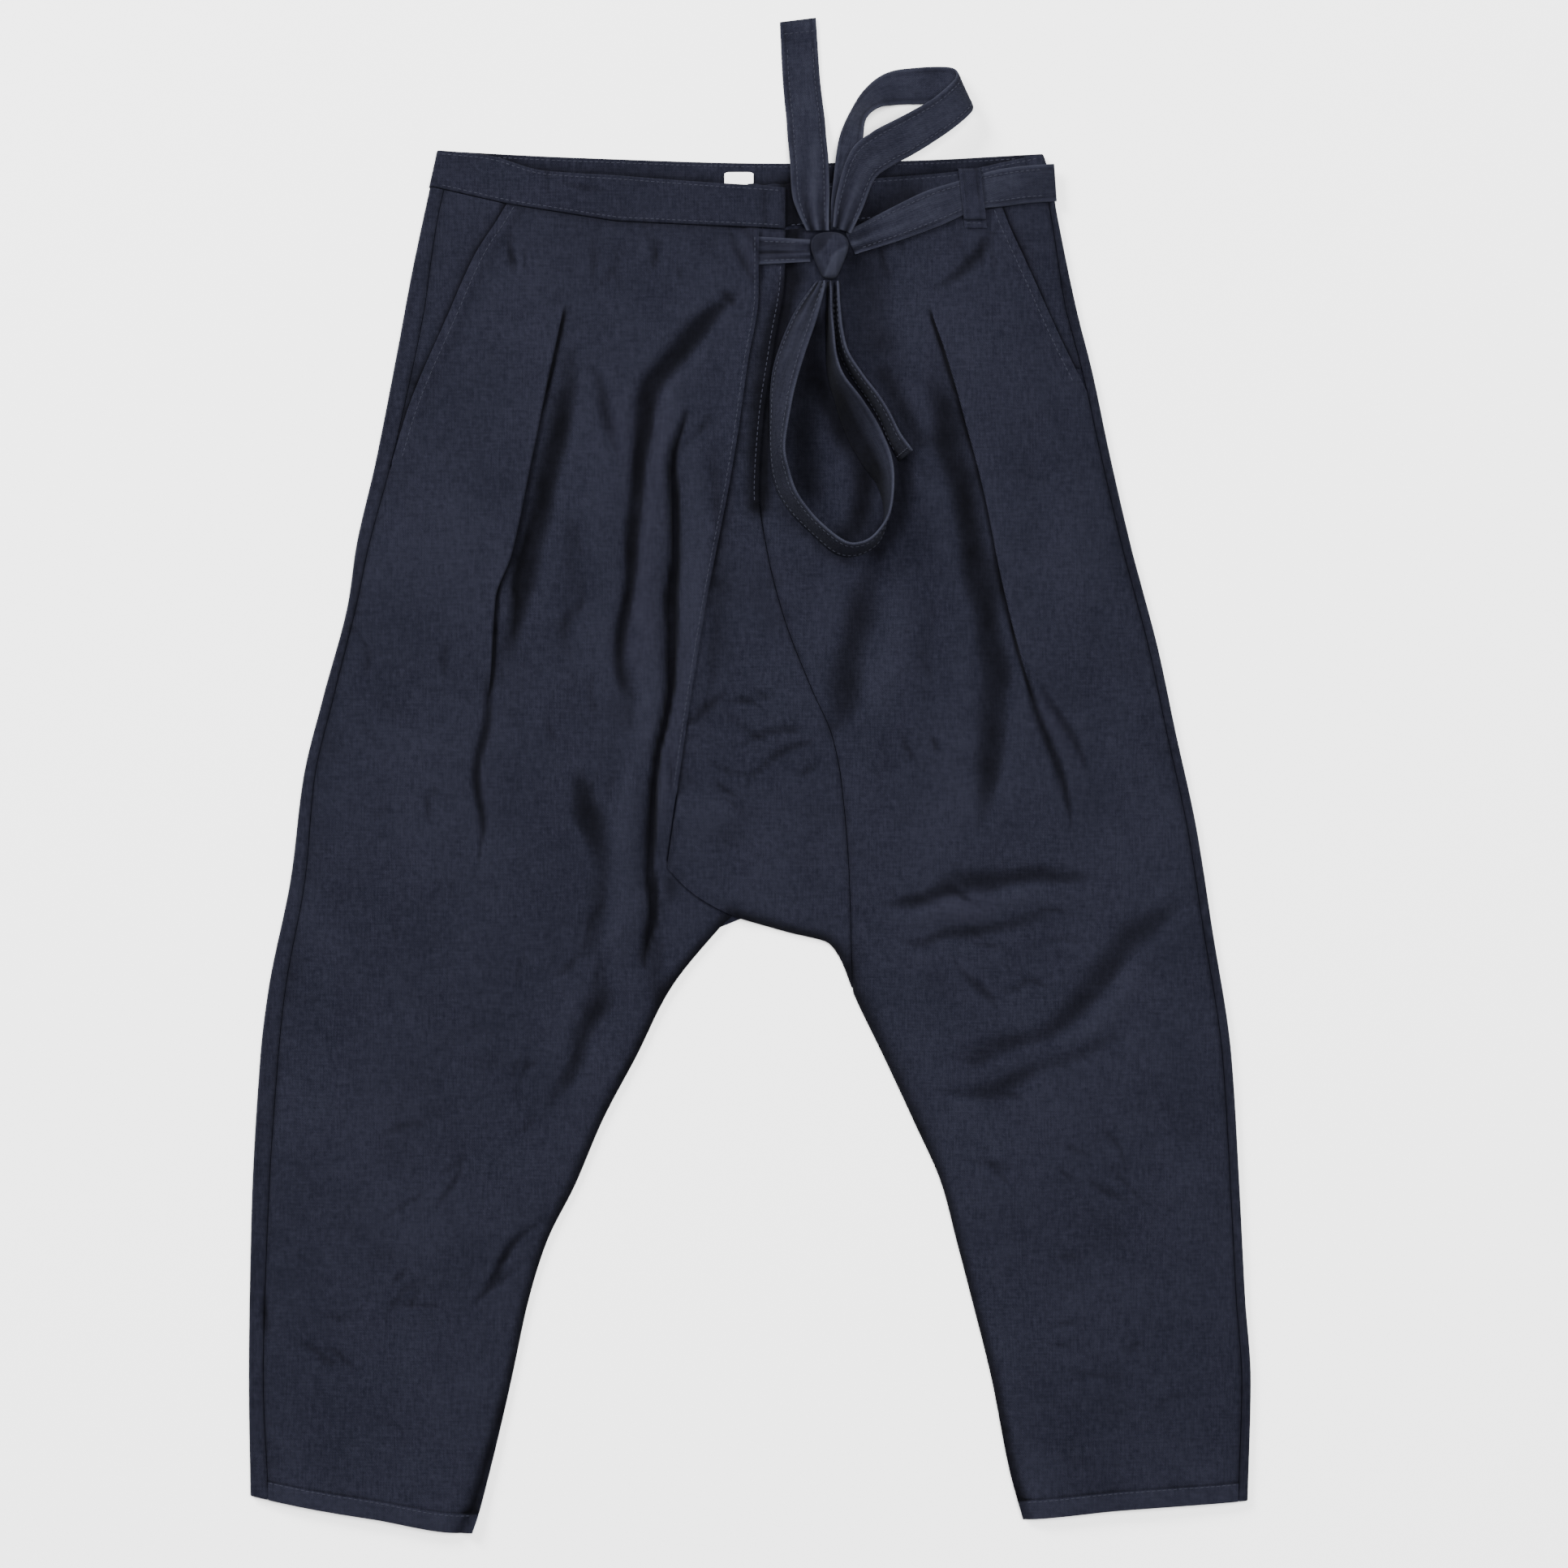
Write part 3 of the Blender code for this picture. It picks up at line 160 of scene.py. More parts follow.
class Curve:
    """A smooth curve through (station, value) rows that never swings past its rows."""

    def __init__(self, rows: Sequence) -> None:
        """Work out the slope at each row.

        Args:
            rows: (station, value) pairs in any order.
        """
        ordered = sorted(rows)
        self.stations = np.array([row[0] for row in ordered], float)
        self.values = np.array([row[1] for row in ordered], float)
        slopes = np.diff(self.values) / np.diff(self.stations)
        turns = slopes[:-1] * slopes[1:]
        total = np.where(turns > 0, slopes[:-1] + slopes[1:], 1)
        inner = np.where(turns > 0, 2 * turns / total, 0)
        self.slopes = np.concatenate(([slopes[0]], inner, [slopes[-1]]))

    def __call__(self, station: Values) -> Values:
        """Return the value at each station.

        Args:
            station: a number or an array of numbers.

        Returns:
            The curve's values, in the same shape.
        """
        s = np.clip(np.asarray(station, float), self.stations[0], self.stations[-1])
        last = len(self.stations) - 2
        i = np.clip(np.searchsorted(self.stations, s, side="right") - 1, 0, last)
        step = self.stations[i + 1] - self.stations[i]
        t = (s - self.stations[i]) / step
        return ((1 + 2 * t) * (1 - t) ** 2 * self.values[i] + t * (1 - t) ** 2 * step * self.slopes[i]
                + t * t * (3 - 2 * t) * self.values[i + 1] + t * t * (t - 1) * step * self.slopes[i + 1])


class Line(Curve):
    """Straight stretches through (station, value) rows."""

    def __call__(self, station: Values) -> Values:
        """Return the value at each station, in straight stretches."""
        return np.interp(station, self.stations, self.values)


RIGHT_SIDE = (
    Side(0, -208.3, -192), Side(31, -214.8, -199), Side(80, -225, -211.7), Side(132, -234.6, -222),
    Side(208, -249.5, -239), Side(265, -262.5, -254.3), Side(300, -267.5, -261.5),
    Side(365, -284.6, -277.6), Side(418, -297.5, -290), Side(483, -305.6, -296), Side(559, -320.8, -309.5),
    Side(602, -326, -314), Side(710, -332, -321), Side(818, -333.7, -324), Side(895, -332.6, -321),
)
LEFT_SIDE = (
    Side(0, 193.5, 186), Side(14, 198.7, 190), Side(46, 204.5, 197), Side(105, 216.5, 209.5),
    Side(148, 227.3, 220.8), Side(202, 238.7, 232.7), Side(267, 253.8, 247.8), Side(289, 259.7, 253.7),
    Side(332, 271, 265), Side(386, 282.4, 276.4), Side(451, 296.5, 290.5), Side(516, 306.7, 300.7),
    Side(602, 319.7, 313.7), Side(688, 325, 319), Side(764, 328.9, 322.9), Side(818, 332.6, 326.6),
    Side(898, 330.5, 324.5),
)
PLACKET_ROWS = (
    (50, 5.4), (95, 5.4), (143, -2), (186, -8), (222, -14), (289, -27), (370, -40.5), (435, -50),
    (474, -55.6),
)
TROUGH_ROWS = (
    (52, -32), (100, -24), (117, -35), (144, -59.4), (174, -71), (240, -74.5), (300, -83), (348, -84.8),
    (450, -95), (560, -120), (900, -240),
)
SLIT_ROWS = (
    (52, -14), (100, -12), (144, -30), (174, -42), (209, -50.8), (270, -49.5), (354, -52.4), (405, -60),
    (477, -64), (546, -68), (602, -92), (700, -150), (900, -215),
)
RECESS_ROWS = (
    (50, 95), (104, 112), (154, 121.5), (202, 135), (251, 146), (300, 154), (348, 160), (402, 157),
    (445, 151), (905, 225),
)
RIGHT_EDGE = Curve([(row.down, row.edge) for row in RIGHT_SIDE])
RIGHT_SEAM = Curve([(row.down, row.seam) for row in RIGHT_SIDE])
LEFT_EDGE = Curve([(row.down, row.edge) for row in LEFT_SIDE])
LEFT_SEAM = Curve([(row.down, row.seam) for row in LEFT_SIDE])
INSEAM_RIGHT = Curve([
    (507, -10.8), (516, -19.4), (559, -54), (602, -75.6), (645, -98.3), (688, -116.6), (726, -135.5),
    (764, -147.4), (818, -159.3), (872, -174.4), (905, -185), (920, -192.8),
])
INSEAM_LEFT = Curve([
    (527, 51.3), (537, 59.4), (559, 67.5), (602, 88), (645, 108), (688, 127), (726, 137), (764, 146.9),
    (818, 160.4), (872, 171.7), (910, 182.5),
])
CROTCH_LINE = Curve([
    (-56, 477), (-39, 494), (-10, 510), (13, 517), (27.5, 521), (45, 525), (51, 527), (59, 537), (67.5, 558),
])
EAR_LINE = Curve([(474, -55.6), (480, -44), (490, -30), (500, -17), (507, -11.5), (516, -19.4)])
PLACKET = Curve(PLACKET_ROWS)
WRAP = Curve([
    (50, 23.2), (85, 22.6), (129, 15.7), (183, 8), (228, 5.4), (267, 10.8), (310, 21.6), (359, 40.5),
    (390, 54), (420, 60), (483, 65.3), (559, 67.5),
])
POCKET_RIGHT = Curve([
    (50, -162), (62, -169.3), (80, -183.6), (100, -196.2), (121, -206), (170, -226.8), (208, -238.4),
])
POCKET_LEFT = Curve([(50, 167), (62, 172), (80, 182.2), (100, 193.8), (130, 208), (159, 222.4)])
FRONT_TOP = Line([(-216, 24), (-162, 36.5), (-90, 47.8), (23, 53.3), (73, 48.8), (138, 43), (206, 32.4)])
BACK_TOP = Line([(-216, 26.5), (8, 37), (206, 34)])
HEM = Curve([
    (-334, 894.5), (-314, 899), (-286, 904.5), (-252, 910), (-190, 919.6), (182, 910.5), (245, 904.5),
    (320, 899), (331, 898),
])
RIGHT_BAND_TOP = Curve([(-208, 0.5), (-175, 3.8), (-138, 14), (-89, 17.3), (-40, 21), (23, 25.4)])
LEFT_BAND_TOP = Curve([(-2, 25), (19, 25.4), (73, 20), (138, 14.6), (170, 8), (196, 2.5)])
BACK_BAND = Curve([(-208, 0.5), (-120, 5), (22, 9), (110, 7), (196, 2.5)])
TROUGH_GUIDE = Curve(TROUGH_ROWS)
SLIT_GUIDE = Curve(SLIT_ROWS)
RECESS_GUIDE = Curve(RECESS_ROWS)
PLEAT_OPENS = Curve([
    (104, 0), (112, 0.3), (150, 1), (158, 1.12), (168, 1.4), (192, 2), (262, 2), (288, 1.5), (312, 1.15),
    (323, 1.05), (335, 0.9), (366, 0),
])
RIGHT_PLEAT = Pleat(Curve([
    (52, -112), (126, -128), (196, -143.6), (272, -159.8), (298, -169), (348, -172), (421, -180),
    (472, -180), (900, -262),
]), 14.0, 1, PLEAT_OPENS)
LEFT_PLEAT = Pleat(Curve([
    (50, 112), (104, 118.8), (134, 128.5), (224, 154.4), (306, 171), (361, 186.3), (424, 212), (451, 212),
    (905, 262),
]), 18.0, -1, PLEAT_OPENS)
SLIT_LIFT = Curve([(50, 3.0), (56, 4.4), (72, 4.4), (80, 3.4), (92, 2.0), (103, LIFT)])

MAIN_FOLDS = (
    Fold("trough beside the placket", 14, -4.4,
         ((94, -8), (103, -19), (115, -32), (132, -47), (152, -60), (176, -69), (205, -73), (232, -74))),
    Fold("the trough's lower run", 9, -3.6,
         ((184, -71), (205, -73.5), (245, -74.5), (272, -77), (300, -82), (332, -86), (356, -87))),
    Fold("ridge between trough and slit", 17, 3.4, ((154, -49), (251, -63), (359, -68), (402, -72))),
    Fold("ridge beyond the slit", 14, 2.8, ((181, -36), (289, -36), (386, -40))),
    Fold("slit", 6, -8, SLIT_ROWS[3:10]),
    Fold("ridge above the right leg", 16, 3.4, ((402, -78), (467, -82), (521, -84), (564, -95))),
    Fold("mound on the placket", 26, 2.8, ((418, -27), (462, -36))),
    Fold("trough below the bow", 24, -3.2, ((273, 85), (318, 75), (357, 64), (389, 57))),
    Fold("ridge below the bow", 24, 2, ((278, 100), (332, 89), (386, 78))),
    Fold("pit on the right thigh", 15, -3.2, ((412, -112), (435, -107), (460, -104), (470, -103))),
    Fold("recess inside the right pleat", 17, -3,
         ((140, -120), (196, -130), (272, -146), (330, -160))),
    Fold("right pleat's end", 6, -2.2, ((348, -172), (387, -177), (421, -180), (472, -180))),
    Fold("recess inside the left pleat", 20, -3.2, RECESS_ROWS[2:9]),
    Fold("left pleat's end", 6, -2.6,
         ((332, 179), (361, 186), (395, 199), (424, 212), (451, 212))),
    Fold("upper trough on the left thigh", 13, -1.8,
         ((499, 91), (497, 121), (484, 143), (481, 173), (485, 233))),
    Fold("ridge on the left thigh", 14, 1.6, ((513, 94), (500, 160), (502, 224))),
    Fold("crease on the left thigh", 8, -1.5, ((524, 97), (528, 120), (518, 155), (514, 195))),
    Fold("drag from the left knee", 20, -2.3,
         ((499, 292), (518, 259), (540, 240), (589, 199), (600, 166), (603, 132))),
    Fold("ridge at the left knee", 16, 1.8, ((537, 267), (570, 240), (597, 202), (613, 148))),
    Fold("lower trough at the left knee", 14, -1.7, ((589, 240), (603, 207), (622, 160), (630, 121))),
    Fold("drag at the right inseam", 14, -2.6, ((529, -91), (562, -96), (590, -110), (634, -132))),
)
FINE_FOLDS = (
    Fold("crease above the ear", 5, -1.3, ((387, -45), (372, -32), (357, -14))),
    Fold("small crease on the centre", 4, -0.8, ((369, -17), (365, 10))),
    Fold("crease above the slit", 5, -1.2, ((206, -48), (192, -38), (176, -22))),
    Fold("curl at the trough's top", 5, -1.4, ((90, -22), (98, -14), (106, -6))),
    Fold("upper crease at the wrap", 5, -1.2, ((396, -11), (390, 10), (386, 34))),
    Fold("lower crease at the wrap", 5, -1.4, ((423, -5), (408, 10), (396, 31), (393, 55))),
    Fold("short crease at the wrap", 4, -1.0, ((420, 28), (402, 55))),
    Fold("crease on the left thigh's middle", 6, -1.2, ((536, 136), (581, 166))),
    Fold("dimple at the right knee", 6, -1.2, ((761, -323), (791, -319))),
    Fold("second line beside the right pleat", 5, -1.2, ((244, -144), (285, -155), (320, -158))),
    Fold("line on the right waistband", 4, -0.7, ((23, -130), (26, -92))),
    Fold("line above the slit's end", 5, -1.2, ((379, -52), (408, -49), (435, -50))),
    Fold("trough beside the right pleat", 10, -1.8, ((145, -110), (177, -96), (212, -85))),
    Fold("nick at the right inseam", 5, -1.0, ((523, -84), (558, -94))),
    Fold("crease on the right shin", 6, -2.5, ((713, -138), (726, -154), (748, -170), (767, -185))),
    Fold("crease below it", 5, -1.2, ((737, -143), (746, -159), (768, -186))),
    Fold("drag from the belt loop", 8, -2.0, ((54, 162), (75, 144), (94, 122))),
    Fold("broad ridge on the right thigh", 25, 2.0, ((202, -100), (278, -97), (359, -100))),
    Fold("crease at the left hip", 7, -1.5, ((343, 184), (365, 199), (391, 214), (417, 227))),
)
SHADOWS = (
    Shadow("below the knot", 15, 0.7, ((62, 74), (95, 78), (127, 83))),
    Shadow("left of the loop", 6.5, 2.0, ((84, 29), (104, 21), (127, 14), (155, 9), (183, 6), (236, 5))),
    Shadow("inside the loop, right of its left limb", 9, 1.5, ((150, 38), (185, 34), (224, 38))),
    Shadow("inside the loop, beside its right limb", 7, 2.0, ((118, 44), (138, 42), (168, 52), (194, 65))),
    Shadow("inside the loop's foot", 7, 2.0, ((196, 73), (221, 76), (249, 71), (258, 62))),
    Shadow("between the loop and the end", 5, 2.0, ((112, 55), (143, 61), (160, 74), (183, 90), (202, 101))),
    Shadow("right of the loop", 6.5, 1.7, ((207, 101), (240, 99), (266, 84))),
    Shadow("right of the hanging end", 6, 1.1, ((150, 88), (175, 102), (195, 113))),
    Shadow("below the loop", 4, 0.6, ((240, 22), (262, 46), (274, 66))),
    Shadow("above the tie", 12, 1.3, ((20, 62), (34, 66), (44, 84), (34, 104))),
    Shadow("below the tie", 4, 0.4, ((72, 66), (62, 92), (52, 121), (44, 141))),
    Shadow("beside the waistband's end", 5, 1.6, ((22, 28), (40, 28), (60, 29))),
    Shadow("beside the wrap's edge", 4, 1.0, ((56, 27), (90, 26), (129, 19), (183, 11), (226, 9))),
    Shadow("under the ear", 8, 0.8, ((489, -54), (520, -64), (560, -62))),
    Shadow("beside the left inseam's top", 12, 0.4, ((540, 66), (600, 92), (660, 118))),
)
CREASE_ZONES = (
    CreaseZone(535, 165, 45, 60, 78, 16), CreaseZone(650, 205, 60, 60, 66, 9),
    CreaseZone(570, -125, 60, 30, -24, 11), CreaseZone(700, -190, 60, 45, -50, 9),
    CreaseZone(405, 0, 50, 34, 62, 9), CreaseZone(74, -70, 9, 100, 4, 14),
    CreaseZone(70, 120, 9, 45, -6, 6), CreaseZone(790, -255, 60, 50, 82, 7),
    CreaseZone(790, 235, 60, 50, -82, 7), CreaseZone(330, -110, 90, 26, -5, 8),
    CreaseZone(360, 120, 70, 26, 8, 6), CreaseZone(430, -230, 120, 40, 10, 6),
)
FOLD_STEPS = 6
FOLD_FADE = 45.0
FOLD_TIP = 0.4
STEP_ACROSS = np.array([-12, -4, -1.8, -1, -0.6, -0.2, 0.2, 1, 4])
STEP_HEIGHT = np.array([2.4, 3.3, 3.6, 2.9, 2.0, 1.6, 0.8, 0, 0])
FOLD_HEIGHT = np.array([2.4, 3.1, 3.6, 2.7, 1.8, 1.8, 0.9, 0, 0])
CENTRE_COLUMNS = (0, 0.06, 0.2, 0.34, 0.48, 0.62, 0.75, 0.86, 0.93, 1)


def ramp(value: Values, start: float, end: float) -> Values:
    """Return 0 before start, 1 after end and a smooth rise between them."""
    t = np.clip((np.asarray(value, float) - start) / (end - start), 0, 1)
    return t * t * (3 - 2 * t)


def mix(first: Values, second: Values, share: Values) -> Values:
    """Return first where share is 0 and second where it is 1."""
    return first + (second - first) * share


def between(first: Values, last: Values, count: int) -> list:
    """Return even places strictly between two places."""
    return [mix(first, last, (k + 1) / (count + 1)) for k in range(count)]


def smooth_path(points: Sequence, steps: int) -> np.ndarray:
    """Return points along a rounded line through the given points.

    Args:
        points: the points that the line passes through.
        steps: how many points to make for each stretch.

    Returns:
        One row for each point.
    """
    knots = np.array(points, float)
    knots = np.vstack([2 * knots[0] - knots[1], knots, 2 * knots[-1] - knots[-2]])
    out = []
    for i in range(1, len(knots) - 2):
        before, start, end, after = knots[i - 1:i + 3]
        for k in range(steps):
            t = k / steps
            bend = (2 * before - 5 * start + 4 * end - after) * t ** 2
            turn = (3 * start - before - 3 * end + after) * t ** 3
            out.append(0.5 * (2 * start + (end - before) * t + bend + turn))
    out.append(knots[-2])
    return np.array(out)


def path_distance(down: Values, across: Values, path: np.ndarray) -> tuple:
    """Return how far each place is from a path, and how far along it.

    Args:
        down: the places down.
        across: the places across.
        path: (down, across) points.

    Returns:
        The distance, the length walked along the path, and the path's whole length.
    """
    best = np.full(np.shape(across), 1e9)
    along = np.zeros(np.shape(across))
    walked = 0.0
    for start, end in zip(path[:-1], path[1:]):
        run = end - start
        length = math.hypot(*run)
        t = np.clip(((down - start[0]) * run[0] + (across - start[1]) * run[1]) / length ** 2, 0, 1)
        distance = np.hypot(down - start[0] - t * run[0], across - start[1] - t * run[1])
        along = np.where(distance < best, walked + t * length, along)
        best = np.minimum(best, distance)
        walked += length
    return best, along, walked


def placed(across: Values, down: Values, height: Values) -> np.ndarray:
    """Turn garment sizes into points in metres, centred over the origin."""
    return np.stack([(across - CENTRE_ACROSS) * MM, (CENTRE_DOWN - down) * MM, height * MM], axis=-1)


def level_down(level: Values, across: Values, top_line: Curve = FRONT_TOP) -> Values:
    """Return how far down a level lies: levels follow the top seam above and the hem below.

    Args:
        level: the level, or a column of levels.
        across: the places across.
        top_line: the seam that the top levels follow.

    Returns:
        How far down each place is.
    """
    top = (top_line(across) - FIRST_LEVEL) * (1 - ramp(level, FIRST_LEVEL, 110))
    hem = (HEM(across) - LAST_LEVEL) * ramp(level, 800, LAST_LEVEL)
    return level + top + hem


class SoftNoise:
    """Smooth bumps between -1 and 1 from a seeded table, with cells of a set size and direction."""

    SIZE = 64

    def __init__(self, seed: int, cell: float, turn: float, stretch: float = 1.0) -> None:
        """Make the table.

        Args:
            seed: the table's seed.
            cell: a cell's size, in millimetres.
            turn: how far the cells are turned, in degrees.
            stretch: how many times longer a cell is in its second direction.
        """
        self.table = np.random.default_rng(seed).uniform(-1, 1, (self.SIZE, self.SIZE))
        self.cell = cell
        self.stretch = stretch
        self.cos = math.cos(math.radians(turn))
        self.sin = math.sin(math.radians(turn))

    def __call__(self, across: Values, down: Values) -> Values:
        """Return the bump height at each place.

        Args:
            across: the places across.
            down: the places down.

        Returns:
            Numbers between -1 and 1.
        """
        u = (across * self.cos + down * self.sin) / self.cell + 1000
        v = (down * self.cos - across * self.sin) / (self.cell * self.stretch) + 1000
        i, j = np.floor(u).astype(int), np.floor(v).astype(int)
        s, t = ramp(u - i, 0, 1), ramp(v - j, 0, 1)
        i0, j0, i1, j1 = i % self.SIZE, j % self.SIZE, (i + 1) % self.SIZE, (j + 1) % self.SIZE
        near = mix(self.table[i0, j0], self.table[i1, j0], s)
        far = mix(self.table[i0, j1], self.table[i1, j1], s)
        return mix(near, far, t)


def small_creases() -> list:
    """Return the small creases that fine cloth keeps, scattered over their zones from a fixed seed.

    Returns:
        A fold for each crease.
    """
    chance = np.random.default_rng(77)
    creases = []
    for zone in CREASE_ZONES:
        for _ in range(zone.count):
            down = zone.down + zone.spread_down * chance.uniform(-1, 1)
            across = zone.across + zone.spread_across * chance.uniform(-1, 1)
            turn = math.radians(zone.bearing + chance.normal(0, 14))
            half = chance.uniform(9, 24)
            bow = half * chance.uniform(-0.3, 0.3)
            run = np.array([math.cos(turn), math.sin(turn)]) * half
            side = np.array([-run[1], run[0]]) / half * bow
            middle = np.array([down, across])
            path = (tuple(middle - run), tuple(middle + side), tuple(middle + run))
            creases.append(Fold("small crease", chance.uniform(2.4, 4.2), -chance.uniform(0.45, 1.0), path))
    return creases


class HeightField:
    """The height of the middle of the front cloth, which all front pieces share."""

    PUCKER_REACH = 7.0
    PUCKER_HEIGHT = 0.22
    PUCKER_STEP = 11.0
    WANDER = 4.5

    def __init__(self) -> None:
        """Work out the fold paths, the bumps, the seam lines and the relief."""
        folds = [*MAIN_FOLDS, *FINE_FOLDS, *small_creases()]
        self.folds = [(fold, smooth_path(fold.path, FOLD_STEPS)) for fold in folds]
        self.bumps = (
            (0.75, SoftNoise(11, 62, 24, 1.6)), (0.35, SoftNoise(12, 27, -35, 1.5)),
            (0.16, SoftNoise(13, 13, 62, 1.3)), (0.07, SoftNoise(14, 6.5, 15)),
        )
        self.wander = (SoftNoise(21, 34, 12), SoftNoise(22, 29, 40))
        self.inner = self.inner_outline()
        self.seams = self.seam_lines()
        self.relief = ReliefMap(self)

    @staticmethod
    def inner_outline() -> np.ndarray:
        """Return the line round the inside of both legs, over the crotch.

        Returns:
            (down, across) points.
        """
        right = [(down, INSEAM_RIGHT(down)) for down in np.linspace(920, 510, 24)]
        crotch = [(CROTCH_LINE(across), across) for across in np.linspace(-9, 60, 14)]
        left = [(down, INSEAM_LEFT(down)) for down in np.linspace(545, 910, 20)]
        return np.array(right + crotch + left, float)

    def seam_lines(self) -> list:
        """Return the lines that the cloth puckers along.

        Returns:
            Arrays of (down, across) points.
        """
        def line(curve: Curve, start: float, end: float) -> np.ndarray:
            """Return a curve's points between two levels."""
            return np.array([(down, float(curve(down))) for down in np.linspace(start, end, 24)])

        top = np.array([(float(FRONT_TOP(across)) + 2, across) for across in np.linspace(-200, 195, 24)])
        return [line(PLACKET, 60, 474), line(WRAP, 60, 550), line(POCKET_RIGHT, 40, 208),
                line(RIGHT_SEAM, 210, 890), line(LEFT_SEAM, 162, 890), line(POCKET_LEFT, 45, 158),
                top, self.inner]

    def __call__(self, across: Values, down: Values) -> Values:
        """Return the height of the cloth's middle at each place.

        Args:
            across: the places across.
            down: the places down.

        Returns:
            Heights in millimetres.
        """
        across, down = np.broadcast_arrays(np.asarray(across, float), np.asarray(down, float))
        shape_given = across.shape
        across, down = np.atleast_1d(across), np.atleast_1d(down)
        outer = np.minimum(across - RIGHT_EDGE(down), LEFT_EDGE(down) - across)
        loft = LOFT * mix(0.27, 1.0, ramp(down, 55, 130))
        mid = EDGE_MID + loft * (1 - np.exp(-np.maximum(outer, 0) / LOFT_REACH))
        inner = np.where(down > 440, path_distance(down, across, self.inner)[0], 1e3)
        mid = mid - (mid - FLOOR_MID) * np.exp(-inner / INNER_REACH)
        mid = mid.copy()
        stray_across = across + self.WANDER * self.wander[0](across, down)
        stray_down = down + self.WANDER * self.wander[1](across, down)
        for fold, path in self.folds:
            near = self.close_to(path, fold.half_width + self.WANDER, across, down)
            if not near.any():
                continue
            distance, along, length = path_distance(stray_down[near], stray_across[near], path)
            fade = min(FOLD_FADE, length / 2)
            ends = ramp(along, -fade / 3, fade) * ramp(length - along, -fade / 3, fade)
            half_width = fold.half_width * mix(FOLD_TIP, 1, ends)
            shape = np.cos(np.clip(distance / half_width, 0, 1) * math.pi / 2) ** 2
            mid[near] += fold.height * shape * ends
        calm = ramp(outer, 2, 18) * ramp(inner, 1, 14) * mix(0.35, 1, ramp(down, 60, 120))
        for size, noise in self.bumps:
            mid = mid + size * calm * noise(across, down)
        for line in self.seams:
            near = self.close_to(line, 3 * self.PUCKER_REACH, across, down)
            if not near.any():
                continue
            distance, along, _ = path_distance(down[near], across[near], line)
            wave = np.sin(along * 2 * math.pi / self.PUCKER_STEP + 2.6 * np.sin(along / 23))
            wave = wave * (0.5 + 0.5 * np.sin(along / 17 + distance / 5))
            fade = np.exp(-(distance / self.PUCKER_REACH) ** 2)
            mid[near] += self.PUCKER_HEIGHT * fade * wave * ramp(distance, 0, 3)
        return np.maximum(mid, FLOOR_MID).reshape(shape_given)

    @staticmethod
    def close_to(path: np.ndarray, reach: float, across: np.ndarray, down: np.ndarray) -> np.ndarray:
        """Return which places are within reach of the box round a path.

        Args:
            path: (down, across) points.
            reach: how far outside the box still counts, in millimetres.
            across: the places across.
            down: the places down.

        Returns:
            True where a place is close.
        """
        low, high = path.min(axis=0) - reach, path.max(axis=0) + reach
        if down.max() < low[0] or down.min() > high[0] or across.max() < low[1] or across.min() > high[1]:
            return np.zeros(down.shape, bool)
        return (down > low[0]) & (down < high[0]) & (across > low[1]) & (across < high[1])


class ReliefMap:
    """How far each place stands out of the front cloth round it, less painted shadows, off an even raster.
    """

    STEP = 2.5
    ACROSS = (-350.0, 350.0)
    DOWN = (10.0, 935.0)
    SCALES = ((6.0, 2.2), (13.0, 3.0), (32.0, 5.0))
    GAIN = 0.85

    def __init__(self, cloth: HeightField) -> None:
        """Work out the raster.

        Args:
            cloth: the height field.
        """
        across = np.arange(*self.ACROSS, self.STEP)[None, :]
        down = np.arange(*self.DOWN, self.STEP)[:, None]
        height = cloth(across, down)
        total = np.zeros(height.shape)
        # The finish paints the hollows of this relief darker, as shade, and its ridges paler, as wear.
        for reach, full in self.SCALES:
            soft = self.blurred(self.blurred(height, reach / self.STEP), reach / self.STEP)
            total += (height - soft) / full
        across, down = np.broadcast_arrays(across, down)
        # Painted shadows: each shadow of the table is taken off the relief.
        for shadow in SHADOWS:
            path = smooth_path(shadow.path, FOLD_STEPS)
            near = cloth.close_to(path, 3 * shadow.reach, across, down)
            distance = path_distance(down[near], across[near], path)[0]
            total[near] -= shadow.strength * np.exp(-(distance / shadow.reach) ** 2)
        self.values = np.tanh(self.GAIN * total)

    @staticmethod
    def blurred(values: np.ndarray, reach: float) -> np.ndarray:
        """Return the values, each one the mean of the square round it.

        Args:
            values: the values.
            reach: how far the square reaches, in cells.

        Returns:
            The means.
        """
        cells = int(round(reach))
        size = 2 * cells + 1
        padded = np.pad(values, cells, mode="edge")
        total = np.cumsum(np.cumsum(np.pad(padded, ((1, 0), (1, 0))), axis=0), axis=1)
        right, left = total[:, size:], total[:, :-size]
        return (right[size:] - right[:-size] - left[size:] + left[:-size]) / size ** 2

    def __call__(self, across: Values, down: Values) -> Values:
        """Return the relief at each place.

        Args:
            across: the places across.
            down: the places down.

        Returns:
            About -1 in a hollow and 1 on a ridge.
        """
        rows, columns = self.values.shape
        u = np.clip((across - self.ACROSS[0]) / self.STEP, 0, columns - 1.001)
        v = np.clip((down - self.DOWN[0]) / self.STEP, 0, rows - 1.001)
        i, j = v.astype(int), u.astype(int)
        near = mix(self.values[i, j], self.values[i, j + 1], u - j)
        far = mix(self.values[i + 1, j], self.values[i + 1, j + 1], u - j)
        return mix(near, far, v - i)


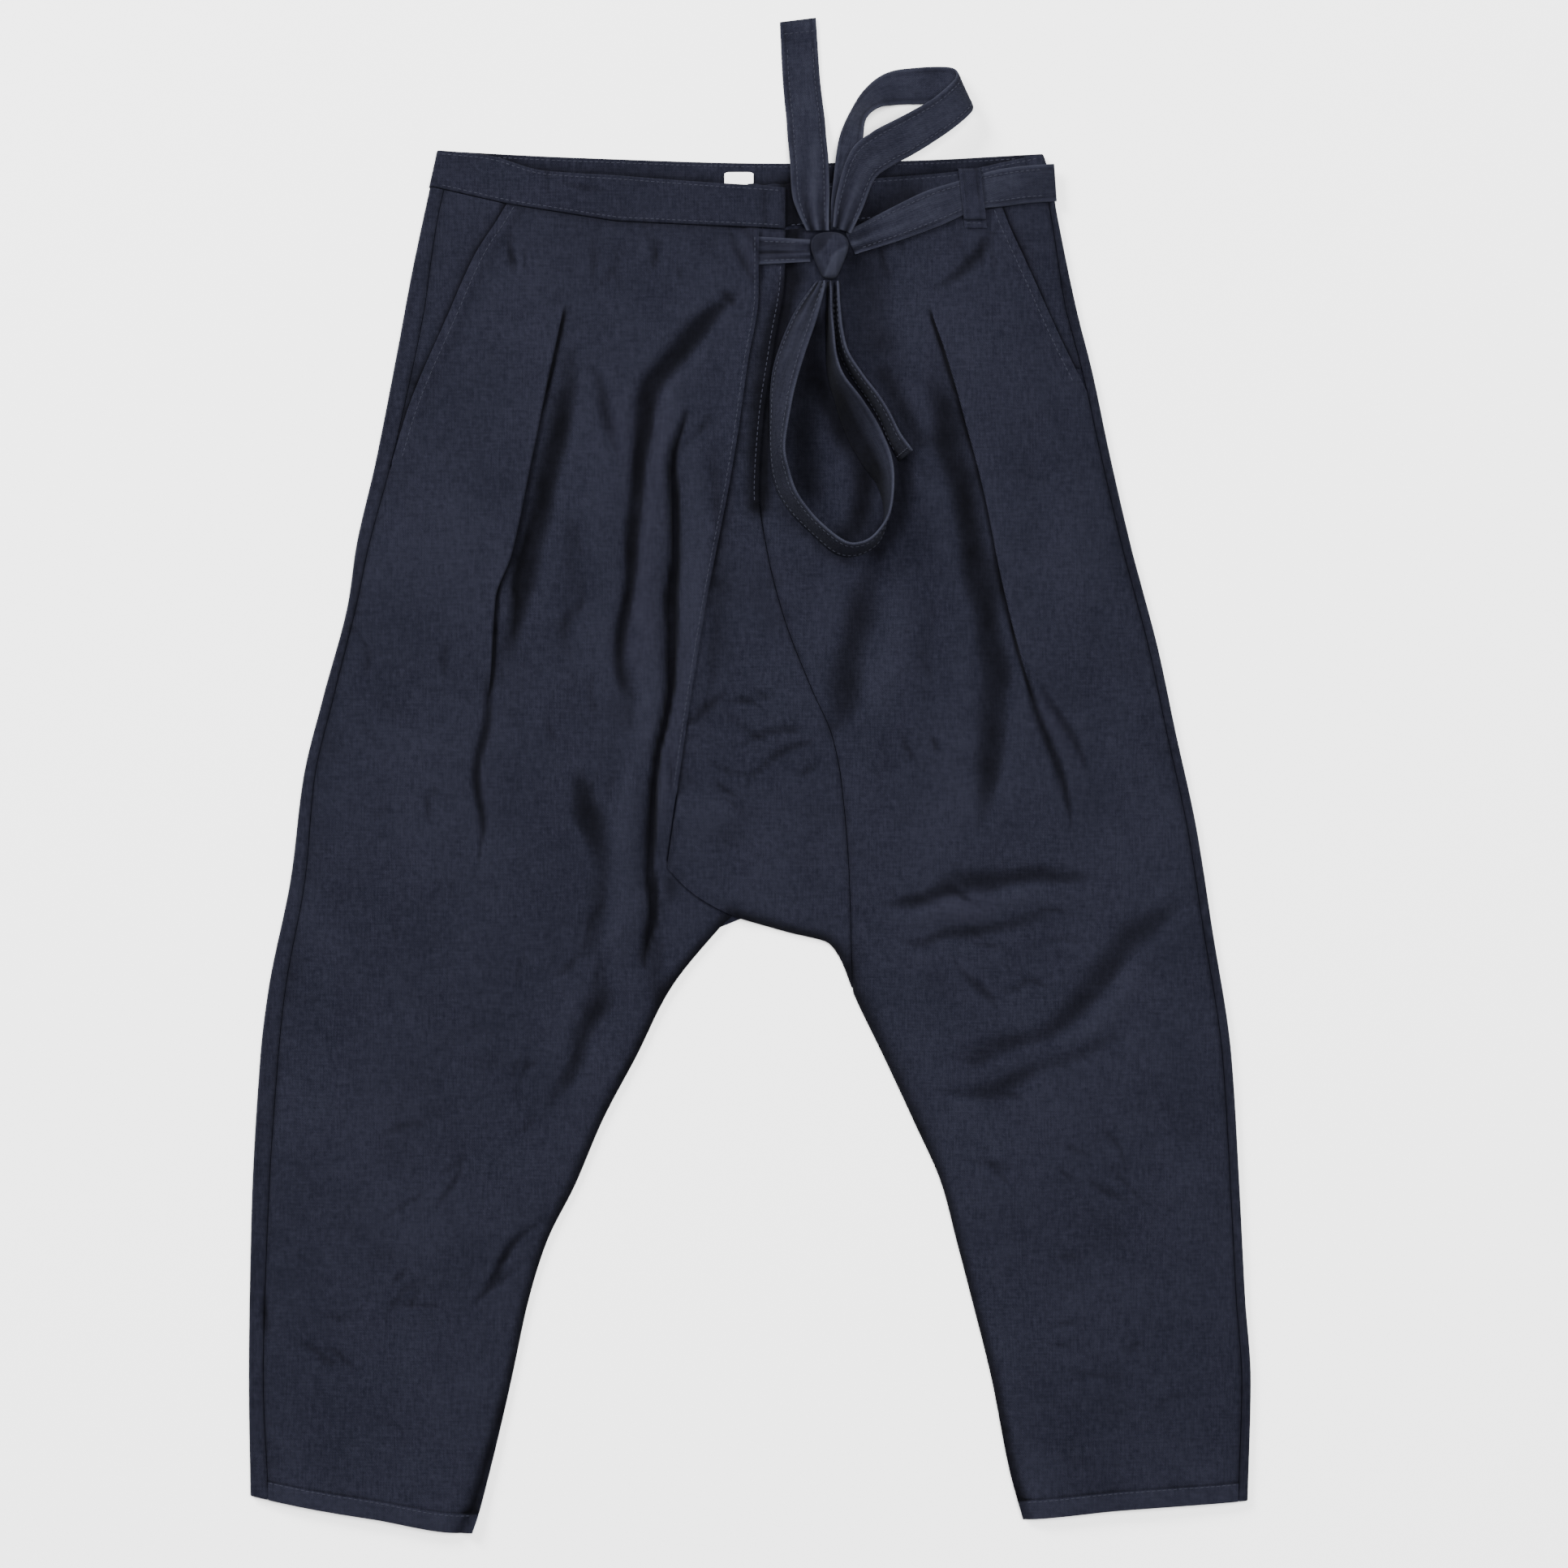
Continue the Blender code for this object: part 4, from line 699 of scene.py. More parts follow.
@dataclass
class Grid:
    """A grid of places on a cloth's middle surface, a row for each section.

    A section runs so that its left-hand side is the upper face.
    """

    across: np.ndarray
    down: np.ndarray
    height: np.ndarray
    upright: np.ndarray = None
    extra: np.ndarray = None
    relief: np.ndarray = None

    def __post_init__(self) -> None:
        """Fill in the parts that weren't given."""
        if self.upright is None:
            self.upright = np.zeros(self.across.shape, bool)
        if self.extra is None:
            self.extra = np.zeros(self.across.shape)
        if self.relief is None:
            self.relief = np.zeros(self.across.shape)

    def shell(self, thickness: float) -> tuple:
        """Move the middle surface out both ways, square to its sections, with rounded edges.

        Args:
            thickness: the cloth's thickness.

        Returns:
            The upper and the lower points, in metres.
        """
        steps = np.stack([np.diff(self.across, axis=1), np.diff(self.height, axis=1)], axis=-1)
        steps /= np.maximum(np.linalg.norm(steps, axis=-1, keepdims=True), 1e-9)
        along = np.concatenate([steps[:, :1], steps[:, :-1] + steps[:, 1:], steps[:, -1:]], axis=1)
        along /= np.maximum(np.linalg.norm(along, axis=-1, keepdims=True), 1e-9)
        out_across, out_height = -along[..., 1], along[..., 0].copy()
        plumb = (np.abs(self.height - thickness / 2) < FLAT_TOLERANCE) | self.upright
        out_across[plumb] = 0
        out_height[plumb] = np.sign(out_height[plumb])
        half = thickness / 2 * self.rounding()
        above = self.height + out_height * (half + self.extra)
        upper = placed(self.across + out_across * half, self.down, above)
        lower = placed(self.across - out_across * half, self.down, self.height - out_height * half)
        return upper, lower

    def rounding(self) -> np.ndarray:
        """Return how full the thickness is by distance from the grid's edges.

        Returns:
            A share for each place, smaller at the very edge.
        """
        walk = np.hypot(np.diff(self.across, axis=1), np.diff(self.height, axis=1))
        far = np.concatenate([np.zeros((len(walk), 1)), np.cumsum(walk, axis=1)], axis=1)
        side = np.minimum(far, far[:, -1:] - far)
        fall = np.abs(np.diff(self.down, axis=0))
        deep = np.concatenate([np.zeros((1, fall.shape[1])), np.cumsum(fall, axis=0)], axis=0)
        end = np.minimum(deep, deep[-1:] - deep)
        near = np.clip(np.minimum(side, end) / EDGE_ROUND, 0, 1)
        return 0.45 + 0.55 * np.sqrt(1 - (1 - near) ** 2)


class MeshMaker:
    """Makes closed meshes out of grids of upper and lower points."""

    @staticmethod
    def quads(rows: int, columns: int) -> np.ndarray:
        """Return the faces of a closed wall between two grids.

        Args:
            rows: the number of rows in each grid.
            columns: the number of columns in each grid.

        Returns:
            Four vertex numbers for each face.
        """
        index = np.arange(rows * columns).reshape(rows, columns)
        a, b, c, d = index[:-1, :-1], index[1:, :-1], index[1:, 1:], index[:-1, 1:]
        top = np.stack([a, b, c, d], axis=-1).reshape(-1, 4)
        under = rows * columns
        bottom = top[:, ::-1] + under
        rim = np.concatenate([index[0, :-1], index[:-1, -1], index[-1, :0:-1], index[:0:-1, 0]])
        after = np.roll(rim, -1)
        edge = np.stack([rim, after, after + under, rim + under], axis=-1)
        return np.concatenate([top, bottom, edge])

    @staticmethod
    def mesh(name: str, vertices: np.ndarray, faces: Sequence, sharp: bool = True) -> bpy.types.Object:
        """Make an object with smooth faces.

        Args:
            name: the object's name.
            vertices: x, y, z rows in metres.
            faces: vertex numbers for each face.
            sharp: whether its corners stay sharp.

        Returns:
            The new object.
        """
        data = bpy.data.meshes.new(name)
        corners = faces if isinstance(faces, list) else faces.tolist()
        data.from_pydata(vertices.reshape(-1, 3).tolist(), [], corners)
        data.update()
        data.shade_smooth()
        if sharp:
            data.set_sharp_from_angle(angle=math.radians(55))
        item = bpy.data.objects.new(name, data)
        bpy.context.scene.collection.objects.link(item)
        return item

    @staticmethod
    def paint(item: bpy.types.Object, name: str, values: np.ndarray) -> None:
        """Store one number for each vertex of an object."""
        attribute = item.data.attributes.new(name, "FLOAT", "POINT")
        attribute.data.foreach_set("value", np.asarray(values, np.float32).reshape(-1))

    @staticmethod
    def map_cloth(item: bpy.types.Object, places: np.ndarray) -> None:
        """Store where each vertex lies on the flat cloth, in metres, as a texture map.

        Args:
            item: the object.
            places: two numbers for each vertex.
        """
        layer = item.data.uv_layers.new(name="cloth")
        corners = np.empty(len(item.data.loops), np.int32)
        item.data.loops.foreach_get("vertex_index", corners)
        layer.data.foreach_set("uv", np.asarray(places.reshape(-1, 2)[corners], np.float32).reshape(-1))

    @classmethod
    def from_grid(cls, name: str, grid: Grid, thickness: float) -> bpy.types.Object:
        """Make one closed cloth piece.

        Args:
            name: the object's name.
            grid: the cloth's middle surface.
            thickness: the cloth's thickness.

        Returns:
            The new object.
        """
        upper, lower = grid.shell(thickness)
        item = cls.mesh(name, np.concatenate([upper.reshape(-1, 3), lower.reshape(-1, 3)]),
                        cls.quads(*grid.across.shape))
        cls.paint(item, "relief", np.tile(grid.relief.reshape(-1), 2))
        flat = np.stack([grid.across, -grid.down], axis=-1).reshape(-1, 2) * MM
        cls.map_cloth(item, np.concatenate([flat, flat]))
        return item


def refine(guides: np.ndarray, counts: Sequence[int]) -> np.ndarray:
    """Put rounded extra columns between guide columns."""
    steps = [k + np.arange(count) / count for k, count in enumerate(counts)]
    return Curve(list(enumerate(guides)))(np.concatenate([*steps, [len(counts)]]))


def spread(columns: np.ndarray, first: int, last: int, least: float) -> None:
    """Push the columns between two kept ones apart, in place, where they crowd.

    Args:
        columns: the columns' places.
        first: the first kept column.
        last: the last kept column.
        least: the smallest gap to leave.
    """
    least = min(least, (columns[last] - columns[first]) / (last - first) * 0.8)
    for j in range(first + 1, last):
        columns[j] = max(columns[j], columns[j - 1] + least)
    for j in range(last - 1, first, -1):
        columns[j] = min(columns[j], columns[j + 1] - least)


def pleat_section(pleat: Pleat, level: float) -> tuple:
    """Return the across offsets and the lifts of a pleat's nine columns at one level.

    Args:
        pleat: the pleat.
        level: the level.

    Returns:
        The offsets from the pleat's edge and the heights over the cloth.
    """
    opening = float(pleat.opens(level))
    depth = pleat.depth
    folded = np.array([-depth - 10, -depth - 2, -1.2, 0, -1.2, 1.2 - depth, -depth, 1.2 - depth, 2])
    if opening <= 1:
        offsets, heights = STEP_ACROSS, STEP_HEIGHT * opening
    else:
        offsets = mix(STEP_ACROSS, folded, opening - 1)
        heights = mix(STEP_HEIGHT, FOLD_HEIGHT, opening - 1)
    if pleat.sign < 0:
        return -offsets[::-1], heights[::-1]
    return offsets, heights


def lap_lift(distance: Values, lap: float) -> Values:
    """Return the lift of a piece that lies over its neighbour."""
    return LIFT * (1 - ramp(distance, lap + 1, lap + 1 + LAP_EASE))


def fine_levels(step: float = ROW_STEP) -> np.ndarray:
    """Return the levels of a leg's rows, closer at the hem's upper edge.

    Args:
        step: the usual distance between levels.

    Returns:
        The levels from the top seam to the hem.
    """
    plain = np.linspace(FIRST_LEVEL, LAST_LEVEL, int((LAST_LEVEL - FIRST_LEVEL) / step))
    keen = [FIRST_LEVEL + 0.4, FIRST_LEVEL + 1, HEM_LEVEL - 1, HEM_LEVEL - 0.4, HEM_LEVEL, HEM_LEVEL + 0.4,
            HEM_LEVEL + 1, LAST_LEVEL - 1, LAST_LEVEL - 0.4]
    levels = np.unique(np.concatenate([plain, keen]))
    return levels[np.concatenate([[True], np.diff(levels) > 0.3])]


def down_line(curve: Curve, start: float, end: float) -> np.ndarray:
    """Return the line that a curve draws down the trousers.

    Args:
        curve: the place across by the place down.
        start: where it starts, down.
        end: where it ends, down.

    Returns:
        (down, across) points.
    """
    levels = np.linspace(start, end, 24)
    across = curve(levels)
    return np.stack([level_down(levels, across), across], axis=-1)


def top_edge(curve: Curve, start: float, end: float, count: int = 24) -> np.ndarray:
    """Return the line that a curve draws across the trousers."""
    across = np.linspace(start, end, count)
    return np.stack([curve(across), across], axis=-1)


def top_seam(start: float, end: float) -> np.ndarray:
    """Return the seam below the front waistband."""
    return top_edge(FRONT_TOP, start, end)


class Piece:
    """One sewn piece that stands for one node of the same name.

    Its shades are dark seam lines and painted shade: (down, across) paths with a reach and strength each.
    """

    name: str = ""
    slot: Slot = Slot.TWILL
    thickness: float = CLOTH
    held: str = "laid"
    shades: tuple = ()

    def __init__(self, cloth: HeightField) -> None:
        """Keep the shared cloth surface."""
        self.cloth = cloth

    def grid(self) -> Grid:
        """Return the piece's middle surface."""
        raise NotImplementedError

    def relief(self, across: np.ndarray, down: np.ndarray) -> np.ndarray:
        """Return how far each place stands out, less the piece's shades: darker seam lines and painted
        shade.

        Args:
            across: the places across.
            down: the places down.

        Returns:
            About -1 in a hollow and 1 on a ridge.
        """
        across, down = np.broadcast_arrays(across, down)
        relief = self.cloth.relief(across, down)
        # Darker seam lines, and painted shade beside the edges that lie over the piece.
        for path, reach, strength in self.shades:
            near = self.cloth.close_to(path, 5 * reach, across, down)
            distance = path_distance(down[near], across[near], path)[0]
            relief[near] -= strength * np.exp(-distance / reach)
        return np.clip(relief, -1, 1)

    def build(self) -> bpy.types.Object:
        """Make the object."""
        return MeshMaker.from_grid(self.name, self.grid(), self.thickness)

    def make(self, finishes: dict) -> bpy.types.Object:
        """Make the piece, give it its finish and place it in the frame.

        Args:
            finishes: the material for each slot.

        Returns:
            The new object.
        """
        item = self.build()
        item.name = f"look_{self.name}"
        item.data.materials.append(finishes[self.slot])
        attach(item, BODY)
        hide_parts(self.name)
        return item


class FrontLeg(Piece):
    """A front leg with its long pressed pleat."""

    pleat: Pleat
    pleat_at: int
    counts: tuple
    SHADE = 0.4
    SHADE_REACH = 14.0
    LINE = 1.4
    LINE_REACH = 2.2
    PLEAT_TOP = 3
    PLEAT_RUN = (335, 368)
    HEM_PALE = 0.5
    HEM_DARK = 0.6

    def row(self, level: float) -> tuple:
        """Return a level's guide columns, its pleat lifts and how evenly its columns are spread."""
        raise NotImplementedError

    def adjust(self, level: np.ndarray, across: np.ndarray, height: np.ndarray) -> np.ndarray:
        """Return the heights with the piece's own laps added."""
        raise NotImplementedError

    def grid(self) -> Grid:
        """Return the leg's middle surface.

        Returns:
            The grid.
        """
        levels = fine_levels()
        rows, lifts = [], []
        start = sum(self.counts[:self.pleat_at])
        end = sum(self.counts[:self.pleat_at + 8])
        for level in levels:
            guides, raised, share = self.row(float(level))
            fine = refine(guides, self.counts)
            even = np.linspace(fine[0], fine[-1], len(fine))
            rows.append(mix(fine, even, share))
            lifts.append(self.lift_row(fine, raised, start, end))
        across, level = np.array(rows), levels[:, None]
        down = level_down(level, across)
        height = self.cloth(across, down)
        ends_across, ends_height = across[:, [start, end]], height[:, [start, end]]
        zone = slice(start, end + 1)
        u = np.clip((across[:, zone] - ends_across[:, :1]) / np.diff(ends_across, axis=1), 0, 1)
        straight = mix(ends_height[:, :1], ends_height[:, 1:], u)
        height[:, zone] = mix(straight, height[:, zone], ramp(level, *self.PLEAT_RUN))
        height = self.adjust(level, across, height + np.array(lifts))
        upright = np.zeros(across.shape, bool)
        upright[:, :self.counts[0] + 1] = True
        upright[:, -self.counts[-1] - 1:] = True
        in_hem = ramp(level, HEM_LEVEL - 0.5, HEM_LEVEL + 0.5)
        hem_line = np.exp(-np.abs(level - HEM_LEVEL + 1))
        relief = np.clip(self.relief(across, down) - self.pleat_shade(level, across), -1, 1)
        relief = relief + self.HEM_PALE * in_hem - self.HEM_DARK * hem_line
        extra = np.broadcast_to(HEM_EXTRA * in_hem, across.shape)
        return Grid(across, down, height, upright, extra, relief)

    def pleat_shade(self, level: np.ndarray, across: np.ndarray) -> np.ndarray:
        """Return how dark the cloth is under the pleat's edge: a crisp line and a soft shadow.

        Args:
            level: a column of levels.
            across: the places across.

        Returns:
            A shade for each place.
        """
        column = np.arange(across.shape[1])[None, :]
        if self.pleat.sign > 0:
            under = column > sum(self.counts[:self.pleat_at + self.PLEAT_TOP])
        else:
            under = column < sum(self.counts[:self.pleat_at + 8 - self.PLEAT_TOP])
        far = np.maximum((across - self.pleat.edge(level)) * self.pleat.sign, 0)
        opens = self.pleat.opens(level)
        soft = self.SHADE * np.clip(opens, 0, 1) * np.exp(-far / self.SHADE_REACH)
        crisp = self.LINE * np.clip(3 * opens, 0, 1) * np.exp(-(far / self.LINE_REACH) ** 2)
        return np.where(under, soft + crisp, 0)

    def lift_row(self, fine: np.ndarray, raised: np.ndarray, start: int, end: int) -> np.ndarray:
        """Return a row's lift: the pleat's own layers, and the cloth that rises evenly towards it.

        Args:
            fine: the row's places across.
            raised: the lifts of the pleat's nine guide columns.
            start: the pleat's first fine column.
            end: the pleat's last fine column.

        Returns:
            A lift for each place.
        """
        lifts = np.zeros(len(fine))
        lifts[start:end + 1] = refine(raised, self.counts[self.pleat_at:self.pleat_at + 8])
        if self.pleat.sign > 0:
            near, far, rising = fine[start], fine[self.counts[0] + 1], slice(0, start)
            top = raised[0]
        else:
            near, far, rising = fine[end], fine[-self.counts[-1] - 2], slice(end + 1, len(fine))
            top = raised[-1]
        lifts[rising] = top * np.clip((fine[rising] - far) / (near - far), 0, 1)
        return lifts


class FrontRight(FrontLeg):
    """The right front leg: it lies over the pocket piece and the placket, and tucks under the flap."""

    name = "front_right"
    pleat = RIGHT_PLEAT
    pleat_at = 5
    counts = (4, 1, 8, 8, 8, 5, 5, 4, 4, 4, 4, 4, 5, 7, 7, 7, 7, 4, 4, 4, 3, 3, 3, 3, 5, 5, 1, 4)
    POCKET_END = 212.0
    shades = ((top_seam(-205, 20), 1.6, 0.6), (down_line(RIGHT_SEAM, 212, 890), 1.4, 0.6),
              (down_line(PLACKET, 430, 474), 1.6, 0.7))

    def row(self, level: float) -> tuple:
        """Return a level's guide columns, its pleat lifts and how evenly its columns are spread.

        Args:
            level: the level.

        Returns:
            The guides, the lifts and the share of even spacing.
        """
        pocket = level < self.POCKET_END
        outer = float(POCKET_RIGHT(level)) if pocket else float(RIGHT_SEAM(level)) + SEAM_GAP
        inner = self.inner_edge(level)
        offsets, lifts = pleat_section(self.pleat, level)
        folds = list(float(self.pleat.edge(level)) + offsets)
        trough, slit = float(TROUGH_GUIDE(level)), float(SLIT_GUIDE(level))
        guides = [outer, outer + 6, outer + 7] + between(outer + 7, folds[0], 2) + folds
        guides += between(folds[-1], trough - 7, 3) + [trough - 7, trough, trough + 7]
        guides += [(trough + slit) / 2 + 1, slit - 5, slit - 1.5, slit + 1.5, slit + 5]
        guides += [(slit + 5 + inner - 4) / 2, inner - 4, inner - 3, inner]
        columns = np.array(guides)
        spread(columns, self.pleat_at + 8, len(columns) - 3, 1.2)
        return columns, lifts, float(ramp(level, 550, 720))

    @staticmethod
    def inner_edge(level: float) -> float:
        """Return where the leg's inner edge is.

        Args:
            level: the level.

        Returns:
            The place across.
        """
        if level <= 474:
            return float(PLACKET(level)) - SEAM_GAP * float(ramp(level, 425, 435))
        if level < 516:
            return float(EAR_LINE(level))
        return float(INSEAM_RIGHT(level))

    def adjust(self, level: np.ndarray, across: np.ndarray, height: np.ndarray) -> np.ndarray:
        """Return the heights with the pocket lap, the placket lap and the ear under the flap.

        Args:
            level: a column of levels.
            across: the places across.
            height: the shared heights.

        Returns:
            The new heights.
        """
        outer, inner = across[:, :1], across[:, -1:]
        height = height + lap_lift(across - outer, POCKET_LAP) * (1 - ramp(level, 205, 236))
        lift = SLIT_LIFT(level) * (1 - ramp(level, 432, 454))
        height = height + lap_lift(inner - across, PLACKET_LAP) / LIFT * lift
        ear = ramp(across, float(PLACKET(474)) - 16, float(PLACKET(474)) - 2) * ramp(level, 454, 474)
        return mix(height, np.minimum(height, EAR_MID), ear * (1 - ramp(level, 522, 560)))


class FrontLeft(FrontLeg):
    """The left front leg: its inner strip dips under the wrap edge and its pocket edge is on top."""

    name = "front_left"
    pleat = LEFT_PLEAT
    pleat_at = 9
    counts = (5, 1, 9, 9, 9, 4, 4, 4, 4, 5, 4, 4, 4, 4, 4, 5, 5, 9, 9, 9, 1, 4)
    POCKET_END = 160.0
    # Darker seam lines, and painted shade beside the wrap's edge, which lies over the leg.
    shades = ((top_seam(12, 195), 1.6, 0.6), (down_line(LEFT_SEAM, 162, 890), 1.4, 0.6),
              (down_line(WRAP, 52, 236), 3.2, 0.9), (down_line(WRAP, 236, 556), 1.5, 0.6))

    def row(self, level: float) -> tuple:
        """Return a level's guide columns, its pleat lifts and how evenly its columns are spread.

        Args:
            level: the level.

        Returns:
            The guides, the lifts and the share of even spacing.
        """
        pocket = level < self.POCKET_END
        outer = float(POCKET_LEFT(level)) if pocket else float(LEFT_SEAM(level)) - SEAM_GAP
        lap = mix(WRAP_LAP, -SEAM_GAP, float(ramp(level, 215, 236)))
        edge_line = self.wrap_edge(level)
        inner = edge_line - lap
        offsets, lifts = pleat_section(self.pleat, level)
        folds = list(float(self.pleat.edge(level)) + offsets)
        recess = min(float(RECESS_GUIDE(level)), folds[0] - 9)
        lap_line = edge_line + 1.2 * float(ramp(level, 215, 236))
        guides = [inner, lap_line, lap_line + 1] + between(lap_line + 1, recess - 8, 2)
        guides += [recess - 8, recess, recess + 8, (recess + 8 + folds[0]) / 2] + folds
        guides += between(folds[-1], outer - 7, 2) + [outer - 7, outer - 6, outer]
        columns = np.array(guides)
        spread(columns, 2, self.pleat_at, 1.2)
        return columns, lifts, float(ramp(level, 440, 500))

    @staticmethod
    def wrap_edge(level: float) -> float:
        """Return where the wrap's edge is, and below it the inseam."""
        return float(WRAP(level)) if level < 559 else float(INSEAM_LEFT(level)) - SEAM_GAP

    def adjust(self, level: np.ndarray, across: np.ndarray, height: np.ndarray) -> np.ndarray:
        """Return the heights with the pocket lap and the dip under the wrap.

        Args:
            level: a column of levels.
            across: the places across.
            height: the shared heights.

        Returns:
            The new heights.
        """
        outer = across[:, -1:]
        height = height + lap_lift(outer - across, POCKET_LAP) * (1 - ramp(level, 150, 192))
        edge = np.array([self.wrap_edge(float(one)) for one in level[:, 0]])[:, None]
        dip = LIFT * (1 - ramp(across - edge, 1, 1 + LAP_EASE))
        height = height - dip * (1 - ramp(level, 236, 262))
        return np.maximum(height, FLOOR_MID)


class FrontCentre(Piece):
    """The middle front: a placket strip above that widens to the dropped crotch below."""

    name = "front_centre"
    counts = (4, 4, 4, 4, 4, 4, 4, 4, 4)
    # Painted shade beside the right leg's edge, which laps over the placket, and a darker seam line.
    shades = ((down_line(PLACKET, 56, 474), 2.4, 0.8), (down_line(WRAP, 236, 556), 1.3, 0.5))
    STRAIGHT = 390.0
    CROTCH_ROWS = 50

    def grid(self) -> Grid:
        """Return the middle front's middle surface.

        Returns:
            The grid.
        """
        levels = np.linspace(FIRST_LEVEL, self.STRAIGHT, 120)
        rows, downs = [], []
        for level in levels:
            columns = refine(self.strip(float(level)), self.counts)
            rows.append(columns)
            downs.append(level_down(float(level), columns))
        for k in range(1, self.CROTCH_ROWS + 1):
            columns, down = self.crotch_row(k / self.CROTCH_ROWS)
            rows.append(columns)
            downs.append(down)
        across, down = np.array(rows), np.array(downs)
        height = self.cloth(across, down)
        flap = ramp(down, CROTCH_LINE(across) - 34, CROTCH_LINE(across) - 12) * (1 - ramp(across, -12, 6))
        height = mix(height, np.maximum(height, FLAP_MID), flap)
        upright = np.zeros(across.shape, bool)
        upright[:, :self.counts[0] + 1] = True
        upright[:, -1] = True
        return Grid(across, down, height, upright, relief=self.relief(across, down))

    def strip(self, level: float) -> np.ndarray:
        """Return the guide columns of a level above the crotch.

        Args:
            level: the level.

        Returns:
            The places across.
        """
        seam, wrap = float(PLACKET(level)), float(WRAP(level))
        strip = [seam - PLACKET_LAP, seam] + between(seam, wrap - WRAP_LAP, 2) + [wrap - WRAP_LAP]
        strip += between(wrap - WRAP_LAP, wrap, 4) + [wrap]
        even = [mix(seam - PLACKET_LAP, wrap, u) for u in CENTRE_COLUMNS]
        even[1] = seam
        return mix(np.array(strip), np.array(even), float(ramp(level, 240, 340)))

    def crotch_row(self, share: float) -> tuple:
        """Return a row between the last straight level and the crotch curve.

        Args:
            share: 0 at the straight level and 1 at the crotch curve.

        Returns:
            The places across and down.
        """
        start = self.STRAIGHT
        guides = np.array([mix(PLACKET(start), WRAP(start), u) for u in CENTRE_COLUMNS], float)
        for _ in range(14):
            down = start + share * (CROTCH_LINE(guides) - start)
            lap = mix(PLACKET_LAP, -SEAM_GAP, ramp(down[0], 412, 432))
            guides = mix(PLACKET(down) - lap, WRAP(down), np.array(CENTRE_COLUMNS))
            guides[1] = max(float(PLACKET(down[1])), guides[0] + 3)
        columns = refine(guides, self.counts)
        return columns, start + share * (CROTCH_LINE(columns) - start)


def turned_row(side: int, edge: float, start: float, low_mid: float, top_mid: float, count: int) -> list:
    """Return a section from a start out along the surface and round the side edge.

    Args:
        side: -1 for the wearer's right and 1 for the left.
        edge: the outermost place across.
        start: where the section starts.
        low_mid: the height of the part that lies on the surface.
        top_mid: the height at the end of the turn.
        count: how many columns to put between the start and the turn.

    Returns:
        (across, height) points.
    """
    turn_at = edge - side * (low_mid + TURN_RADIUS)
    points = [(start, low_mid)] + [(place, low_mid) for place in between(start, turn_at, count)]
    rise = (top_mid - low_mid) / 2
    for angle in np.linspace(-90, 90, 13):
        a = math.radians(float(angle))
        points.append((turn_at + side * TURN_RADIUS * math.cos(a), low_mid + rise * (1 + math.sin(a))))
    return points


def band_shares(count: int) -> np.ndarray:
    """Return a waistband's rows as shares of its width, closer at both edges."""
    near = np.array([0, 0.02, 0.05])
    return np.concatenate([near, np.linspace(0.1, 0.9, count), 1 - near[::-1]])


class SidedPiece(Piece):
    """A piece that is made once for each side."""

    names: tuple = ("", "")

    def __init__(self, cloth: HeightField, side: int) -> None:
        """Choose the side.

        Args:
            cloth: the height field.
            side: -1 for the wearer's right and 1 for the left.
        """
        super().__init__(cloth)
        self.side = side
        self.name = self.pick(*self.names)
        self.edge_curve = self.pick(RIGHT_EDGE, LEFT_EDGE)
        self.seam_curve = self.pick(RIGHT_SEAM, LEFT_SEAM)

    def pick(self, right: Any, left: Any) -> Any:
        """Return the first value for the wearer's right side and the second for the left."""
        return right if self.side < 0 else left

    def turned_grid(self, rows: list, shown_from: float) -> Grid:
        """Make the grid of a piece that turns round the side edge.

        Args:
            rows: the places across, the places down and the heights of each row.
            shown_from: the height from which its face can be seen.

        Returns:
            The grid.
        """
        order = self.pick(slice(None, None, -1), slice(None))
        across, down, height = (np.array(one)[:, order] for one in zip(*rows))
        upright = np.zeros(across.shape, bool)
        upright[:, [0, -1]] = True
        relief = np.where(height > shown_from, self.relief(across, down), 0)
        return Grid(across, down, height, upright, relief=relief)


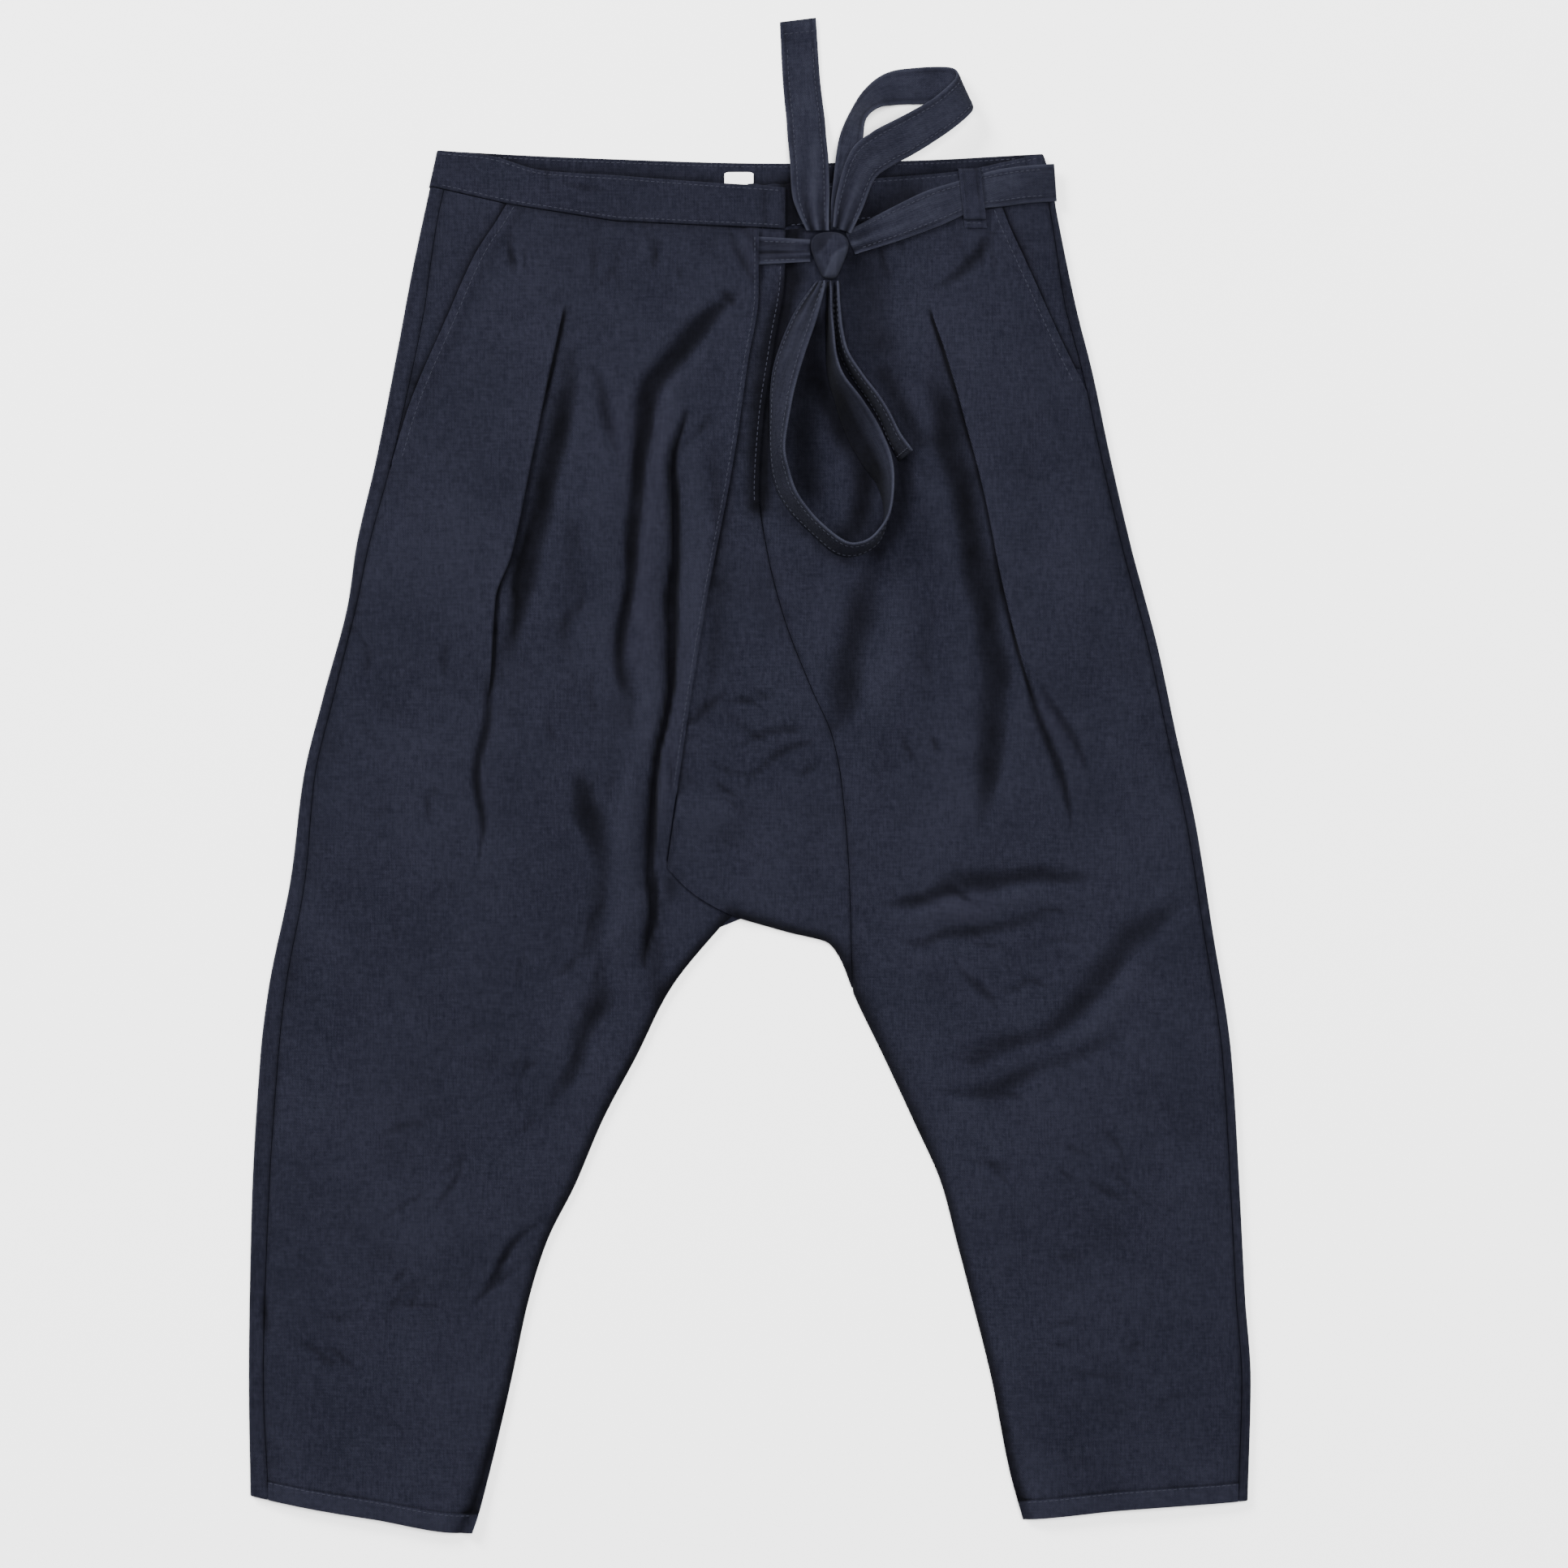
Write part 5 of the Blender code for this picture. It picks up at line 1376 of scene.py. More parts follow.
class BackLeg(SidedPiece):
    """A back leg: flat on the surface, turned round the side edge to the side seam on the front."""

    names = ("back_right", "back_left")
    FLAT_COLUMNS = 44
    STRIP_COLUMNS = 5
    CROTCH_RIGHT = Curve([(500, 8), (506, 4), (512, -8), (517, -20.5)])
    CROTCH_LEFT = Curve([(500, 8.4), (507, 13), (522, 48), (526, 54), (536, 61), (559, 68.2)])

    def __init__(self, cloth: HeightField, side: int) -> None:
        """Choose the side.

        Args:
            cloth: the height field.
            side: -1 for the wearer's right and 1 for the left.
        """
        super().__init__(cloth, side)
        self.shades = ((down_line(self.seam_curve, 50, 895), 1.4, 0.6),)

    def inner(self, level: float) -> float:
        """Return where the leg ends: the centre back seam, then the crotch, then the inseam.

        Args:
            level: the level.

        Returns:
            The place across.
        """
        if self.side < 0:
            if level <= 500:
                return CENTRE_SEAM
            if level < 516:
                return float(self.CROTCH_RIGHT(level))
            return float(INSEAM_RIGHT(level)) - 0.6
        if level <= 500:
            return CENTRE_SEAM + BACK_GAP
        if level < 559:
            return float(self.CROTCH_LEFT(level))
        return float(INSEAM_LEFT(level)) + 0.6

    def grid(self) -> Grid:
        """Return the back leg's middle surface.

        Returns:
            The grid.
        """
        levels = fine_levels(3.3)
        side = self.side
        seams = self.seam_curve(levels)
        seam_downs = level_down(levels, seams)
        edges = self.edge_curve(level_down(levels, self.edge_curve(levels)))
        edge_heights = self.cloth(edges - side * (BACK_MID + TURN_RADIUS), seam_downs)
        rows = []
        for level, seam, edge, edge_height in zip(levels, seams, edges, edge_heights):
            inner = self.inner(float(level))
            section = turned_row(side, edge, inner, BACK_MID, edge_height, self.FLAT_COLUMNS)
            strip = between(section[-1][0], seam, self.STRIP_COLUMNS - 1) + [seam]
            strip_height = self.cloth(np.array(strip), level_down(float(level), np.array(strip)))
            row_across = np.array([place for place, _ in section] + strip)
            row_height = np.array([z for _, z in section] + list(strip_height))
            turned = np.clip((row_height - BACK_MID) / (edge_height - BACK_MID), 0, 1)
            row_down = mix(level_down(level, row_across, BACK_TOP), level_down(level, row_across), turned)
            rows.append((row_across, row_down, row_height))
        return self.turned_grid(rows, EDGE_MID)


class HipPiece(SidedPiece):
    """A hip piece that shows in the slanted pocket opening and runs on under the front."""

    names = ("pocket_right", "pocket_left")
    COLUMNS = 30

    def __init__(self, cloth: HeightField, side: int) -> None:
        """Choose the side.

        Args:
            cloth: the height field.
            side: -1 for the wearer's right and 1 for the left.
        """
        super().__init__(cloth, side)
        self.pocket = self.pick(POCKET_RIGHT, POCKET_LEFT)
        self.last = self.pick(192.0, 145.0)
        # Painted shade beside the front's pocket edge, which lies over the hip piece, and a darker seam
        # line.
        self.shades = ((down_line(self.pocket, 40, self.last + 20), 2.2, 1.2),
                       (down_line(self.seam_curve, 40, self.last), 1.4, 0.6))

    def grid(self) -> Grid:
        """Return the hip piece's middle surface.

        Returns:
            The grid.
        """
        levels = np.linspace(FIRST_LEVEL, self.last, int((self.last - FIRST_LEVEL) / 2))
        rows = []
        for level in levels:
            outer = float(self.seam_curve(level)) - self.side * SEAM_GAP
            under = float(self.pocket(level)) - self.side * POCKET_LAP
            rows.append(np.sort(np.linspace(outer, under, self.COLUMNS)))
        across = np.array(rows)
        down = level_down(levels[:, None], across)
        upright = np.ones(across.shape, bool)
        return Grid(across, down, self.cloth(across, down), upright, relief=self.relief(across, down))


class FrontBand(SidedPiece):
    """A front waistband: it turns round the side edge and ends in under the back."""

    names = ("waistband_right", "waistband_left")
    thickness = BAND
    ROWS = 14
    COLUMNS = 84
    # Darker seam lines and short dark lines; on the left band, painted shadow beside the right band's end.
    RIGHT_SHADES = ((top_seam(-208, 23), 1.5, 0.5), (np.array([(27.0, 8.6), (52.0, 8.6)]), 1.2, 0.7),
                    (np.array([(14.0, -135.5), (27.0, -135.5)]), 1.0, 0.6))
    LEFT_SHADES = ((top_seam(-2, 196), 1.5, 0.5), (np.array([(24.0, 24.0), (62.0, 24.0)]), 4.0, 1.5))

    def __init__(self, cloth: HeightField, side: int) -> None:
        """Choose the side.

        Args:
            cloth: the height field.
            side: -1 for the wearer's right and 1 for the left.
        """
        super().__init__(cloth, side)
        self.top_curve = self.pick(RIGHT_BAND_TOP, LEFT_BAND_TOP)
        self.end = self.pick(23.0, -2.0)
        self.shades = self.pick(self.RIGHT_SHADES, self.LEFT_SHADES)

    def grid(self) -> Grid:
        """Return the waistband's middle surface.

        Returns:
            The grid.
        """
        side, half = self.side, BAND / 2
        rows = []
        for share in band_shares(self.ROWS):
            edge = float(self.edge_curve(mix(float(self.top_curve(side * 205)), 27.0, share)))
            turn_at = edge - side * (half + TURN_RADIUS)
            upper = float(self.cloth(turn_at, FIRST_LEVEL)) + BAND_PROUD
            turned = turned_row(side, edge, turn_at - side * BAND_UNDER_RUN, half, upper, 4)
            flat = between(turn_at, self.end, self.COLUMNS) + [self.end]
            flat_height = self.cloth(np.array(flat), FIRST_LEVEL) + BAND_PROUD
            if side < 0:
                flat_height = flat_height + 1.4 * ramp(flat, -24, -10)
            else:
                flat_height = flat_height - 1.0 * (1 - ramp(flat, 35, 50))
            row_across = np.array([place for place, _ in turned] + flat)
            row_height = np.array([z for _, z in turned] + list(flat_height))
            front = mix(self.top_curve(row_across), FRONT_TOP(row_across) - SEAM_GAP, share)
            back = mix(BACK_BAND(row_across), BACK_TOP(row_across) - BACK_GAP, share)
            row_down = mix(back, front, np.clip((row_height - half) / (upper - half), 0, 1))
            rows.append((row_across, row_down, row_height))
        return self.turned_grid(rows, BAND + 1)


class BackBand(Piece):
    """The back waistband between the two ends of the front ones, flat on the surface."""

    name = "waistband_back"
    thickness = BAND
    # Painted shade along the front waistbands' top edges, which lie over the back band.
    shades = ((top_edge(RIGHT_BAND_TOP, -205, 23), 3.5, 0.9), (top_edge(LEFT_BAND_TOP, 19, 194), 3.5, 0.9))
    ROWS = 10
    COLUMNS = 50

    def grid(self) -> Grid:
        """Return the back waistband's middle surface.

        Returns:
            The grid.
        """
        half = BAND / 2
        reach = half + TURN_RADIUS + BAND_UNDER_RUN + BACK_GAP
        across, down = [], []
        for share in band_shares(self.ROWS):
            right = float(RIGHT_EDGE(mix(0.5, 27.0, share))) + reach
            left = float(LEFT_EDGE(mix(2.5, 27.0, share))) - reach
            row = np.concatenate([np.linspace(right, CENTRE_SEAM, self.COLUMNS),
                                  np.linspace(CENTRE_SEAM, left, self.COLUMNS)[1:]])
            across.append(row)
            down.append(mix(BACK_BAND(row), BACK_TOP(row) - BACK_GAP, share))
        across, down = np.array(across), np.array(down)
        return Grid(across, down, np.full(across.shape, half), relief=self.relief(across, down))


@dataclass(frozen=True)
class Station:
    """One place along a ribbon: its centre, width, the way its width points and its tilt."""

    across: float
    down: float
    height: float
    width: float
    bearing: float
    tilt: float


@dataclass(frozen=True)
class Rims:
    """One place along a standing ribbon: where its lower and its upper rim are, and its width."""

    low_across: float
    low_down: float
    high_across: float
    high_down: float
    width: float


BOW_FLOOR = 9.2
BOW_END_UP = (
    Station(44.6, 54.6, 12.2, 15, 180, 0), Station(41.6, 42, 11.8, 21, 180, 0),
    Station(39.9, 30, 11, 25, 180, 0), Station(38.9, 8, 8.4, 25.8, 180, 0),
    Station(37.4, -8, 5, 25.8, 180, 0), Station(36.5, -21, 2.3, 25.6, 181, 0),
    Station(35, -34, 1.0, 25.2, 182, 0), Station(33.5, -50, 1.0, 24.8, 183, 0),
    Station(31.4, -86.53, 1.0, 24.2, 187, 0),
)
BOW_LOOP_UP = (
    Station(60.6, 54.4, 14.6, 13, 160, 0), Station(65.5, 36, 16.5, 20, 150, 12),
    Station(74.2, 12, 18.8, 25, 130, 14), Station(87.2, 1.2, 20, 26, 121, 10),
    Station(100.3, -5.8, 20.5, 26, 120, 6), Station(113.4, -13.2, 20.5, 25, 120, 3),
    Station(126.4, -21.5, 19.4, 24, 121, 0), Station(136.5, -30, 16.5, 24, 122, 0),
    Station(142, -37, 11, 24, 117, 0), Station(139.5, -41.8, 6, 24, 108, 0),
    Station(129.6, -43, 3.2, 24.4, 96, 0), Station(110.7, -42.4, 2.7, 24.4, 90, 0),
    Station(93.5, -40.5, 3.8, 23, 101, -10), Station(80.5, -33.5, 6.6, 20, 130, -36),
    Station(71.5, -22.5, 9, 18.5, 151, -50), Station(67.2, -9, 10.4, 18, 166, -34),
    Station(64.8, 5, 11, 16.5, 171, -14), Station(61.6, 24, 11, 14, 173, -4),
    Station(59.6, 39, 10.6, 13, 173, 0), Station(59.0, 54.0, 9.6, 12, 175, 0),
)
BOW_LOOP_DOWN = (
    Rims(44.6, 88.6, 49.6, 88.6, 12), Rims(40, 94, 49, 94, 16), Rims(27, 113.4, 43.7, 113.4, 22),
    Rims(15.1, 145.3, 31.9, 149.6, 24), Rims(13, 175.5, 25.4, 178.2, 24),
    Rims(13.5, 202.5, 22.7, 199.3, 24), Rims(16.2, 221.4, 25.9, 216, 24),
    Rims(24.3, 237.6, 32.4, 232.2, 24), Rims(39.4, 253.8, 44.8, 247.3, 24),
    Rims(56.7, 268.4, 62.1, 261, 24), Rims(71.8, 269.5, 73, 262, 24), Rims(84.8, 260.8, 83, 256, 24),
    Rims(89.1, 243.5, 91.8, 242.5, 24), Rims(85.3, 225.2, 94.5, 222, 24), Rims(74, 209, 92.9, 203.5, 24),
    Rims(64.3, 191.7, 85.3, 184.7, 24), Rims(56.7, 170.1, 74.5, 168, 24),
    Rims(51.3, 147.4, 59.4, 147.4, 22), Rims(50.8, 118.3, 54.6, 118.3, 16),
    Rims(51.6, 88.6, 53.4, 88.6, 12),
)
BOW_END_DOWN = (
    Rims(56.8, 88.6, 58.2, 88.6, 12), Rims(56.4, 105.3, 59.0, 105.3, 15), Rims(57.5, 124.2, 61, 123.1, 18),
    Rims(60.9, 139.3, 65, 137.2, 21), Rims(69.6, 154.4, 73.9, 151.2, 23),
    Rims(78.7, 167.4, 83.5, 163.6, 24), Rims(86, 180.4, 91.4, 176, 24), Rims(92, 194.4, 98.5, 189.5, 24),
    Rims(99, 207.4, 107, 201.4, 24),
)
TIE_LEFT = (
    (22.2, 202.5), (23.8, 181), (27.5, 157), (30.2, 146), (39.4, 121.5), (50.8, 94.5), (58.9, 75),
    (62.8, 66.2),
)
TIE_LEFT_WIDTH = Curve([(66, 16), (94, 22), (121, 25), (146, 22), (170, 25), (203, 25)])
RIBBON_STEPS = 9


@dataclass(frozen=True)
class Strip:
    """What one strip of tie or tape is like."""

    name: str
    rims: Callable
    gathers: tuple = ()
    held: str = "folded"
    slot: Slot = Slot.TAPE
    thickness: float = STRAP
    # foot: how strong the painted shade on a standing strip's lower part is, at the start and at the end.
    foot: tuple = (0.0, 0.0)
    groove: float = 0.0
    free_end: bool = False


class Ribbon(Piece):
    """A strip between two rims, with rounded rims and lengthwise wrinkles."""

    COLUMNS = (0, 0.02, 0.05, 0.08, 0.11, 0.14, 0.2, 0.28, 0.36, 0.42, 0.47, 0.53, 0.6, 0.68, 0.76, 0.83,
               0.88, 0.92, 0.95, 0.98, 1)
    GATHER_REACH = 30.0
    GATHER_WAVES = 4.4
    GATHER_DRIFT = 0.012
    GATHER_START = 0.3
    UNEVEN = 0.25
    GROOVE_DEPTH = 1.1
    GROOVE_REACH = 0.07
    RISE_SCALE = 1.2
    # Paler rims: edge wear with a painted highlight.
    RIM_PALE = 0.6
    SEAM_DARK = 0.35
    SEAM_AT = 3.2
    SEAM_REACH = 0.9
    # How the painted shade on a standing strip's lower part changes along it and fades up it.
    FOOT_RUN = (0.55, 0.7)
    FOOT_FALL = 1.2

    def __init__(self, cloth: HeightField, strip: Strip) -> None:
        """Keep what the strip is like.

        Args:
            cloth: the height field.
            strip: the strip's numbers.
        """
        super().__init__(cloth)
        self.strip = strip
        self.name, self.held = strip.name, strip.held
        self.slot, self.thickness = strip.slot, strip.thickness

    def build(self) -> bpy.types.Object:
        """Make the strip.

        Returns:
            The new object.
        """
        low, high = (rim * np.array([1, -1, 1]) for rim in self.strip.rims(self.cloth))
        middle = (low + high) / 2
        out = np.cross(np.gradient(middle, axis=0), high - low)
        out /= np.linalg.norm(out, axis=1)[:, None]
        share = np.array(self.COLUMNS)
        width = np.linalg.norm(high - low, axis=1)[:, None]
        walk = np.concatenate([[0], np.cumsum(np.linalg.norm(np.diff(middle, axis=0), axis=1))])[:, None]
        rim = np.minimum(share, 1 - share) * width
        rise = self.wrinkles(share, width, walk)
        surface = low[:, None] + (high - low)[:, None] * share[:, None] + out[:, None] * rise[..., None]
        half = self.half_thickness(rim, walk)[..., None]
        upper, lower = surface + out[:, None] * half, surface - out[:, None] * half
        self.top = (upper, out)
        points = np.concatenate([upper.reshape(-1, 3), lower.reshape(-1, 3)])
        points[:, 0] -= CENTRE_ACROSS
        points[:, 1] += CENTRE_DOWN
        points[:, 2] = np.maximum(points[:, 2], 0)
        faces = MeshMaker.quads(*surface.shape[:2])[:, ::-1]
        item = MeshMaker.mesh(self.name, points * MM, faces)
        # Painted shade on a standing strip's lower part and in its wrinkles' hollows, which the finish
        # darkens.
        # Paler rims from edge wear and a painted highlight, and darker lines along the stitching.
        foot = mix(*self.strip.foot, ramp(walk / walk[-1], *self.FOOT_RUN))
        seam = self.SEAM_DARK * np.exp(-((rim - self.SEAM_AT) / self.SEAM_REACH) ** 2)
        relief = rise / self.RISE_SCALE + self.RIM_PALE * np.exp(-rim) - seam
        relief = np.clip(relief - foot * (1 - share) ** self.FOOT_FALL, -1, 1)
        MeshMaker.paint(item, "relief", np.tile(relief.reshape(-1), 2))
        flat = np.stack(np.broadcast_arrays(share * width, walk), axis=-1)
        MeshMaker.map_cloth(item, np.tile(flat.reshape(-1, 2) * MM, (2, 1)))
        return item

    def wrinkles(self, share: np.ndarray, width: np.ndarray, walk: np.ndarray) -> np.ndarray:
        """Return how far the strip rises out of its smooth shape.

        Args:
            share: each column's share of the width.
            width: a column of widths.
            walk: a column of lengths walked along the strip.

        Returns:
            A rise for each place.
        """
        rise = np.zeros((len(walk), len(share)))
        for start, size in self.strip.gathers:
            far = walk if start else walk[-1] - walk
            turn = self.GATHER_WAVES * share + self.GATHER_DRIFT * walk + self.GATHER_START
            rise = rise + size * np.exp(-far / self.GATHER_REACH) * np.sin(math.pi * turn)
        rise = rise + self.UNEVEN * SoftNoise(31, 14, 10)(share * width, walk)
        if self.strip.groove:
            rise = rise - self.GROOVE_DEPTH * np.exp(-((share - self.strip.groove) / self.GROOVE_REACH) ** 2)
        return rise

    def half_thickness(self, rim: np.ndarray, walk: np.ndarray) -> np.ndarray:
        """Return half the thickness of each place, thinner at the rims and the ends.

        Args:
            rim: how far each place is from the nearer rim.
            walk: a column of lengths walked along the strip.

        Returns:
            Half a thickness for each place.
        """
        near = np.clip(rim / self.thickness, 0, 1)
        half = self.thickness / 2 * (0.35 + 0.65 * np.sqrt(1 - (1 - near) ** 2))
        ends = np.clip(np.minimum(walk, walk[-1] - walk), 0, 1)
        return half * (0.5 + 0.5 * np.sqrt(1 - (1 - ends) ** 2))

    def stitch_lines(self) -> list:
        """Return the rows of stitches along both long edges and across the free end.

        Returns:
            (points, normals) pairs in metres.
        """
        upper, out = self.top
        shift = np.array([-CENTRE_ACROSS, CENTRE_DOWN, 0])
        lines = [((upper[4:-4, column] + shift) * MM, out[4:-4]) for column in (5, -6)]
        if self.strip.free_end:
            count = len(upper[0, 2:-2])
            lines.append(((upper[-3, 2:-2] + shift) * MM, np.repeat(out[-3:-2], count, axis=0)))
        return lines


def rim_pair(low: Sequence, high: Sequence) -> tuple:
    """Return both rims as rows, each out of its places across and down and its heights."""
    return tuple(np.stack(np.broadcast_arrays(*rim), axis=-1).astype(float) for rim in (low, high))


class RibbonPaths:
    """The rims of each strip, worked out from stations."""

    @staticmethod
    def stations(table: Sequence[Station]) -> Callable:
        """Return the rims of a strip whose stations lie across it.

        Args:
            table: the stations.

        Returns:
            A function of the cloth that gives both rims.
        """
        def rims(_cloth: HeightField) -> tuple:
            """Return both rims."""
            rows = smooth_path([astuple(station) for station in table], RIBBON_STEPS)
            bearing, tilt = np.radians(rows[:, 4]), np.radians(rows[:, 5])
            half = rows[:, 3] / 2
            step = np.stack([half * np.cos(tilt) * np.cos(bearing), -half * np.cos(tilt) * np.sin(bearing),
                             half * np.sin(tilt)], axis=-1)
            return rows[:, :3] - step, rows[:, :3] + step
        return rims

    @staticmethod
    def standing(table: Sequence[Rims]) -> Callable:
        """Return the rims of a strip that stands on its lower rim.

        Args:
            table: the places of both rims.

        Returns:
            A function of the cloth that gives both rims.
        """
        def rims(_cloth: HeightField) -> tuple:
            """Return both rims."""
            rows = smooth_path([astuple(place) for place in table], RIBBON_STEPS)
            plan = np.hypot(rows[:, 2] - rows[:, 0], rows[:, 3] - rows[:, 1])
            rise = np.sqrt(np.maximum(rows[:, 4] ** 2 - plan ** 2, 1.0))
            return rim_pair((rows[:, 0], rows[:, 1], BOW_FLOOR), (rows[:, 2], rows[:, 3], BOW_FLOOR + rise))
        return rims

    @staticmethod
    def cloth_top(cloth: HeightField, across: Values, down: Values) -> Values:
        """Return the height of the front's upper face, waistband included.

        Args:
            cloth: the height field.
            across: the places across.
            down: the places down.

        Returns:
            Heights in millimetres.
        """
        panel = cloth(across, down) + CLOTH / 2
        band = cloth(across, FIRST_LEVEL) + BAND_PROUD + BAND / 2
        seam = FRONT_TOP(across)
        return mix(band, panel, np.clip((down - seam + 2) / 12, 0, 1))

    @classmethod
    def tie_left(cls, cloth: HeightField) -> tuple:
        """Return the rims of the tie from the left side seam to the knot.

        Args:
            cloth: the height field.

        Returns:
            Both rims.
        """
        rows = smooth_path(TIE_LEFT, RIBBON_STEPS)
        step = np.gradient(rows, axis=0)
        step /= np.linalg.norm(step, axis=1)[:, None]
        down, across = rows.T
        half = TIE_LEFT_WIDTH(across) / 2
        upper = np.stack([across + step[:, 0] * half, down - step[:, 1] * half])
        lower = np.stack([across - step[:, 0] * half, down + step[:, 1] * half])
        top = np.where(upper[1] > 22, cls.cloth_top(cloth, *upper), 0)
        base = np.maximum(np.maximum(cls.cloth_top(cloth, across, down), top), cls.cloth_top(cloth, *lower))
        lift = base + TOUCH_GAP + STRAP / 2
        return rim_pair((*lower, lift), (*upper, lift))

    @classmethod
    def tie_right(cls, cloth: HeightField) -> tuple:
        """Return the rims of the short stretch of tie from the slit to the knot.

        Args:
            cloth: the height field.

        Returns:
            Both rims.
        """
        start, middle, slack = 3.2, 67.5, 9.5
        across = np.linspace(start, 39.6, 26)
        half = mix(slack, 7.5, (across - start) / 36)
        base = np.maximum(*(cls.cloth_top(cloth, across, middle + side) for side in (-slack, slack)))
        height = base + TOUCH_GAP + STRAP / 2
        return rim_pair((across, middle + half, height), (across, middle - half, height))

    @classmethod
    def belt_loop(cls, cloth: HeightField) -> tuple:
        """Return the rims of the belt loop, which bridges over the tie.

        Args:
            cloth: the height field.

        Returns:
            Both rims.
        """
        half = 7.5
        top = float(cls.cloth_top(cloth, 146.0, 30.0))
        low = top + TOUCH_GAP + CLOTH / 2
        high = low + STRAP + TOUCH_GAP + 0.5
        rows = smooth_path([(12.6, low), (13.6, low), (14.9, high), (22, high + 0.3), (34, high + 0.3),
                            (45.4, high), (47.0, low + 0.4), (52.4, low)], RIBBON_STEPS)
        across = Curve([(13, 145.3), (52.4, 149.6)])(rows[:, 0])
        return rim_pair((across - half, *rows.T), (across + half, *rows.T))

    @staticmethod
    def label(_cloth: HeightField) -> tuple:
        """Return the rims of the blank label on the inner face of the back waistband.

        Args:
            _cloth: not used.

        Returns:
            Both rims.
        """
        share = np.linspace(-1, 1, 16)
        across = -7.8 + 9.6 * share
        height = BAND + TOUCH_GAP + 0.5
        corner = np.abs(share) ** 10
        return rim_pair((across, 23.2 - corner, height), (across, 14.9 + corner, height))


class Knot(Piece):
    """The knot: the tie's wrapped layers, wide above and narrow below."""

    name = "tie_knot"
    slot = Slot.TAPE
    CENTRE = Vector((52.4, 71.3, 13.6))
    HALF = Vector((13.0, 15.5, 6.9))
    SQUARENESS = 0.7
    RINGS = 30
    AROUND = 56

    def build(self) -> bpy.types.Object:
        """Make the knot.

        Returns:
            The new object.
        """
        polar = np.linspace(0.02, math.pi - 0.02, self.RINGS)[:, None]
        turn = np.linspace(0, 2 * math.pi, self.AROUND, endpoint=False)[None, :]

        def power(value: np.ndarray) -> np.ndarray:
            """Square off a sine or a cosine."""
            return np.sign(value) * np.abs(value) ** self.SQUARENESS

        side = power(np.sin(polar)) * power(np.cos(turn))
        fall = power(np.sin(polar)) * power(np.sin(turn))
        up = power(np.cos(polar)) * np.ones(turn.shape)
        narrow = mix(1.04, 0.56, ramp(fall, -0.7, 0.9))
        slant = side * 0.9 + fall * 1.1 + 0.15 * np.sin(4 * side)
        steps = sum(0.09 * np.tanh((slant - place) / 0.05) for place in (-0.75, 0.35))
        wrap = (steps + 0.03 * np.sin(7 * side - 3 * fall)) * np.clip(up + 0.3, 0, 1)
        x = self.CENTRE.x + self.HALF.x * side * narrow
        y = self.CENTRE.y + self.HALF.y * fall
        z = self.CENTRE.z + self.HALF.z * (up * (1 - 0.3 * side ** 2 - 0.25 * fall ** 2) + wrap)
        points = placed(x, y, z).reshape(-1, 3)
        ends = placed(np.full(2, self.CENTRE.x), np.full(2, self.CENTRE.y),
                      np.array([self.CENTRE.z + self.HALF.z, self.CENTRE.z - self.HALF.z]))
        index = np.arange(self.RINGS * self.AROUND).reshape(self.RINGS, self.AROUND)
        after = np.roll(index, -1, axis=1)
        sides = np.stack([index[:-1], after[:-1], after[1:], index[1:]], axis=-1).reshape(-1, 4).tolist()
        top, base = len(points), len(points) + 1
        caps = [[top, int(b), int(a)] for a, b in zip(index[0], after[0])]
        caps += [[base, int(a), int(b)] for a, b in zip(index[-1], after[-1])]
        item = MeshMaker.mesh(self.name, np.concatenate([points, ends]), sides + caps, sharp=False)
        # Raised wraps paler, as wear, and painted shade in the grooves between them.
        MeshMaker.paint(item, "relief", np.concatenate([np.clip(wrap * 3, -1, 1).reshape(-1), [0, 0]]))
        flat = np.stack([x, y], axis=-1).reshape(-1, 2)
        MeshMaker.map_cloth(item, np.concatenate([flat, np.zeros((2, 2))]) * MM)
        return item


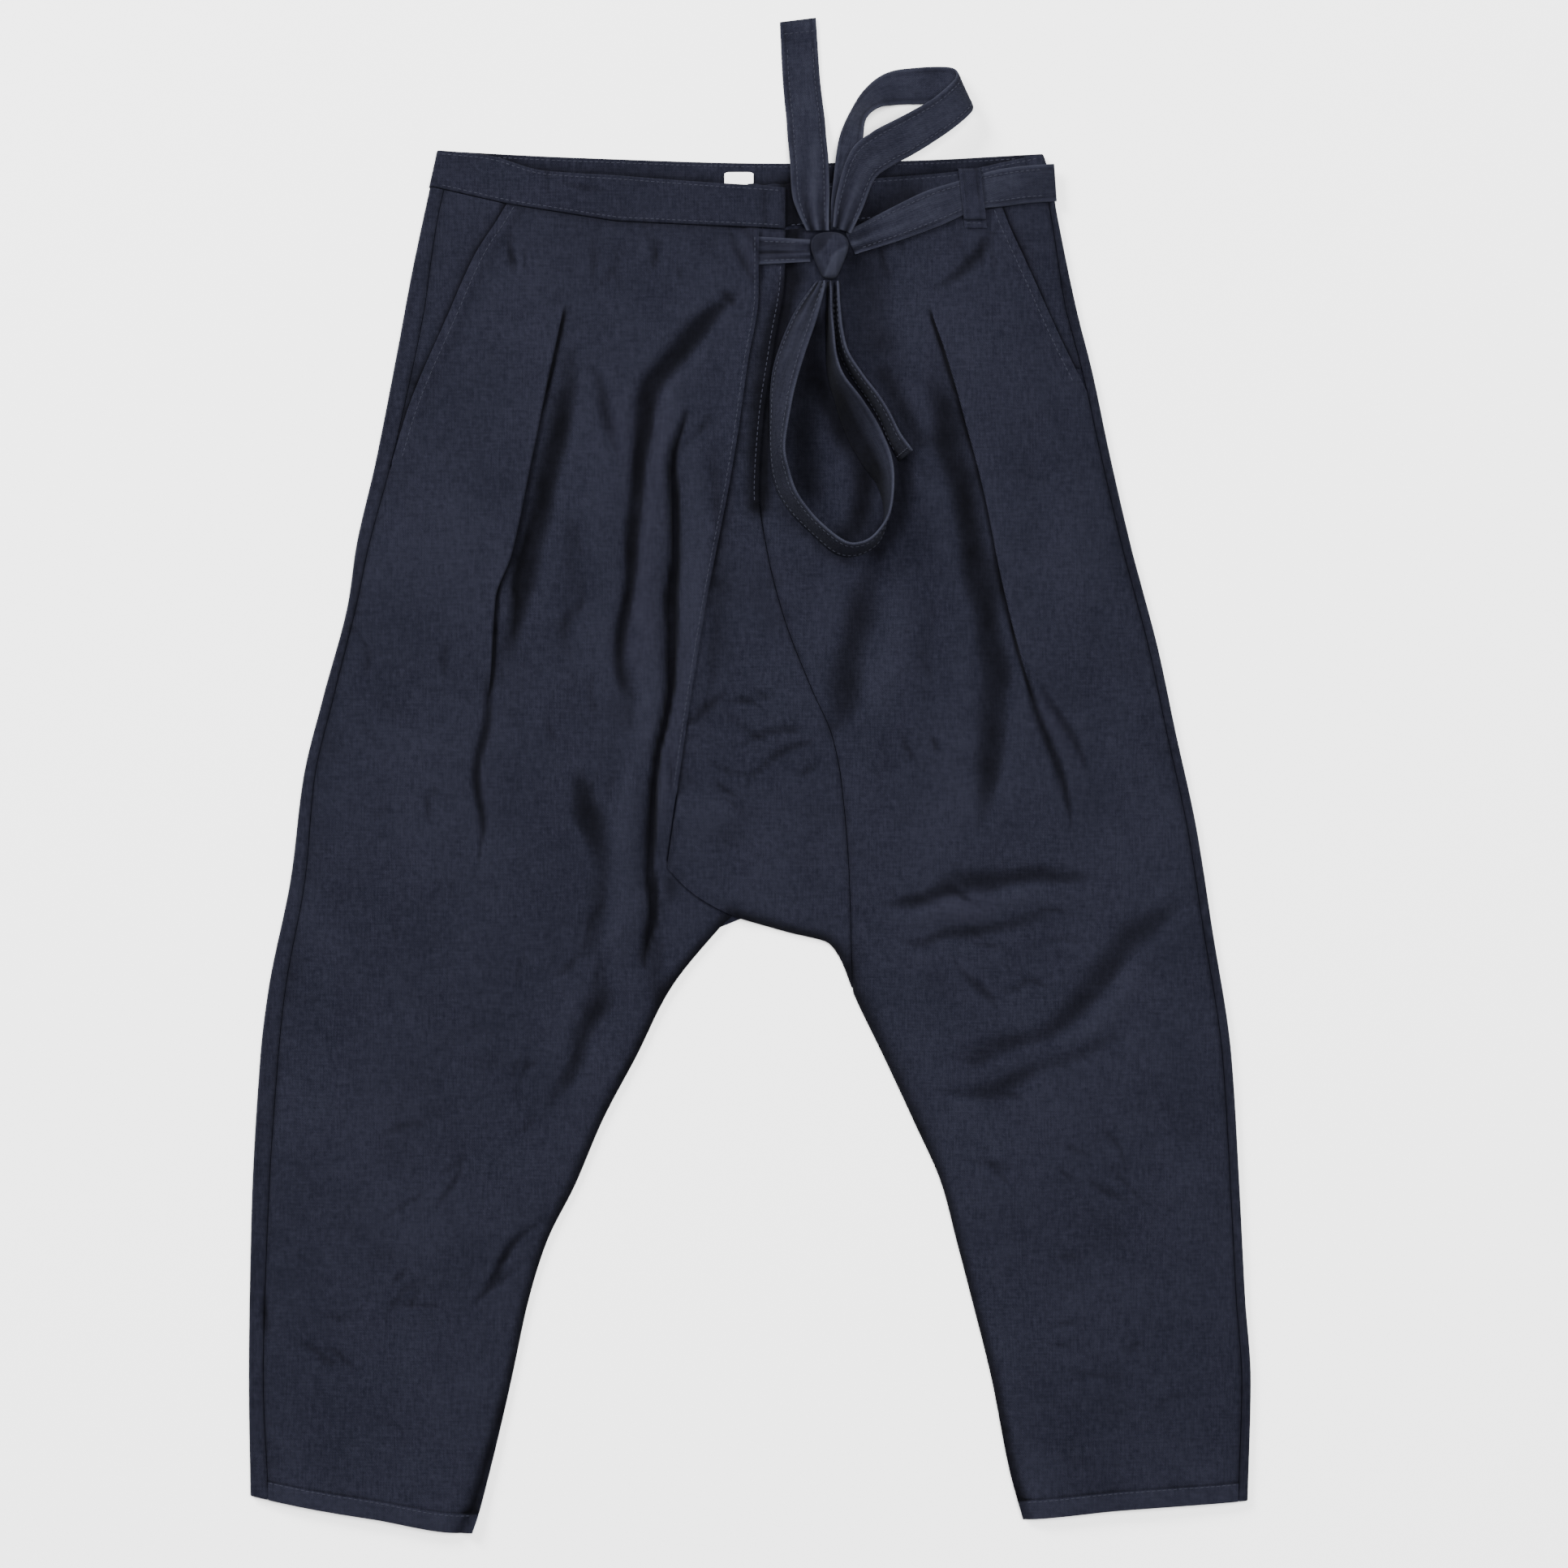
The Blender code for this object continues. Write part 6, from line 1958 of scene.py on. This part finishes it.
class Stitcher:
    """Sews rows of small stitches onto made pieces."""

    LENGTH = 2.7
    GAP = 0.9
    RADIUS = 0.3
    SIDES = 6
    RINGS = ((0.0, 0.4, -0.9), (0.2, 1.0, 0.25), (0.8, 1.0, 0.25), (1.0, 0.4, -0.9))
    ABOVE = 0.1

    def __init__(self, thread: bpy.types.Material) -> None:
        """Keep the thread's material."""
        self.thread = thread

    def sew(self, name: str, lines: Sequence) -> bpy.types.Object:
        """Make one object of all the stitches on a piece.

        Args:
            name: the piece's node name.
            lines: (points, normals) pairs in metres.

        Returns:
            The new object.
        """
        vertices, faces = [], []
        for points, normals in lines:
            for start, end, normal in self.cut(points, normals):
                first = len(vertices) * self.SIDES
                faces += [[corner + first for corner in face] for face in self.capsule_faces()]
                vertices += self.capsule(start, end, normal)
        item = MeshMaker.mesh(f"stitches_{name}", np.array(vertices), faces)
        places = np.array(vertices).reshape(-1, 3)[:, :2]
        MeshMaker.paint(item, "relief", np.zeros(len(places)))
        MeshMaker.map_cloth(item, places)
        item.data.materials.append(self.thread)
        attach(item, BODY)
        return item

    def cut(self, points: np.ndarray, normals: np.ndarray) -> list:
        """Cut a line into stitches.

        Args:
            points: the line's points in metres.
            normals: the way that the cloth faces at each point.

        Returns:
            The two ends and the normal of each stitch.
        """
        walk = np.concatenate([[0], np.cumsum(np.linalg.norm(np.diff(points, axis=0), axis=1))])
        step = (self.LENGTH + self.GAP) * MM
        out = []
        for k in range(int(walk[-1] / step)):
            stops = (k * step, k * step + self.LENGTH * MM)
            start, end = (np.array([np.interp(stop, walk, column) for column in points.T]) for stop in stops)
            normal = np.array([np.interp(stops[0], walk, column) for column in normals.T])
            out.append((start, end, normal / np.linalg.norm(normal)))
        return out

    def capsule(self, start: np.ndarray, end: np.ndarray, normal: np.ndarray) -> list:
        """Return the rings of one stitch, whose ends dip into the cloth.

        Args:
            start: one end in metres.
            end: the other end.
            normal: the way that the cloth faces.

        Returns:
            A list of rings, each with its corners.
        """
        side = np.cross(normal, end - start)
        side /= np.linalg.norm(side)
        radius = self.RADIUS * MM
        turns = np.arange(self.SIDES) * 2 * math.pi / self.SIDES
        circle = np.cos(turns)[:, None] * side + np.sin(turns)[:, None] * normal
        return [mix(start, end, share) + normal * (lift * radius) + circle * (size * radius)
                for share, size, lift in self.RINGS]

    def capsule_faces(self) -> list:
        """Return the faces of one stitch.

        Returns:
            Corner numbers for each face.
        """
        last = (len(self.RINGS) - 1) * self.SIDES
        turn = [(k, (k + 1) % self.SIDES) for k in range(self.SIDES)]
        faces = [[base + k, base + after, base + self.SIDES + after, base + self.SIDES + k]
                 for base in range(0, last, self.SIDES) for k, after in turn]
        return faces + [list(range(self.SIDES))[::-1], [last + k for k in range(self.SIDES)]]

    def on_top(self, item: bpy.types.Object, path: np.ndarray) -> tuple:
        """Lay a flat path down onto a piece from above.

        Args:
            item: the piece.
            path: (down, across) points.

        Returns:
            The points on its upper face and the way that it faces there.
        """
        tree = BVHTree.FromPolygons([vertex.co for vertex in item.data.vertices],
                                    [tuple(face.vertices) for face in item.data.polygons])
        points, normals = [], []
        for start in placed(path[:, 1], path[:, 0], np.full(len(path), self.ABOVE / MM)):
            spot, normal, _, _ = tree.ray_cast(Vector(start), Vector((0, 0, -1)))
            if spot is not None:
                points.append(tuple(spot))
                normals.append(tuple(normal if normal.z > 0 else -normal))
        return np.array(points), np.array(normals)


class NodeKit:
    """Short ways to add and join shader nodes in one tree."""

    def __init__(self, tree: bpy.types.NodeTree) -> None:
        """Keep the tree."""
        self.tree = tree

    def add(self, kind: str, **settings: Any) -> bpy.types.Node:
        """Add a node.

        Args:
            kind: the node's type name.
            settings: properties to set on it.

        Returns:
            The node.
        """
        node = self.tree.nodes.new(kind)
        for key, value in settings.items():
            setattr(node, key, value)
        return node

    def feed(self, socket: bpy.types.NodeSocket, value: Any) -> None:
        """Join a socket to another one, or set its constant."""
        if isinstance(value, bpy.types.NodeSocket):
            self.tree.links.new(value, socket)
        else:
            socket.default_value = value

    def calc(self, operation: str, first: Any, second: Any = None,
             third: Any = None) -> bpy.types.NodeSocket:
        """Add a maths node.

        Args:
            operation: what it works out.
            first: its first value or socket.
            second: its second value or socket.
            third: its third value or socket.

        Returns:
            Its output.
        """
        node = self.add("ShaderNodeMath", operation=operation)
        for socket, value in zip(node.inputs, (first, second, third)):
            if value is not None:
                self.feed(socket, value)
        return node.outputs[0]

    def blend(self, share: Any, first: Any, second: Any) -> bpy.types.NodeSocket:
        """Add a colour mix.

        Args:
            share: how much of the second colour.
            first: the first colour or socket.
            second: the second colour or socket.

        Returns:
            The mixed colour.
        """
        node = self.add("ShaderNodeMix", data_type="RGBA")
        self.feed(node.inputs["Factor"], share)
        self.feed(node.inputs[6], first)
        self.feed(node.inputs[7], second)
        return node.outputs[2]

    def noise(self, vector: bpy.types.NodeSocket, scale: float, detail: float,
              roughness: float) -> bpy.types.NodeSocket:
        """Add a noise texture.

        Args:
            vector: where to read it.
            scale: how many bumps to a metre.
            detail: how many finer layers.
            roughness: how strong the finer layers are.

        Returns:
            Its value.
        """
        node = self.add("ShaderNodeTexNoise")
        self.feed(node.inputs["Vector"], vector)
        self.feed(node.inputs["Scale"], scale)
        node.inputs["Detail"].default_value = detail
        node.inputs["Roughness"].default_value = roughness
        return node.outputs["Fac"]


@dataclass(frozen=True)
class GroupSocket:
    """One input or output of a shared effect."""

    name: str
    kind: str
    is_output: bool = False
    default: float = 0.0


class Effect:
    """A shared shader effect, made once as a node group and placed in each material."""

    name: str = ""
    sockets: tuple = ()

    def __init__(self) -> None:
        """Make the group with its sockets and its nodes."""
        self.tree = bpy.data.node_groups.new(self.name, "ShaderNodeTree")
        for socket in self.sockets:
            made = self.tree.interface.new_socket(
                name=socket.name, in_out="OUTPUT" if socket.is_output else "INPUT", socket_type=socket.kind)
            if socket.kind == "NodeSocketFloat" and not socket.is_output:
                made.default_value = socket.default
        kit = NodeKit(self.tree)
        self.wire(kit, kit.add("NodeGroupInput").outputs, kit.add("NodeGroupOutput").inputs)

    def wire(self, kit: NodeKit, given: bpy.types.NodeOutputs, result: bpy.types.NodeInputs) -> None:
        """Join the effect's nodes."""
        raise NotImplementedError

    def place(self, kit: NodeKit, **values: Any) -> bpy.types.Node:
        """Place the effect in a material with that material's own values.

        Args:
            kit: the material's node kit.
            values: a value or a socket for each input, spaces written as underscores.

        Returns:
            The group node.
        """
        node = kit.add("ShaderNodeGroup")
        node.node_tree = self.tree
        for key, value in values.items():
            kit.feed(node.inputs[key.replace("_", " ")], value)
        return node


class TwillWeave(Effect):
    """The slanted ribs of twill with uneven yarns both ways."""

    name = "twill weave"
    sockets = (
        GroupSocket("Ribs", "NodeSocketFloat", default=1000.0),
        GroupSocket("Slub", "NodeSocketFloat", default=0.4),
        GroupSocket("Height", "NodeSocketFloat", is_output=True),
        GroupSocket("Shade", "NodeSocketFloat", is_output=True),
    )

    def wire(self, kit: NodeKit, given: bpy.types.NodeOutputs, result: bpy.types.NodeInputs) -> None:
        """Join the effect's nodes.

        Args:
            kit: the group's node kit.
            given: the group's inputs.
            result: the group's outputs.
        """
        place = kit.add("ShaderNodeUVMap", uv_map="cloth").outputs["UV"]
        parts = kit.add("ShaderNodeSeparateXYZ")
        kit.feed(parts.inputs[0], place)
        slant = kit.calc("MULTIPLY_ADD", parts.outputs["Y"], 0.7, parts.outputs["X"])
        wobble = kit.calc("MULTIPLY", kit.noise(place, 260.0, 2.0, 0.5), 0.0022)
        phase = kit.calc("MULTIPLY", kit.calc("ADD", slant, wobble), given["Ribs"])
        wave = kit.calc("SINE", kit.calc("MULTIPLY", phase, 2 * math.pi))
        rib = kit.calc("MULTIPLY_ADD", wave, 0.5, 0.5)
        warp = self.yarns(kit, place, (1000.0, 70.0, 1.0))
        weft = self.yarns(kit, place, (60.0, 850.0, 1.0))
        yarn = kit.calc("MULTIPLY_ADD", warp, 0.6, kit.calc("MULTIPLY", weft, 0.4))
        uneven = kit.calc("MULTIPLY", yarn, given["Slub"])
        kit.feed(result["Height"], kit.calc("MULTIPLY_ADD", rib, 0.6, kit.calc("MULTIPLY", uneven, 2.0)))
        kit.feed(result["Shade"], kit.calc("MULTIPLY_ADD", rib, 0.2, kit.calc("MULTIPLY", yarn, 0.8)))

    @staticmethod
    def yarns(kit: NodeKit, place: bpy.types.NodeSocket, stretch: tuple) -> bpy.types.NodeSocket:
        """Add long uneven yarns.

        Args:
            kit: the group's node kit.
            place: where to read them.
            stretch: how many bumps to a metre each way.

        Returns:
            Their value.
        """
        scaled = kit.add("ShaderNodeVectorMath", operation="MULTIPLY")
        kit.feed(scaled.inputs[0], place)
        scaled.inputs[1].default_value = stretch
        return kit.noise(scaled.outputs[0], 1.0, 2.0, 0.6)


class DyeMottle(Effect):
    """Uneven garment dye: soft clouds, finer specks and the yarns' own shade."""

    name = "dye mottle"
    CLOUDS = 11.0
    SPECKS = 330.0
    sockets = (
        GroupSocket("Cloth", "NodeSocketColor"),
        GroupSocket("Faded", "NodeSocketColor"),
        GroupSocket("Clouds", "NodeSocketFloat", default=0.4),
        GroupSocket("Specks", "NodeSocketFloat", default=0.3),
        GroupSocket("Yarns", "NodeSocketFloat", default=0.3),
        GroupSocket("Weave", "NodeSocketFloat", default=0.5),
        GroupSocket("Color", "NodeSocketColor", is_output=True),
    )

    def wire(self, kit: NodeKit, given: bpy.types.NodeOutputs, result: bpy.types.NodeInputs) -> None:
        """Join the effect's nodes.

        Args:
            kit: the group's node kit.
            given: the group's inputs.
            result: the group's outputs.
        """
        place = kit.add("ShaderNodeTexCoord").outputs["Object"]
        clouds = kit.noise(place, self.CLOUDS, 4.0, 0.55)
        specks = kit.noise(place, self.SPECKS, 4.0, 0.7)
        layers = ((clouds, given["Clouds"]), (specks, given["Specks"]), (given["Weave"], given["Yarns"]))
        share = 0.5
        for value, strength in layers:
            centred = kit.calc("MULTIPLY_ADD", value, 2.0, -1.0)
            share = kit.calc("MULTIPLY_ADD", centred, strength, share)
        limited = kit.add("ShaderNodeClamp")
        kit.feed(limited.inputs["Value"], share)
        kit.feed(result["Color"], kit.blend(limited.outputs[0], given["Cloth"], given["Faded"]))


class FoldWearAndShade(Effect):
    """Paler ridges, where the cloth rubs, and painted shade in its hollows."""

    name = "fold wear"
    sockets = (
        GroupSocket("Color", "NodeSocketColor"),
        GroupSocket("Worn", "NodeSocketColor"),
        GroupSocket("Deep", "NodeSocketColor"),
        GroupSocket("Wear", "NodeSocketFloat", default=0.4),
        GroupSocket("Depth", "NodeSocketFloat", default=0.4),
        GroupSocket("Result", "NodeSocketColor", is_output=True),
        GroupSocket("Roughness", "NodeSocketFloat", is_output=True),
    )

    def wire(self, kit: NodeKit, given: bpy.types.NodeOutputs, result: bpy.types.NodeInputs) -> None:
        """Join the effect's nodes.

        Args:
            kit: the group's node kit.
            given: the group's inputs.
            result: the group's outputs.
        """
        relief = kit.add("ShaderNodeAttribute", attribute_name="relief").outputs["Fac"]
        place = kit.add("ShaderNodeTexCoord").outputs["Object"]
        break_up = kit.calc("MULTIPLY_ADD", kit.noise(place, 90.0, 3.0, 0.6), 0.9, 0.5)
        # Ridges are paled as wear; hollows get painted shade, mixed towards the shade colour.
        ridge = kit.calc("MAXIMUM", relief, 0.0)
        hollow = kit.calc("MAXIMUM", kit.calc("MULTIPLY", relief, -1.0), 0.0)
        worn = kit.calc("MULTIPLY", kit.calc("MULTIPLY", ridge, break_up), given["Wear"])
        patchy = kit.calc("MULTIPLY_ADD", kit.noise(place, 55.0, 4.0, 0.6), 0.7, 0.65)
        deep = kit.calc("MULTIPLY", kit.calc("MULTIPLY", hollow, patchy), given["Depth"])
        pale = kit.blend(worn, given["Color"], given["Worn"])
        kit.feed(result["Result"], kit.blend(deep, pale, given["Deep"]))
        kit.feed(result["Roughness"], kit.calc("MULTIPLY_ADD", worn, -0.06, 0.95))


@dataclass(frozen=True)
class Finish:
    """The numbers of one cloth finish."""

    name: str
    cloth: tuple
    faded: tuple
    worn: tuple
    # deep is the colour of the painted shade in hollows, and depth how strongly it is painted.
    deep: tuple
    ribs: float
    clouds: float
    specks: float
    yarns: float
    wear: float
    depth: float
    bump: float
    specular: float
    sheen: float


SHEEN_TINT = (0.55, 0.58, 0.7, 1)
# The colour of the painted shade in the cloth's hollows.
PAINTED_SHADE_NAVY = (0.0008, 0.0008, 0.0015, 1)
FINISHES = {
    Slot.TWILL: Finish("navy twill", (0.0035, 0.0038, 0.0072, 1), (0.0098, 0.0102, 0.0168, 1),
                       (0.022, 0.023, 0.035, 1), PAINTED_SHADE_NAVY,
                       950.0, 0.5, 0.8, 1.3, 0.14, 0.92, 0.0005, 0.04, 0.01),
    Slot.TAPE: Finish("navy tape", (0.0042, 0.0045, 0.0084, 1), (0.0112, 0.0118, 0.0186, 1),
                      (0.03, 0.032, 0.046, 1), PAINTED_SHADE_NAVY,
                      1000.0, 0.4, 0.6, 1.1, 0.5, 0.92, 0.0004, 0.04, 0.015),
    Slot.LABEL: Finish("white label", (0.8, 0.8, 0.78, 1), (0.86, 0.86, 0.85, 1), (0.9, 0.9, 0.9, 1),
                       (0.6, 0.6, 0.6, 1),
                       1500.0, 0.2, 0.2, 0.2, 0.1, 0.1, 0.0002, 0.3, 0.0),
}
THREAD = Finish("navy thread", (0.007, 0.0076, 0.013, 1), (0.017, 0.018, 0.028, 1), (0.03, 0.031, 0.045, 1),
                PAINTED_SHADE_NAVY, 2500.0, 0.3, 0.3, 0.6, 0.1, 0.2, 0.0001, 0.15, 0.05)


class Dyer:
    """Makes the cloth materials out of the shared effects."""

    def __init__(self) -> None:
        """Make the shared effects."""
        self.weave = TwillWeave()
        self.mottle = DyeMottle()
        self.wear = FoldWearAndShade()

    def material(self, finish: Finish) -> bpy.types.Material:
        """Make one cloth material.

        Args:
            finish: its numbers.

        Returns:
            The material.
        """
        material = bpy.data.materials.new(finish.name)
        material.use_nodes = True
        tree = material.node_tree
        shader = tree.nodes["Principled BSDF"]
        kit = NodeKit(tree)
        weave = self.weave.place(kit, Ribs=finish.ribs, Slub=0.6)
        mottle = self.mottle.place(kit, Cloth=finish.cloth, Faded=finish.faded, Clouds=finish.clouds,
                                   Specks=finish.specks, Yarns=finish.yarns, Weave=weave.outputs["Shade"])
        # Wear on the ridges and painted shade in the hollows.
        worn = self.wear.place(kit, Color=mottle.outputs["Color"], Worn=finish.worn, Deep=finish.deep,
                               Wear=finish.wear, Depth=finish.depth)
        kit.feed(shader.inputs["Base Color"], worn.outputs["Result"])
        kit.feed(shader.inputs["Roughness"], worn.outputs["Roughness"])
        bump = kit.add("ShaderNodeBump")
        bump.inputs["Distance"].default_value = finish.bump
        bump.inputs["Strength"].default_value = 0.8
        kit.feed(bump.inputs["Height"], weave.outputs["Height"])
        kit.feed(shader.inputs["Normal"], bump.outputs["Normal"])
        shader.inputs["Specular IOR Level"].default_value = finish.specular
        shader.inputs["Sheen Weight"].default_value = finish.sheen
        shader.inputs["Sheen Roughness"].default_value = 0.5
        shader.inputs["Sheen Tint"].default_value = SHEEN_TINT
        return material


class Studio:
    """A plain pale floor, soft light and a camera straight above."""

    CAMERA_HEIGHT = 4.0
    FRAME_WIDTH = 1.0433
    SENSOR = 36.0
    CAMERA_ACROSS = 0.0228
    CAMERA_UP = -0.0059
    FLOOR_SIZE = 12.0
    FLOOR_GAP = 0.0004

    def floor(self) -> None:
        """Lay the floor just under the trousers."""
        half = self.FLOOR_SIZE / 2
        data = bpy.data.meshes.new("floor")
        corners = [(-half, -half, 0), (half, -half, 0), (half, half, 0), (-half, half, 0)]
        data.from_pydata(corners, [], [(0, 1, 2, 3)])
        item = bpy.data.objects.new("floor", data)
        item.location.z = -self.FLOOR_GAP
        bpy.context.scene.collection.objects.link(item)
        material = bpy.data.materials.new("pale floor")
        material.use_nodes = True
        shader = material.node_tree.nodes["Principled BSDF"]
        shader.inputs["Base Color"].default_value = (0.93, 0.93, 0.93, 1)
        shader.inputs["Roughness"].default_value = 0.9
        shader.inputs["Specular IOR Level"].default_value = 0.1
        data.materials.append(material)

    def light(self, name: str, place: tuple, size: float, power: float) -> None:
        """Add one soft light that faces the trousers.

        Args:
            name: the light's name.
            place: where it is, in metres.
            size: its width, in metres.
            power: its power, in watts.
        """
        data = bpy.data.lights.new(name, "AREA")
        data.shape = "SQUARE"
        data.size = size
        data.energy = power
        item = bpy.data.objects.new(name, data)
        item.location = place
        item.rotation_euler = (-Vector(place)).to_track_quat("-Z", "Y").to_euler()
        bpy.context.scene.collection.objects.link(item)

    def world(self) -> None:
        """Fill the room with even light."""
        world = bpy.data.worlds.new("even light")
        world.use_nodes = True
        shader = world.node_tree.nodes["Background"]
        shader.inputs["Color"].default_value = (1, 1, 1, 1)
        shader.inputs["Strength"].default_value = 0.45
        bpy.context.scene.world = world

    def camera(self) -> None:
        """Put the camera straight above, as in the photo."""
        data = bpy.data.cameras.new("camera")
        data.sensor_width = self.SENSOR
        data.lens = self.SENSOR * self.CAMERA_HEIGHT / self.FRAME_WIDTH
        item = bpy.data.objects.new("camera", data)
        item.location = (self.CAMERA_ACROSS, self.CAMERA_UP, self.CAMERA_HEIGHT)
        bpy.context.scene.collection.objects.link(item)
        bpy.context.scene.camera = item

    def set_up(self) -> None:
        """Make the floor, the lights and the camera."""
        self.floor()
        self.world()
        self.light("window", (-3.0, 3.2, 2.8), 2.0, 600.0)
        self.light("ceiling", (0.8, 0.6, 6.0), 3.0, 1100.0)
        self.camera()


def cloth_pieces(cloth: HeightField) -> list:
    """Return every piece of the trousers.

    Args:
        cloth: the front cloth's height field.

    Returns:
        The pieces, not made yet.
    """
    paths = RibbonPaths
    strips = (
        Strip("tie_left", paths.tie_left, ((False, 0.6),), "laid"),
        Strip("tie_right", paths.tie_right, ((False, 0.5),), "laid", groove=0.44),
        Strip("bow_end_up", paths.stations(BOW_END_UP), ((True, 0.8),), "laid", free_end=True),
        Strip("bow_loop_up", paths.stations(BOW_LOOP_UP), ((True, 0.7), (False, 0.5))),
        Strip("bow_loop_down", paths.standing(BOW_LOOP_DOWN), ((True, 0.7), (False, 0.5)), foot=(0.4, 1.9)),
        Strip("bow_end_down", paths.standing(BOW_END_DOWN), ((True, 0.6),), foot=(1.1, 1.1),
              free_end=True),
        Strip("belt_loop", paths.belt_loop, (), "folded", Slot.TWILL, CLOTH),
        Strip("size_label", paths.label, (), "laid", Slot.LABEL, 1.0),
    )
    return [
        BackLeg(cloth, -1), BackLeg(cloth, 1), FrontRight(cloth), FrontLeft(cloth), FrontCentre(cloth),
        HipPiece(cloth, -1), HipPiece(cloth, 1), FrontBand(cloth, -1), FrontBand(cloth, 1), BackBand(cloth),
        *[Ribbon(cloth, strip) for strip in strips],
        Knot(cloth),
    ]


def stitch_paths() -> dict:
    """Return the flat paths of the stitch rows on the panels.

    Returns:
        Lists of (down, across) paths by node name.
    """
    def moved(path: np.ndarray, down: float, across: float) -> np.ndarray:
        """Return a rounded path beside the given one."""
        return smooth_path(path + np.array([down, across]), 8)

    hem_right = top_edge(HEM, -320, -184)
    hem_left = top_edge(HEM, 184, 324)
    return {
        "front_right": [moved(down_line(POCKET_RIGHT, 52, 206), 0, 6),
                        moved(down_line(PLACKET, 56, 425), 0, -2.6), moved(hem_right, -HEM_STITCH, 0)],
        "front_left": [moved(down_line(POCKET_LEFT, 52, 156), 0, -6), moved(hem_left, -HEM_STITCH, 0)],
        "front_centre": [moved(down_line(WRAP, 60, 236), 0, -3)],
        "waistband_right": [moved(top_seam(-205, 20), -2.8, 0),
                            moved(top_edge(RIGHT_BAND_TOP, -205, 20), 2.4, 0)],
        "waistband_left": [moved(top_seam(27, 192), -2.8, 0),
                           moved(top_edge(LEFT_BAND_TOP, 27, 192), 2.4, 0)],
        "waistband_back": [moved(top_edge(BACK_BAND, -190, 180), 2.4, 0)],
        "belt_loop": [np.array([(14.0, 140.4), (49.0, 144.6)]), np.array([(14.0, 150.6), (49.0, 154.6)]),
                      np.array([(49.2, 143.4), (49.2, 155.6)])],
    }


def sew_all(made: dict, thread: bpy.types.Material) -> dict:
    """Sew the stitches on the panels and along the tie.

    Args:
        made: the object and the piece, by node name.
        thread: the thread's material.

    Returns:
        The stitches' objects by node name.
    """
    stitcher = Stitcher(thread)
    sewn = {}
    for name, paths in stitch_paths().items():
        item, piece = made[name]
        sewn[name] = stitcher.sew(name, [stitcher.on_top(item, path) for path in paths])
    for name, (_, piece) in made.items():
        if isinstance(piece, Ribbon) and piece.slot is Slot.TAPE:
            sewn[name] = stitcher.sew(name, piece.stitch_lines())
    return sewn


def main() -> None:
    """Build the trousers, their finishes and the studio."""
    logging.basicConfig(level=logging.INFO, format="%(name)s: %(message)s")
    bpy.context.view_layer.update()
    dyer = Dyer()
    finishes = {slot: dyer.material(finish) for slot, finish in FINISHES.items()}
    cloth = HeightField()
    made = {}
    for piece in cloth_pieces(cloth):
        item = piece.make(finishes)
        made[piece.name] = (item, piece)
        LOG.info("%s: %d faces", piece.name, len(item.data.polygons))
    sewn = sew_all(made, dyer.material(THREAD))
    Studio().set_up()


if __name__ == "__main__":
    main()
